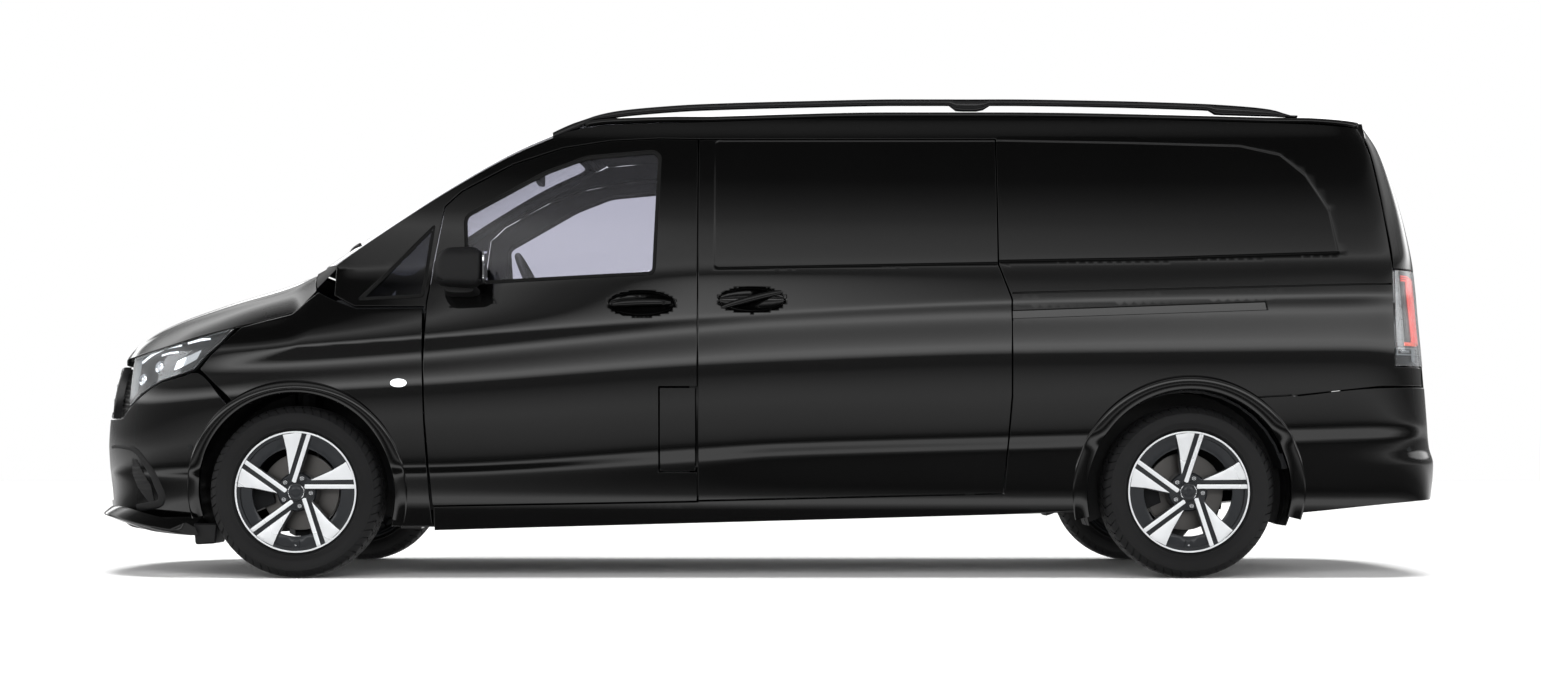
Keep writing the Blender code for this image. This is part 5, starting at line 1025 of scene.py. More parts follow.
def tailgate():
    """Tailgate with its dark pane."""
    window = np.c_[tail_u_at_y(*TAIL_WINDOW.T), TAIL_WINDOW[:, 1]]
    plan_panel("tailgate_skin", tail_gate_place, tailgate_outline(), [window], "tailgate",
               "tailgate", outward=-1, wall=0.04, materials=[PAINT, INNER_TRIM],
               back=steady(1, 0, 0))
    patch = cut_patch(grown(window, -0.0016), [], (0.04, 0.04), 0.02)
    sheet_piece("tailgate_pane", shifted(tail_place, 0.006, 0, 0), patch, -1, [DARK_GLASS] * 2,
                "tailgate", "tailgate_glass", wall=0.004, radius=0.001, back=steady(1, 0, 0))


def rear_bumper():
    """Rear bumper, cut at the arches and under the tailgate."""
    x = np.linspace(-2.03, -2.64, 60)
    top_z = through([(-2.7, 0.736), (-2.37, 0.73), (-2.006, 0.694)], x)
    step_u = tail_u_at_y(LAMP_INNER_Y + 0.017, 0.72)
    top = np.c_[tail_u(x, top_z), top_z]
    top = top[top[:, 0] > step_u]
    low_x = np.linspace(-2.68, -2.03, 40)
    low_z = through([(-2.7, 0.3), (-2.676, 0.3), (-2.034, 0.248)], low_x)
    low = np.c_[tail_u(low_x, low_z), low_z]
    edge = np.concatenate([[(0.0, 0.3)], low[1:], top, [(step_u, 0.733), (step_u, 0.583),
                                                          (0.0, 0.583)]])
    holes = arch_cuts(REAR_AXLE_X, REAR_ARCH_RADIUS, lambda x, z: (x < -1.95) & (z > 0.2),
                      tail_u, 2.0)
    plan_panel("rear_bumper_skin", tail_place, both_ways(edge), holes, "rear_bumper",
               outward=-1, wall=0.025)


CLEAR_LENS = finish_of("clear_polycarbonate_lens", "F4F6F8", 0.0, Transmission_Weight=1.0,
                       IOR=1.45)
# Lamp housing: dark plastic, its colour darkened further as painted shade for the dim inside of the
# lamp behind its lens
LAMP_HOUSING_SHADED = finish_of("dark_lamp_housing_painted_shade", "08090A", 0.3, (0.01, 0.00002), (0.24, 0.36))
LAMP_GREY = finish_of("light_grey_lamp_frame", "6E7274", 0.3, (0.01, 0.00002), (0.24, 0.36))
RED_LENS = finish_of("red_acrylic_lens", "8C0A06", 0.1, Emission_Color=linear("FF3A22"),
                     Emission_Strength=0.75)
AMBER_LENS = finish_of("amber_red_lens", "B03214", 0.12, Emission_Color=linear("FF5A30"),
                       Emission_Strength=0.45)
LED_WHITE = finish_of("white_light_guide", "F2F5F7", 0.2, Emission_Color=linear("F4F7FA"),
                      Emission_Strength=0.9)
SMOKED = finish_of("smoked_lamp_body", "101112", 0.16, (0.02, 0.00001))
MIRROR_GLASS = finish_of("silvered_mirror", "E6E8EA", 0.02, Metallic=1.0)
SEAT_CLOTH = finish_of("woven_seat_cloth", "1C1D20", 0.88, (0.0028, 0.0005), (0.8, 0.94),
                       Sheen_Weight=0.25, Sheen_Roughness=0.5)

# Wheel, seen from outside: a to the right, b up, both from the axle, and the height outwards
SPOKES = 5
LIP_RADIUS = 0.2335
LIP_INNER = 0.2268
FACE_RISE = 0.0085
FACE_BASE = 0.0805
BAR = [(0.03, 0.0125), (0.2262, 0.0125), (0.2248, 0.0285), (0.034, 0.0285)]
WEDGE = [(0.056, 0.0455), (0.14, 0.0462), (0.2215, 0.0475), (0.215, 0.072), (0.193, 0.1155),
         (0.179, 0.106), (0.14, 0.083)]
SPOKE_BODY = [(0.02, 0.01), (0.227, 0.01), (0.223, 0.05), (0.2165, 0.072),
              (0.1945, 0.1175), (0.178, 0.1075), (0.139, 0.0845), (0.053, 0.048),
              (0.02, 0.044)]
WINDOW_RADIUS = 0.172
BOLT_CIRCLE = 0.056
CAP_RADIUS = 0.034
TREAD_GROOVES = (-0.054, -0.019, 0.019, 0.054)
TREAD_PITCHES = 58
TREAD_DEPTH = 0.0075
TREAD_BOW = 0.34
SLOT_DEPTH = 0.0055
TYRE_RADIUS = 0.332
DISC_OFFSET = -0.033


def face_height(a, b):
    """Wheel face: dished, rising outwards with the 1.5 power of the radius."""
    return FACE_BASE + FACE_RISE * (np.hypot(a, b) / LIP_RADIUS) ** 1.5


def turn_outline(outline, k):
    """Outline turned to the spoke's place."""
    c, s = math.cos(2 * math.pi * k / SPOKES), math.sin(2 * math.pi * k / SPOKES)
    outline = np.asarray(outline, float)
    return np.c_[outline[:, 0] * c - outline[:, 1] * s, outline[:, 0] * s + outline[:, 1] * c]


def face_part(outline, sunk, depth, top_kind, holes=(), radius=0.0012):
    """Part of the wheel face, its top in one material and its sides dark."""
    patch = cut_patch(outline, list(holes), (0.02, 0.02), 0.006)
    return sheet_arrays(lambda a, b: stacked(a, b, face_height(a, b) - sunk), patch, 1,
                        depth=depth, radius=radius, region=lambda uv: np.full(len(uv), top_kind))


def rim_parts():
    """Barrel, lip, five spokes of a bar and a wedge, dark web, bolts, cap, valve and disc."""
    barrel = [(0.0945, 0.2335), (0.0945, 0.2275), (0.093, 0.2268), (0.079, 0.2262),
              (0.056, 0.2085), (0.02, 0.207), (-0.08, 0.208), (-0.09, 0.2262),
              (-0.0945, 0.2275), (-0.0945, 0.2335), (-0.0885, 0.2335), (-0.087, 0.2155),
              (0.0868, 0.2155), (0.0868, 0.2335)]
    parts = [turned(barrel, 160, 0)]
    lip = [(0.0938, LIP_INNER), (0.0946, 0.2276), (0.0951, 0.23), (0.0946, 0.2332),
           (0.093, 0.2334), (0.092, 0.2268)]
    parts.append(turned(lip, 160, 1))
    parts.append(face_part(circle(0, 0, 0.2272, 120), 0.0125, 0.016, 0,
                           [circle(0, 0, WINDOW_RADIUS, 80)]))
    for k in range(SPOKES):
        parts.append(face_part(turn_outline(rounded(SPOKE_BODY, 0.004), k), 0.0075, 0.03, 0))
        parts.append(face_part(turn_outline(rounded(BAR, 0.002), k), 0.0, 0.009, 1))
        parts.append(face_part(turn_outline(rounded(WEDGE, 0.003), k), 0.0, 0.009, 1))
        angle = 2 * math.pi * k / SPOKES - math.radians(4.5)
        a, b = BOLT_CIRCLE * math.cos(angle), BOLT_CIRCLE * math.sin(angle)
        bolt = [(0.06, 0.0), (0.06, 0.0095), (0.0785, 0.0095), (0.08, 0.008),
                (0.08, 0.005), (0.077, 0.0042), (0.077, 0.0)]
        parts.append(moved(knob(bolt, 0.0008, 12, 2), a, b, 0))
        well = [(0.062, 0.013), (0.079, 0.013), (0.079, 0.0142), (0.062, 0.0142)]
        parts.append(moved(turned(well, 24), a, b, 0))
    hub = [(0.04, 0.0), (0.04, 0.078), (0.066, 0.076), (0.0745, 0.07), (0.0745, 0.0)]
    parts.append(knob(hub, 0.004, 72))
    cap = [(0.066, 0.0), (0.066, 0.038), (0.08, 0.0375), (0.083, CAP_RADIUS),
           (0.0838, 0.026), (0.083, 0.022), (0.0842, 0.014), (0.0846, 0.0)]
    parts.append(knob(cap, 0.0015, 72))
    ring = [(0.0826, 0.0325), (0.084, 0.0318), (0.0846, 0.0305), (0.0838, 0.029),
            (0.0826, 0.029)]
    parts.append(turned(ring, 72, 2))
    valve = ribbon([(0.0, -0.183), (0.0, -0.224)], 0.022)
    parts.append(face_part(rounded(valve, 0.005), 0.006, 0.02, 0))
    stem = [(0.07, 0.0), (0.07, 0.0045), (0.09, 0.0045), (0.0915, 0.003), (0.0915, 0.0)]
    parts.append(moved(knob(stem, 0.001, 14, 2), 0, -0.205, 0))
    disc = [(-0.013, 0.078), (-0.013, 0.1485), (-0.0115, 0.15), (-0.0035, 0.15),
            (-0.0035, 0.144), (0.0035, 0.144), (0.0035, 0.15), (0.0115, 0.15),
            (0.013, 0.1485), (0.013, 0.078)]
    parts.append(turned([(h + DISC_OFFSET, r) for h, r in disc], 96, 3))
    hat = [(DISC_OFFSET - 0.012, 0.0), (DISC_OFFSET - 0.012, 0.079), (DISC_OFFSET + 0.01, 0.079),
           (0.02, 0.075), (0.05, 0.072), (0.05, 0.0)]
    parts.append(knob(hat, 0.004, 60))
    return [part[:3] for part in parts]


SIDEWALL = [(0.0863, 0.2153), (0.0866, 0.23), (0.088, 0.235), (0.0935, 0.2385),
            (0.0985, 0.243), (0.102, 0.2445), (0.1035, 0.247), (0.103, 0.2495),
            (0.1052, 0.254), (0.1082, 0.262), (0.109, 0.2632), (0.1105, 0.27),
            (0.112, 0.28), (0.1125, 0.288), (0.1121, 0.293), (0.111, 0.299),
            (0.1118, 0.3005), (0.1112, 0.3025), (0.1085, 0.306), (0.105, 0.311),
            (0.1005, 0.3165), (0.096, 0.3212), (0.09, 0.325), (0.082, 0.3282)]


def tyre_part():
    """Tyre: a profile turned round, less grooves round it and slots across its shoulders.

    The slots repeat with the pitch and lean with the offset, and they fade out on the sidewall.
    """
    crown = [(0.07, 0.3303)]
    for groove in sorted(TREAD_GROOVES, reverse=True):
        for step, depth in ((0.0046, 0.0), (0.0036, TREAD_DEPTH), (-0.0036, TREAD_DEPTH),
                            (-0.0046, 0.0)):
            offset = groove + step
            crown.append((offset, TYRE_RADIUS - TREAD_BOW * offset**2 - depth))
        if groove > -0.05:
            crown.append((groove - 0.017, TYRE_RADIUS - TREAD_BOW * (groove - 0.017) ** 2))
    crown.append((-0.07, 0.3303))
    profile = np.array(SIDEWALL + crown + [(-w, r) for w, r in SIDEWALL[::-1]])
    share = np.array([0.0, 0.3, 0.33, 0.45, 0.48, 0.8])
    slot = np.array([0.0, 0.0, 1.0, 1.0, 0.0, 0.0])
    angle = ((np.arange(TREAD_PITCHES)[:, None] + share) / TREAD_PITCHES).ravel()
    slot = np.tile(slot, TREAD_PITCHES)
    width, radius = profile[:, :1], profile[:, 1:]
    lean = 0.9 * np.clip(width, -0.09, 0.09) + 0.25 * np.sin(width * 90)
    reach = np.clip((radius - 0.303) / 0.004, 0, 1) * (0.35 + 0.65 * (np.abs(width) > 0.058))
    in_groove = radius < 0.3275
    reach = np.where(in_groove & (np.abs(width) < 0.07), 0.0, reach)
    radius = radius - SLOT_DEPTH * reach * slot
    turn = 2 * math.pi * angle + 0.12 * lean
    points = stacked(radius * np.cos(turn), radius * np.sin(turn), width + 0 * turn)
    return solid(points.reshape(-1, 3), ring_faces(len(profile), len(angle), True))


def wheels():
    """Rim and tyre at each corner."""
    rim, tyre_shape = rim_parts(), tyre_part()
    for place, x, y in (("front", FRONT_AXLE_X, FRONT_WHEEL_Y),
                        ("rear", REAR_AXLE_X, REAR_WHEEL_Y)):
        for label, side in SIDES:
            name = "%s_%s" % (place, label)
            body = "wheel_" + name
            solid_piece("wheel_face_" + name, [at_side(part, x, y, AXLE_Z, side) for part in rim],
                        [ALLOY_DARK, ALLOY, CHROME, DISC], body, "rim_" + name, angle=28)
            solid_piece("treaded_tyre_" + name, [at_side(tyre_shape, x, y, AXLE_Z, side)],
                        [TYRE], body, "tyre_" + name)


def arch_strip(name, rows, turned_over, material, angle):
    """Open sheet over rows of points along an arch."""
    faces = ring_faces(len(rows), len(rows[0]), closed_columns=False)
    mesh_piece(name, np.concatenate(rows), faces[:, ::-1] if turned_over else faces, [material],
               "body", slot="floor", angle=angle)


def arch_liners():
    """Wheel-arch liner: a half drum round the wheel, ribbed along, with its inner wall."""
    for place, x, radius, inner_y, width in (
            ("front", FRONT_AXLE_X, FRONT_ARCH_RADIUS + 0.006, 0.5, wing_width),
            ("rear", REAR_AXLE_X, REAR_ARCH_RADIUS + 0.006, 0.662, half_width)):
        angle = np.radians(np.linspace(-19, 199, 150))
        rib = 0.003 * (np.sin(angle * 40) > 0.6)
        for label, side in SIDES:
            rows = []
            for share, reach in ((0.0, 0.21), (0.0, radius), (0.33, radius), (0.34, radius + 0.002),
                                 (0.66, radius + 0.002), (0.67, radius), (1.0, radius)):
                r = reach + (rib if 0 < share < 1 else 0.0)
                px, pz = x + r * np.cos(angle), AXLE_Z + r * np.sin(angle)
                outer = width(px, pz) - 0.003
                rows.append(stacked(px, side * (inner_y + (outer - inner_y) * share), pz))
            arch_strip("arch_liner_%s_%s" % (place, label), rows, side < 0, GRAINED, 35)


def arch_flares():
    """Flare round each arch: a bead that stands out of the wing, rounded at both edges."""
    section = [(0.0, -0.02), (0.0, -0.002), (0.03, 0.0045), (0.1, 0.007), (0.45, 0.0085),
               (0.82, 0.0072), (0.94, 0.005), (1.0, -0.001)]
    for place, x, low, high, ends, width in (
            ("front", FRONT_AXLE_X, 0.379, 0.429, (-14, 196), wing_width),
            ("rear", REAR_AXLE_X, 0.389, 0.448, (-14, 194), half_width)):
        angle = np.radians(np.linspace(ends[0], ends[1], 170))
        for label, side in SIDES:
            rows = []
            for share, proud in section:
                r = low + (high - low) * share
                px, pz = x + r * np.cos(angle), AXLE_Z + r * np.sin(angle)
                rows.append(stacked(px, side * (width(px, pz) + proud), pz))
            arch_strip("arch_flare_%s_%s" % (place, label), rows, side > 0, PAINT, 50)


LAMP_LOW_Z = 0.817
LAMP_HIGH_Z = 1.186
GRILLE_HALF = 0.5


def wing_sheet(name, side, outline, inset, materials, node_name=None, slot=None, **more):
    """Patch that follows the wing at an inset below its surface."""
    sheet_piece(name, skin_place(side, sunk(wing_width, inset)),
                cut_patch(outline, [], (0.02, 0.012), 0.008), -side, materials, "body", node_name,
                slot, back=steady(0, -side, 0), **more)


def headlamps():
    """Clear lens over a dark housing whose colour holds painted shade, with light guides, two
    projectors and a reflector.
    """
    arc = through_line([(2.25, 0.899), (2.31, 0.89), (2.37, 0.87), (2.43, 0.835)], 24)
    guides = {
        "guide_arc": (ribbon(arc, 0.0075), LED_WHITE, 0.009),
        "guide_inner": (ribbon([(2.262, 0.872), (2.3, 0.869), (2.335, 0.86)], 0.0045),
                        LED_WHITE, 0.01),
        "guide_rear": (ribbon([(2.13, 0.9215), (2.175, 0.918), (2.222, 0.908)],
                              [0.004, 0.009, 0.011]), LED_WHITE, 0.008),
        "reflector": (np.array([(2.163, 0.878), (2.262, 0.836), (2.275, 0.802),
                                (2.225, 0.821), (2.18, 0.844)]), CHROME, 0.013),
        "front_frame": (np.array([(2.432, 0.856), (2.47, 0.842), (2.474, 0.69),
                                  (2.445, 0.715), (2.436, 0.77)]), LAMP_GREY, 0.012),
        "top_edge": (ribbon([(2.06, 0.954), (2.19, 0.92), (2.325, 0.884), (2.465, 0.849)],
                            0.0035), LAMP_GREY, 0.007)}
    for label, side in SIDES:
        base = "headlamp_%s_" % label
        slot = "headlamp_" + label
        wing_sheet(base + "lens", side, grown(LAMP_OUTLINE, -0.003), 0.0005,
                   [CLEAR_LENS] * 2, "headlamp_" + label, wall=0.003, radius=0.0008)
        # Housing behind the lens, its near-black colour partly painted shade
        wing_sheet(base + "housing", side, grown(LAMP_OUTLINE, 0.002), 0.017, [LAMP_HOUSING_SHADED],
                   slot=slot, depth=0.012)
        wing_sheet(base + "rim", side, ring_outline(LAMP_OUTLINE), 0.006, [GLOSS_BLACK],
                   slot=slot, depth=0.01, radius=0.001)
        for key, (outline, material, inset) in guides.items():
            wing_sheet(base + key, side, outline, inset, [material], slot=slot, depth=0.006,
                       radius=0.001)
        dome = [(0.01, 0.0), (0.007, 0.012), (0.0, 0.0185), (-0.004, 0.019), (-0.004, 0.0215),
                (0.003, 0.0235), (0.003, 0.0245), (-0.012, 0.025), (-0.012, 0.0)]
        dome = knob(dome, 0.0012, 40)
        solid_piece(base + "projectors",
                    [at_side(dome, x, float(wing_width(x, z)) - 0.02, z, side)
                     for x, z in ((2.412, 0.765), (2.337, 0.813))], [CHROME], "body", slot=slot)


def ring_outline(outline, width=0.006):
    """Outline of a narrow band along a closed outline, joined to itself by a hair's gap."""
    outer = stepped(grown(outline, -0.0005), 0.02)
    inner = stepped(grown(outline, -0.0005 - width), 0.02)
    return np.concatenate([outer, outer[:1] + 1e-5, inner[:1] + 1e-5, inner[::-1]])


def tail_point(inset):
    """The tail's skin moved in by an inset, both forwards and from the side."""
    def place(u, z):
        point = tail_place(u, z)
        point[..., 0] += inset
        point[..., 1] -= np.sign(point[..., 1]) * inset
        return point
    return place


def tail_sheet(name, outline, inset, materials, node_name=None, slot=None, **more):
    """Patch that follows the tail at an inset below its surface."""
    sheet_piece(name, tail_point(inset), cut_patch(outline, [], (0.02, 0.015), 0.008), -1,
                materials, "body", node_name, slot, **more)


def tail_band(side, rows):
    """Outline between two x lines of the tail's flank, given as (z, front x, rear x) rows."""
    z, front, rear = np.array(rows).T
    return np.concatenate([np.c_[side * tail_u(front, z), z],
                           np.c_[side * tail_u(rear, z), z][::-1]])


def tail_lamps():
    """Smoked lamp with a red light column, three thin strips over it and a pale lower frame."""
    z = np.linspace(LAMP_LOW_Z, LAMP_HIGH_Z, 20)
    near, far = tail_u_at_y(LAMP_INNER_Y, z), tail_u(np.full_like(z, -2.434), z)
    for label, side in SIDES:
        slot = "tail_lamp_" + label
        outline = np.concatenate([np.c_[side * near, z], np.c_[side * far, z][::-1]])
        base = "tail_lamp_%s_" % label
        tail_sheet(base + "body", outline, 0.01, [SMOKED, SMOKED], slot, wall=0.022)
        tail_sheet(base + "lens", grown(outline, -0.001), 0.0004, [CLEAR_LENS] * 2,
                   slot=slot, wall=0.003, radius=0.001)
        column = np.linspace(0.905, 1.15, 14)
        edge = -2.497 - 0.02 * np.clip((1.11 - column) / 0.2, 0, 1)
        red = tail_band(side, np.c_[column, edge, edge - 0.055 - 0.02 * (column < 1.08)])

        def part(key, outline, inset, material, radius=0.001):
            tail_sheet(base + key, outline, inset, [material], slot=slot, depth=0.003,
                       radius=radius)
        part("column", red, 0.0065, RED_LENS)
        for k in range(3):
            top = 1.164 - 0.0085 * k
            x = np.linspace(-2.47, -2.545, 8)
            height = top - 0.9 * np.clip(-2.5 - x, 0, 1) ** 1.3
            strip = ribbon(np.c_[side * tail_u(x, np.full_like(x, top)), height], 0.0035)
            part("strip_%d" % k, strip, 0.0062, RED_LENS, 0.0006)
        amber = tail_band(side, [(0.895, -2.478, -2.545), (0.907, -2.478, -2.545)])
        part("amber", amber, 0.0058, AMBER_LENS)
        for key, low, high, front, rear in (("frame_top", 0.882, 0.886, -2.44, -2.56),
                                            ("frame_low", 0.858, 0.862, -2.44, -2.56),
                                            ("frame_front", 0.858, 0.886, -2.44, -2.446),
                                            ("frame_bar", 0.868, 0.876, -2.462, -2.5),
                                            ("frame_post", 0.832, 0.886, -2.512, -2.53)):
            part(key, tail_band(side, [(low, front, rear), (high, front, rear)]), 0.006,
                 LAMP_GREY, 0.0008)


def nose_band(half_y, low, high, count=24):
    """Outline of a bar across the nose between two heights, reaching half_y each way."""
    y = np.linspace(-half_y, half_y, count)
    return np.concatenate([np.c_[nose_u_at_y(y, low), np.full(count, low)],
                           np.c_[nose_u_at_y(y, high), np.full(count, high)][::-1]])


def nose_part(outline, inset, depth, kind, radius=0.0015, holes=()):
    """Closed plate that follows the nose at an inset below its surface."""
    patch = cut_patch(outline, list(holes), (0.03, 0.012), 0.012)
    points, faces, kinds, _ = sheet_arrays(shifted(nose_place, -inset, 0, 0), patch, 1,
                                           depth=depth, radius=radius, wall=depth,
                                           back=steady(-1, 0, 0))
    return points, faces, np.full_like(kinds, kind)


def lattice_bars(count, wide, low, high, inset):
    """Upright bars of a grille, count of them each way from the middle."""
    return [nose_part(rectangle(u - wide, low, u + wide, high), inset, 0.006, 0, 0.0008)
            for u in 0.0205 * np.arange(-count, count + 1)]


def grilles():
    """Upper grille: bright-edged frame, two louvres and a lattice; lower one: five bars."""
    def across(half, low, high, *more):
        return nose_part(nose_band(half, low, high), *more)
    inner = nose_band(GRILLE_HALF - 0.03, 0.642, 0.8)
    parts = [across(GRILLE_HALF, 0.624, 0.82, 0.004, 0.03, 0, 0.004, [inner]),
             across(GRILLE_HALF - 0.012, 0.8135, 0.8185, 0.0025, 0.01, 1, 0.001),
             across(GRILLE_HALF - 0.012, 0.6265, 0.6315, 0.0025, 0.01, 1, 0.001)]
    for z in (0.69, 0.75):
        parts.append(across(GRILLE_HALF - 0.022, z - 0.011, z + 0.011, 0.006, 0.024, 0, 0.004))
        parts.append(across(GRILLE_HALF - 0.034, z + 0.001, z + 0.006, 0.0035, 0.006, 1, 0.001))
    parts += lattice_bars(22, 0.0018, 0.636, 0.806, 0.026)
    for z in 0.644 + 0.019 * np.arange(9):
        parts.append(across(GRILLE_HALF - 0.03, z - 0.0015, z + 0.0015, 0.028, 0.006, 0, 0.0008))
    solid_piece("grille_louvres", parts, [GLOSS_BLACK, CHROME], "body", "grille")
    parts = [across(0.482 - 0.38 * (z - 0.29), z - 0.006, z + 0.006, 0.012, 0.02, 0, 0.002)
             for z in 0.318 + 0.04 * np.arange(5)]
    parts += lattice_bars(20, 0.002, 0.292, 0.498, 0.03)
    solid_piece("lower_grille_lattice", parts, [GRAINED], "body", "lower_grille")


def number_plate():
    """Blank plates: thin pressed sheet with a rounded edge, in the tail's recess and on the nose.
    """
    for name, body, slot, place, outward, low, high in (
            ("rear_plate", "tailgate", "tailgate", shifted(tail_place, 0.014, 0, 0), -1,
             0.825, 0.938),
            ("front_plate", "body", "front_bumper", shifted(nose_place, -0.004, 0, 0), 1,
             0.512, 0.612)):
        outline = rounded(rectangle(-0.255, low, 0.255, high), 0.01)
        sheet_piece(name, place, cut_patch(outline, [], (0.04, 0.02), 0.02), outward,
                    [LAMP_GREY, LAMP_GREY], body, slot=slot, wall=0.003, radius=0.001)


def mirrors():
    """Mirror: a pebble-shaped shell, its section shrinking to the outer end, glass at the rear."""
    outline = rounded([(1.052, 1.104), (1.232, 1.117), (1.243, 1.2), (1.2, 1.26),
                       (1.048, 1.266)], 0.055, 8)
    centre = np.array([1.12, 1.188])
    share = np.array([0.0, 0.06, 0.2, 0.4, 0.6, 0.75, 0.86, 0.93, 0.97, 1.0])
    size = np.array([0.9, 0.96, 0.99, 1.0, 0.985, 0.95, 0.88, 0.78, 0.66, 0.45])
    for label, side in SIDES:
        y = HALF + 0.0205 + 0.1345 * share
        rows = centre + (outline - centre)[None] * size[:, None, None]
        rows[..., 0] += 0.012 * (1 - share)[:, None]
        sections = stacked(rows[..., 0], side * (y[:, None] + 0 * rows[..., 0]), rows[..., 1])
        c, s = superellipse(3.0, 24)
        arm = [stacked(1.15 + 0.07 * c * size, side * (y + 0 * c), z + 0.02 * s)
               for y, z, size in ((HALF - 0.06, 1.098, 1.0), (HALF - 0.01, 1.104, 0.92),
                                  (HALF + 0.055, 1.112, 0.8))]
        body, node_name = "front_door_" + label, "mirror_" + label
        solid_piece("mirror_shell_" + label, [lofted(sections), lofted(arm)], [GRAINED], body,
                    node_name)
        glass = rounded([(HALF + 0.034, 1.122), (HALF + 0.148, 1.13), (HALF + 0.146, 1.24),
                         (HALF + 0.034, 1.25)], 0.02)
        sheet_piece("mirror_glass_" + label,
                    lambda y, z: stacked(1.0465 + 0 * y, side * y, z),
                    cut_patch(glass, [], (0.03, 0.03), 0.02), -side, [MIRROR_GLASS], body,
                    slot=node_name, depth=0.006, radius=0.001)
        line = ribbon(through_line([(1.062, 1.135), (1.13, 1.1265), (1.238, 1.14)]), 0.003)
        sheet_piece("mirror_gap_" + label,
                    lambda x, z: stacked(x, side * (HALF + 0.143 + 0 * x), z),
                    cut_patch(line, [], (0.03, 0.03), 0.01), -side, [GLOSS_BLACK], body,
                    slot=node_name, depth=0.012, radius=0.0005)


def through_line(points, count=20):
    """The smooth curve through points as a line of evenly spaced ones."""
    points = np.asarray(points, float)
    x = np.linspace(points[0, 0], points[-1, 0], count)
    return np.c_[x, through(points, x)]


def roof_rails():
    """Rail that leaves the roof in a long foot, runs clear of it and comes down again."""
    x = np.linspace(0.818, -2.096, 110)
    top = through([(-2.098, 1.792), (-1.993, 1.8275), (-1.875, 1.841), (-1.718, 1.851),
                   (-1.325, 1.8636), (-0.933, 1.8695), (-0.541, 1.8695), (-0.148, 1.8616),
                   (0.244, 1.849), (0.401, 1.839), (0.558, 1.8235), (0.636, 1.808),
                   (0.695, 1.788), (0.739, 1.7725), (0.774, 1.757), (0.82, 1.734)], x)
    seat_z = roof_height(x, ROOF_EDGE_HALF - 0.03) - 0.002
    ahead = np.clip((x - 0.66) / 0.06, 0, 1)
    seat_z += ahead * (through(PILLAR_LINE, np.maximum(x, 0.7)) - 0.004 - seat_z)
    under = top - 0.026
    foot = np.zeros_like(x)
    for front, rear in ((0.9, 0.61), (-0.765, -0.855), (-1.78, -2.2)):
        foot = np.maximum(foot, np.clip((front - x) / 0.035 + 1, 0, 1)
                          * np.clip((x - rear) / 0.035 + 1, 0, 1))
    foot = foot * foot * (3 - 2 * foot)
    low = np.maximum(under * (1 - foot) + seat_z * foot, seat_z)
    top = np.maximum(top, low + 0.008)
    y = half_width(x, through(ROOF_EDGE, x)) - 0.03
    for label, side in SIDES:
        rail = bar(x, y, (low + top) / 2, 0.0125, (top - low) / 2, 3.2, 20, side)
        solid_piece("rail_" + label, [rail], [GLOSS_BLACK], "body", "roof_rail_" + label)


def handles():
    """Pull handle over its recess: a bowed grip tapering into its ends, with a key cover."""
    for key, centre, half, slope in (("front", FRONT_HANDLE, 0.112, -0.003),
                                     ("slide", SLIDE_HANDLE, 0.116, -0.03)):
        share = np.linspace(-1, 1, 40)
        x = centre[0] + half * share
        z = centre[1] + 0.004 + slope * share - 0.004 * share**2
        tall = 0.0125 * (1 - 0.45 * np.abs(share) ** 4)
        y = half_width(x, z) + 0.0075 - 0.016 * np.abs(share) ** 5
        for label, side in SIDES:
            parts = [bar(x, y, z, 0.008, tall, 2.6, 18, side)]
            body, slot = "body", "sliding_door_" + label
            if key == "front":
                body = slot = "front_door_" + label
                key_x, key_z = centre[0] - half + 0.026, centre[1] + 0.003
                key_y = float(half_width(key_x, key_z)) + 0.0105
                cover = [(0.0, 0.0), (0.0, 0.0105), (0.0045, 0.01), (0.0058, 0.0085),
                         (0.005, 0.007), (0.0052, 0.0)]
                parts.append(at_side(knob(cover, 0.001, 32),
                                     key_x, key_y, key_z, side))
            solid_piece("%s_handle_%s" % (key, label), parts, [PAINT], body, slot=slot)


def small_fittings():
    """Wing indicators, parking sensors and wiper blades."""
    for label, side in SIDES:
        c, s = superellipse(2.0, 40)
        lamp = cut_patch(np.c_[1.391 + 0.0285 * c, 0.75 + 0.013 * s], [], (0.01, 0.01), 0.006)
        sheet_piece("indicator_" + label, skin_place(side, sunk(wing_width, -0.004)), lamp, -side,
                    [LED_WHITE], "body", slot="front_wing_" + label, depth=0.008, radius=0.003)
        sensors = []
        for x, z in ((2.2, 0.504), (-2.49, 0.495)):
            points, faces, _ = turned([(0.0, 0.0), (0.0, 0.0105), (0.0015, 0.01), (0.002, 0.0)],
                                      28, 0, closed=False)
            y = float(half_width(x, z)) - 0.0005
            slope = float(half_width(x + 0.01, z) - half_width(x - 0.01, z)) / 0.02
            sensors.append(solid(stacked(x - side * points[:, 0] - slope * points[:, 2],
                                         side * (y + points[:, 2] - slope * side * points[:, 0]),
                                         z + points[:, 1]), faces))
        solid_piece("parking_sensors_" + label, sensors, [SMOKED], "body", slot="front_bumper")
    wipers = []
    for foot_y, tip_y in ((-0.12, 0.58), (-0.72, -0.06)):
        y = np.linspace(foot_y, tip_y, 30)
        t = 0.05 + 0.1 * np.abs((y - foot_y) / (tip_y - foot_y)) ** 0.8
        centre = screen_place(y, t) + np.array([0.002, 0.0, 0.003])
        c, s = superellipse(2.0, 10)
        ring = stacked(0.005 * c, 0 * c, 0.006 * s)
        wipers.append(lofted(centre[:, None, :] + ring[None]))
    solid_piece("wiper_blades", wipers, [GRAINED], "body", slot="windscreen")


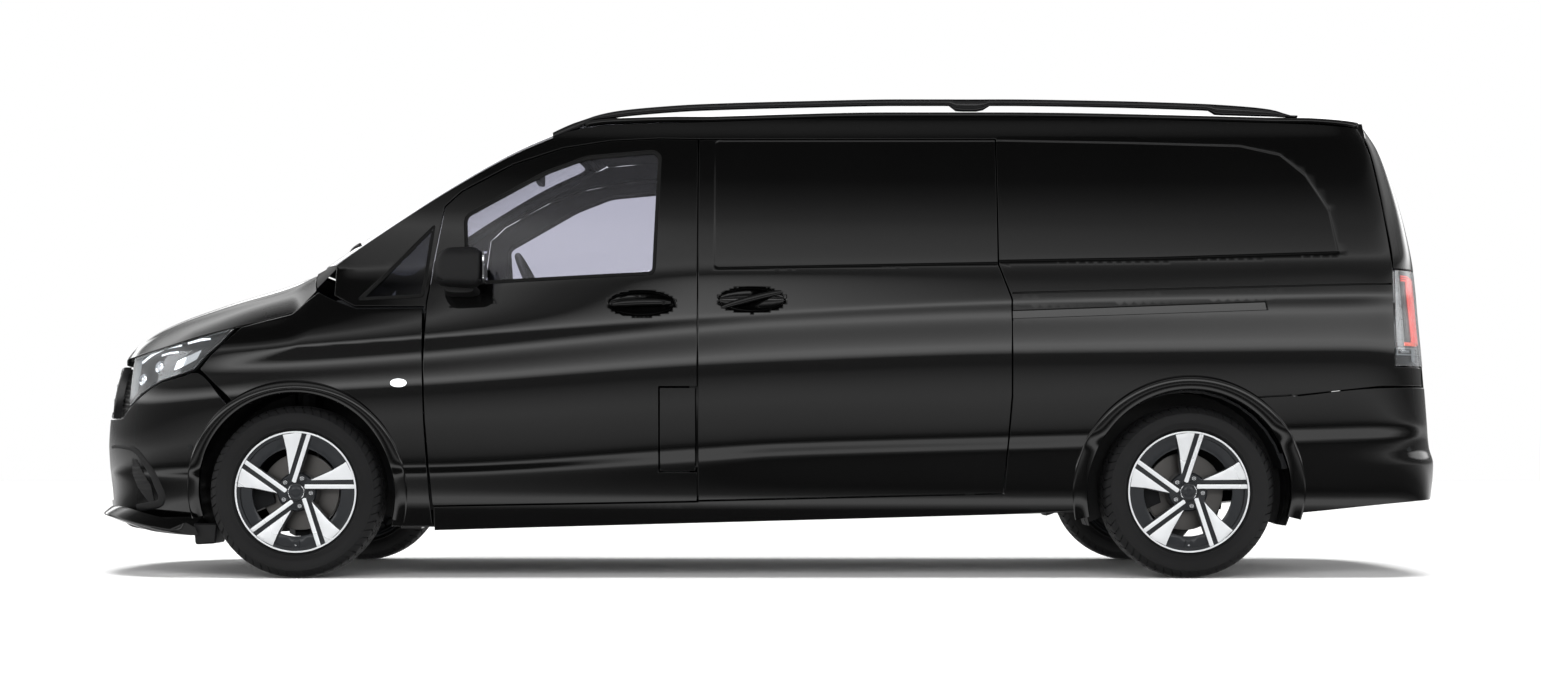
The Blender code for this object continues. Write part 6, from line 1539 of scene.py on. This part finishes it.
def dashboard():
    """Dashboard: its side outline carried across the cab, bowed, with five vents."""
    outline = softened([(1.359, 0.702), (1.359, 0.963), (1.329, 1.148), (1.25, 1.148),
                        (1.121, 1.148), (1.052, 1.091), (1.047, 0.99), (1.151, 0.9),
                        (1.179, 0.702)], 0.02, 6)
    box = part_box("dashboard")
    reach = (box[1][1] - box[0][1]) / 2 - 0.001
    middle = (box[1][1] + box[0][1]) / 2
    share = np.linspace(-1, 1, 60)
    rows = []
    for v in share:
        line = outline.copy()
        line[:, 1] -= 0.012 * v * v * (line[:, 1] > 1.1)
        line[:, 0] += 0.01 * v * v * (line[:, 0] < 1.2)
        rows.append(np.c_[line[:, 0], np.full(len(line), middle + v * reach), line[:, 1]])
    parts = [lofted(rows)]
    for y, wide in ((0.76, 0.06), (0.4, 0.13), (0.0, 0.1), (-0.4, 0.16), (-0.76, 0.06)):
        ring = rounded(rectangle(y - wide, 1.028, y + wide, 1.076), 0.014)
        front = stacked(1.0475 + 0 * ring[:, 0], ring[:, 0], ring[:, 1])
        back = front + [0.03, 0.0, 0.0]
        mouth = (front - front.mean(axis=0)) * [1, 0.9, 0.75] + front.mean(axis=0)
        parts.append(lofted(np.stack([back, front, mouth, mouth + [0.012, 0.0, 0.0]]), 1))
    solid_piece("dashboard_skin", parts, [DASH_SKIN, GLOSS_BLACK], "body", "dashboard")


def steering_wheel():
    """Rim as a torus with a flattened grip, three spokes and a boss, tilted with the column."""
    tilt = math.radians(26)
    centre = np.array([0.905, 0.4, 1.11])
    angle, grip = full_turn(96), full_turn(16)
    thick = 0.0145 + 0.0012 * np.cos(2 * angle)
    r = 0.1845 + thick[:, None] * np.cos(grip)
    ring = stacked(0 * r + 0.95 * thick[:, None] * np.sin(grip), r * np.cos(angle)[:, None],
                   r * np.sin(angle)[:, None])
    parts = [solid(ring.reshape(-1, 3), ring_faces(96, 16, True), 0)]
    c, s = superellipse(2.8, 20)
    for turn, wide in ((0.0, 0.02), (math.pi, 0.02), (-math.pi / 2, 0.016)):
        rows = []
        for reach, size in ((0.03, 1.5), (0.08, 1.0), (0.13, 0.9), (0.182, 1.15)):
            across = stacked(0.006 * s + 0.002, wide * size * c)
            y = reach * math.cos(turn) - across[:, 1] * math.sin(turn)
            z = reach * math.sin(turn) + across[:, 1] * math.cos(turn)
            rows.append(stacked(across[:, 0], y, z))
        parts.append(lofted(rows))
    boss = ((0.022, 0.8), (0.012, 1.0), (-0.008, 1.0), (-0.018, 0.86), (-0.0195, 0.5))
    parts.append(ovals([(x, 0.085 * size, 0, 0.055 * size) for x, size in boss], 2.8, 20))
    parts.append(ovals([(x, 0.024, 0, 0.024) for x in (0.018, 0.178)], 2.8, 20, 1))
    tilted = []
    for points, faces, kinds in parts:
        x = points[:, 0] * math.cos(tilt) + points[:, 2] * math.sin(tilt)
        z = -points[:, 0] * math.sin(tilt) + points[:, 2] * math.cos(tilt)
        tilted.append((stacked(x, points[:, 1], z) + centre, faces, kinds))
    solid_piece("steering_wheel_rim", tilted, [DASH_SKIN, GRAINED], "steering_wheel",
                "steering_wheel")


def cab_fittings():
    """Interior mirror on its stalk and the console over it."""
    c, s = superellipse(3.0, 24)
    head = ovals([(x, 0.125 * size, 1.635, 0.034 * size) for x, size in
                  ((0.948, 0.7), (0.94, 0.95), (0.926, 1.0), (0.922, 0.97))], 3.0, 24)
    stalk = [stacked(x + 0.01 * c, 0.012 * s, z + 0 * c)
             for x, z in ((0.945, 1.65), (0.957, 1.7), (0.96, 1.745))]
    console = ovals([(x, 0.15 * size, z, 0.03 * size) for x, size, z in
                     ((0.8, 0.6, 1.77), (0.74, 0.95, 1.782), (0.6, 1.0, 1.8),
                      (0.5, 0.9, 1.806))], 3.0, 24)
    solid_piece("cab_mirror_and_console", [head, lofted(stalk), console], [GRAINED], "body",
                slot="dashboard")


# Side outlines of the seats' pads
SEAT_CUSHION = [(0.378, 0.7), (0.922, 0.708), (0.932, 0.818), (0.398, 0.792)]
SEAT_BACK = [(0.366, 0.8), (0.492, 0.8), (0.384, 1.408), (0.306, 1.408)]
SEAT_HEAD = [(0.304, 1.43), (0.376, 1.43), (0.366, 1.592), (0.294, 1.592)]


def pad_shape(outline, y0, y1, crown):
    """Cushion: its side outline carried across, its end sections drawn in by a superellipse."""
    outline = stepped(rounded(outline, 0.05), 0.014)
    centre = outline.mean(axis=0)
    share = np.linspace(-1, 1, max(12, int((y1 - y0) / 0.018)))
    size = 1 - (1 - crown) * np.abs(share) ** 6
    rows = centre + (outline - centre)[None] * size[:, None, None]
    y = (y0 + y1) / 2 + (y1 - y0) / 2 * share
    return stacked(rows[..., 0], y[:, None] + 0 * rows[..., 0], rows[..., 1])


def seats():
    """Driver's seat and double passenger seat: plinth, pads and the head pads' posts."""
    for name, y0, y1, places in (("driver_seat", 0.15, 0.65, 1),
                                 ("passenger_seat", -0.74, 0.06, 2)):
        x, y = rounded(rectangle(0.401, y0 + 0.041, 0.849, y1 - 0.041), 0.02).T
        plinth = [stacked(x, y, z + 0 * x) for z in (0.481, 0.69)]
        solid_piece(name + "_plinth", [lofted(plinth)], [GRAINED], "body", name)
        width = (y1 - y0) / places
        for k in range(places):
            low, high = y0 + width * k + 0.004, y0 + width * (k + 1) - 0.004
            middle = (low + high) / 2
            for key, outline, a, b, crown in (("cushion", SEAT_CUSHION, low, high, 0.86),
                                              ("back", SEAT_BACK, low + 0.004, high - 0.004, 0.8),
                                              ("head", SEAT_HEAD, middle - 0.122, middle + 0.122,
                                               0.74)):
                pad("%s_%s_%d" % (name, key, k), lofted(pad_shape(outline, a, b, crown)))
            posts = [lofted([np.c_[circle(x, middle + dy, 0.006, 12), np.full(12, z)]
                             for x, z in ((0.345, 1.395), (0.337, 1.445))])
                     for dy in (-0.06, 0.06)]
            solid_piece("%s_head_posts_%d" % (name, k), posts, [CHROME], "body", slot=name)


PAD_TRAVEL = 0.012
PAD_VOXEL = 0.011
PAD_PRESSURE = 4.0
PAD_FRAMES = 12


def pad(name, shape):
    """Upholstered pad: remeshed, swelled as cloth under pressure, and its travel capped."""
    points, faces, _ = shape
    mesh = bpy.data.meshes.new(name)
    mesh.from_pydata(points.tolist(), [], [f for g in faces for f in g.tolist()])
    mesh.materials.append(SEAT_CLOTH)
    mesh.shade_smooth()
    piece = bpy.data.objects.new(name, mesh)
    bpy.context.scene.collection.objects.link(piece)
    remesh = piece.modifiers.new("remesh", "REMESH")
    remesh.mode = "VOXEL"
    remesh.voxel_size = PAD_VOXEL
    bake(piece)
    rest = mesh_points(piece)
    cloth = piece.modifiers.new("cloth", "CLOTH")
    cloth.settings.use_pressure = True
    cloth.settings.uniform_pressure_force = PAD_PRESSURE
    cloth.settings.effector_weights.gravity = 0.0
    cloth.settings.quality = 4
    for moment in range(1, PAD_FRAMES + 1):
        bpy.context.scene.frame_set(moment)
    bake(piece)
    bpy.context.scene.frame_set(1)
    travel = mesh_points(piece) - rest
    length = np.linalg.norm(travel, axis=1)[:, None]
    capped = rest + travel * np.minimum(1.0, PAD_TRAVEL / np.maximum(length, 1e-9))
    piece.data.vertices.foreach_set("co", capped.astype(np.float32).ravel())
    piece.data.shade_smooth()
    piece.data.update()
    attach(piece, "body")


def mesh_points(piece):
    """Positions of a piece's vertices."""
    flat = np.empty(len(piece.data.vertices) * 3, np.float32)
    piece.data.vertices.foreach_get("co", flat)
    return flat.reshape(-1, 3).astype(float)


def bake(piece):
    """Puts what the modifiers make into the piece's own mesh and takes them off."""
    graph = bpy.context.evaluated_depsgraph_get()
    made = bpy.data.meshes.new_from_object(piece.evaluated_get(graph))
    piece.modifiers.clear()
    piece.data = made


def bridge(name, near, far, thick, material, slot):
    """Strip that joins two edges: straight across from near to far, with an even thickness."""
    drop = np.array([0.0, 0.0, -thick])
    sections = np.stack([near, 0.5 * (near + far), far, far + drop,
                         0.5 * (near + far) + drop, near + drop], axis=1)
    solid_piece(name, [lofted(sections)], [material], "body", slot=slot)


def cowl():
    """Grained cowl from just above the bonnet's rear edge up under the screen's lower edge."""
    share = np.linspace(-1, 1, 81)
    near = bonnet_place(0.83 * share, 0 * share) + np.array([-0.004, 0.0, 0.007])
    far = screen_place(0.735 * share, 0.012 + 0 * share) + np.array([0.0, 0.0, -0.0065])
    far[:, 1] = np.sign(share) * np.minimum(np.abs(far[:, 1]), 0.8)
    bridge("scuttle_cowl", near, far, 0.003, GRAINED, "windscreen")


def header():
    """Painted strip that closes the roof's front edge down to the screen's upper edge."""
    share = np.linspace(-1, 1, 81)
    back = roof_place(0.7 + 0 * share, 0.733 * share) + np.array([0.0, 0.0, -0.004])
    front = screen_place(0.745 * share, 1.135 + 0 * share) + np.array([0.0, 0.0, -0.006])
    bridge("roof_header", back, front, 0.01, PAINT, "roof")


SPLITTER_SQUARENESS = 2.9


def splitter():
    """Lip under the nose: a thin edge along a squarer plan than the bumper's, y and x on
    x = start + reach (1 - |y/half|^n)^(1/4), with its underside running back to the arch."""
    y = np.sin(np.linspace(-1, 1, 121) * math.pi / 2) * 0.895
    share = np.abs(y) / HALF
    reach = FRONT_X - 0.004 - NOSE_START_X
    lip_x = NOSE_START_X + reach * (1 - share ** SPLITTER_SQUARENESS) ** 0.25
    skin_x = NOSE_START_X + (reach - 0.008) * (1 - share ** NOSE_SQUARENESS[0]) ** 0.25
    lip_z = through([(2.0, 0.164), (2.18, 0.17), (2.29, 0.185), (2.44, 0.212), (2.6, 0.24),
                     (2.7, 0.243)], lip_x)
    low_z = through([(2.0, 0.158), (2.18, 0.161), (2.29, 0.165), (2.44, 0.176), (2.6, 0.205),
                     (2.7, 0.215)], lip_x)
    lip_x = np.maximum(lip_x, skin_x + 0.002)
    rows = ((skin_x - 0.012, np.maximum(lip_z + 0.03, 0.2)),
            (skin_x + 0.25 * (lip_x - skin_x), lip_z + 0.02), (lip_x - 0.004, lip_z + 0.004),
            (lip_x, lip_z - 0.001), (lip_x - 0.003, lip_z - 0.006), (skin_x - 0.03, low_z),
            (skin_x - 0.06, low_z), (skin_x - 0.05, lip_z + 0.01))
    sections = np.stack([stacked(x, y, z) for x, z in rows], axis=1)
    solid_piece("nose_splitter", [lofted(sections)], [PAINT], "body", slot="front_bumper")


def air_curtains():
    """Frame at each corner of the bumper: a bead along the opening's edge, a dark grille."""
    path = np.array([(2.592, 0.505), (2.54, 0.507), (2.4956, 0.504), (2.455, 0.4945),
                     (2.4295, 0.479), (2.398, 0.443), (2.3682, 0.402), (2.346, 0.355),
                     (2.3293, 0.313), (2.333, 0.295), (2.347, 0.284), (2.3911, 0.275),
                     (2.45, 0.265)])
    length = np.concatenate([[0], np.cumsum(np.hypot(*np.diff(path, axis=0).T))])
    along = np.linspace(0, length[-1], 90)
    x, z = (through(np.c_[length, path[:, k]], along) for k in (0, 1))
    dx, dz = np.gradient(x), np.gradient(z)
    size = np.hypot(dx, dz)
    across = stacked(-dz / size, 0 * dx, dx / size)
    wide = 0.006 + 0.01 * np.clip(along / length[-1] * 1.6, 0, 1)
    c, s = superellipse(2.2, 14)
    grille = np.array([(2.464, 0.462), (2.44, 0.452), (2.378, 0.352), (2.366, 0.292),
                       (2.388, 0.288), (2.445, 0.352), (2.465, 0.4)])
    for label, side in SIDES:
        u = nose_u(x, z)
        centre = nose_place(side * u, z)
        ahead = nose_place(side * (u + 0.002), z) - nose_place(side * (u - 0.002), z)
        out = stacked(-ahead[:, 1] * side, ahead[:, 0] * side, 0 * z)
        out *= (np.sign(out[:, 1]) * side / np.linalg.norm(out, axis=-1))[:, None]
        ring = (centre[:, None] + across[:, None] * (wide[:, None] * c)[..., None]
                + out[:, None] * (0.0065 * s)[:, None])
        u_ring = nose_u(ring[..., 0], ring[..., 2])
        ring[..., 1] = (nose_place(side * u_ring, ring[..., 2])[..., 1]
                        + out[:, None, 1] * (0.0065 * s))
        solid_piece("air_curtain_frame_" + label, [lofted(ring)], [GRAINED], "body",
                    slot="front_bumper")
        outline = rounded(np.c_[side * nose_u(*grille.T), grille[:, 1]], 0.008)
        patch = cut_patch(outline, [], (0.01, 0.01), 0.008)

        def mouth(u, z):
            point = nose_place(u, z)
            ribs = np.maximum(np.sin(z * 2 * math.pi / 0.0155), 0.0)
            point[..., 1] += np.sign(u) * (0.0012 + 0.003 * ribs)
            return point
        sheet_piece("air_curtain_grille_" + label, mouth, patch, 1, [GRAINED],
                    "body", depth=0.004, radius=0.001)


def wheel_spats():
    """Deflector that hangs under the bumper ahead of each front tyre: a rounded plate."""
    outline = rounded([(2.108, 0.132), (2.186, 0.128), (2.194, 0.21), (2.1, 0.21)], 0.01)
    for label, side in SIDES:
        sections = []
        for y, inset in ((0.7, 0.006), (0.706, 0), (0.79, 0), (0.868, 0), (0.874, 0.006)):
            x, z = grown(outline, -inset).T
            sections.append(stacked(x, side * y + 0 * x, z))
        solid_piece("wheel_spat_" + label, [lofted(sections)], [GRAINED], "body",
                    slot="front_bumper")


def seam_backs():
    """Dark plate behind each wing's upper shut line, so that no daylight shows through it."""
    for label, side in SIDES:
        sheet_piece("seam_back_" + label, skin_place(side, sunk(half_width, 0.024)),
                    cut_patch(rectangle(1.27, 1.02, 1.64, 1.07), [], (0.03, 0.02), 0.02),
                    -side, [INNER_TRIM], "body", slot="front_wing_" + label, depth=0.002,
                    radius=0.0008)


def finish_cad_nodes():
    """Materials for the CAD nodes that stay in view."""
    finishes = {"floor": PRIMER, "bulkhead": PRIMER, "engine_block": CASTING,
                "front_suspension": CASTING, "rear_axle": CASTING, "dashboard": DASH_SKIN}
    for name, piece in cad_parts.items():
        material = next((m for key, m in finishes.items() if name.startswith(key)), CASTING)
        piece.data.materials.clear()
        piece.data.materials.append(material)


# Studio panels round the van: the sine of the elevation and the brightness seen there
SKY_LEVELS = [(-1.0, 0.05), (-0.6, 0.06), (-0.51, 1.3), (-0.4, 1.3), (-0.3, 0.3), (-0.2, 0.04),
              (-0.12, 0.12), (-0.08, 0.4), (-0.045, 0.75), (-0.01, 0.4), (0.03, 0.14),
              (0.11, 0.14), (0.155, 2.2), (0.18, 2.4), (0.22, 1.2), (0.26, 0.15), (0.33, 0.35),
              (0.45, 1.05), (0.53, 0.4), (0.65, 0.05), (0.9, 0.05), (1.0, 0.3)]
SKY_PEAK = 2.4
# Area lights: name, size, place, what they face, power
FILL_LIGHTS = (("front_fill", (7.0, 2.5), (0.5, 8.5, 3.0), (0.0, 0.0, 0.5), 520.0),
               ("nose_light", (2.0, 2.0), (7.0, 2.0, 2.5), (2.0, 0.0, 0.8), 60.0),
               ("tail_light", (2.0, 2.0), (-7.0, 2.0, 2.5), (-2.0, 0.0, 0.8), 60.0))
SUN_STRENGTH = 3.7
SUN_SPREAD = math.radians(35)
CAMERA_PLACE = (-0.0326, 10.9095, 0.488)
CAMERA_LENS = 60.78
CAMERA_RISE = 0.0719


def studio():
    """Pale floor, world lit by elevation, and a camera at the photograph's own angle."""
    scene = bpy.context.scene
    world = bpy.data.worlds.new("studio")
    scene.world = world
    world.use_nodes = True
    tree = world.node_tree
    tree.nodes.clear()
    way = node(tree, "TexCoord").outputs["Generated"]
    height = node(tree, "SeparateXYZ", {"Vector": way}).outputs["Z"]
    share = node(tree, "MapRange", {"Value": height, "From Min": -1.0, "From Max": 1.0})
    ramp = node(tree, "ValToRGB", {"Fac": share.outputs["Result"]})
    while len(ramp.color_ramp.elements) < len(SKY_LEVELS):
        ramp.color_ramp.elements.new(0.5)
    for element, (level_height, level) in zip(ramp.color_ramp.elements, SKY_LEVELS):
        element.position = (level_height + 1) / 2
        element.color = (level / SKY_PEAK, level / SKY_PEAK, level / SKY_PEAK, 1.0)
    lit = node(tree, "Background", {"Color": ramp.outputs["Color"], "Strength": SKY_PEAK})
    plain = node(tree, "Background", {"Color": (1.0, 1.0, 1.0, 1.0), "Strength": 1.0})
    path = node(tree, "LightPath")
    seen = node(tree, "Math", {0: path.outputs["Is Camera Ray"],
                               1: path.outputs["Is Transmission Ray"]})
    seen.operation = "MAXIMUM"
    mix = node(tree, "MixShader", {0: seen.outputs[0], 1: lit.outputs[0], 2: plain.outputs[0]})
    node(tree, "OutputWorld", {"Surface": mix.outputs[0]})

    floor = mesh_piece("studio_floor", [(-30, -30, 0), (30, -30, 0), (30, 30, 0), (-30, 30, 0)],
                       np.array([[0, 1, 2, 3]]), [finish_of("pale_floor", "FAFAFA", 0.9)],
                       None)
    floor.visible_glossy = False
    sun = bpy.data.lights.new("overhead_light", "SUN")
    sun.energy = SUN_STRENGTH
    sun.angle = SUN_SPREAD
    lamp = bpy.data.objects.new("overhead_light", sun)
    scene.collection.objects.link(lamp)
    lamp.rotation_euler = (math.radians(-4), 0.0, 0.0)
    lamp.visible_glossy = False
    for name, size, place, aim, power in FILL_LIGHTS:
        data = bpy.data.lights.new(name, "AREA")
        data.shape = "RECTANGLE"
        data.size, data.size_y = size
        data.energy = power
        lamp = bpy.data.objects.new(name, data)
        scene.collection.objects.link(lamp)
        lamp.location = place
        direction = Vector(aim) - Vector(place)
        lamp.rotation_euler = direction.to_track_quat("-Z", "Y").to_euler()
        lamp.visible_glossy = False

    camera = bpy.data.cameras.new("photo_camera")
    camera.sensor_width = 36.0
    camera.lens = CAMERA_LENS
    camera.shift_y = CAMERA_RISE
    camera.clip_end = 100.0
    view = bpy.data.objects.new("photo_camera", camera)
    scene.collection.objects.link(view)
    view.location = CAMERA_PLACE
    view.rotation_euler = (math.radians(90), 0.0, math.radians(180))
    scene.camera = view
    scene.view_settings.view_transform = "Standard"


def main():
    """Builds every piece, in the order that their names are listed in."""
    body_sides()
    doors()
    wings()
    flap()
    front_bumper()
    bonnet()
    roof()
    windscreen()
    side_glass()
    tailgate()
    rear_bumper()
    wheels()
    arch_liners()
    arch_flares()
    headlamps()
    tail_lamps()
    grilles()
    number_plate()
    mirrors()
    roof_rails()
    handles()
    small_fittings()
    cowl()
    header()
    splitter()
    air_curtains()
    wheel_spats()
    seam_backs()
    dashboard()
    steering_wheel()
    cab_fittings()
    seats()
    finish_cad_nodes()
    studio()


main()
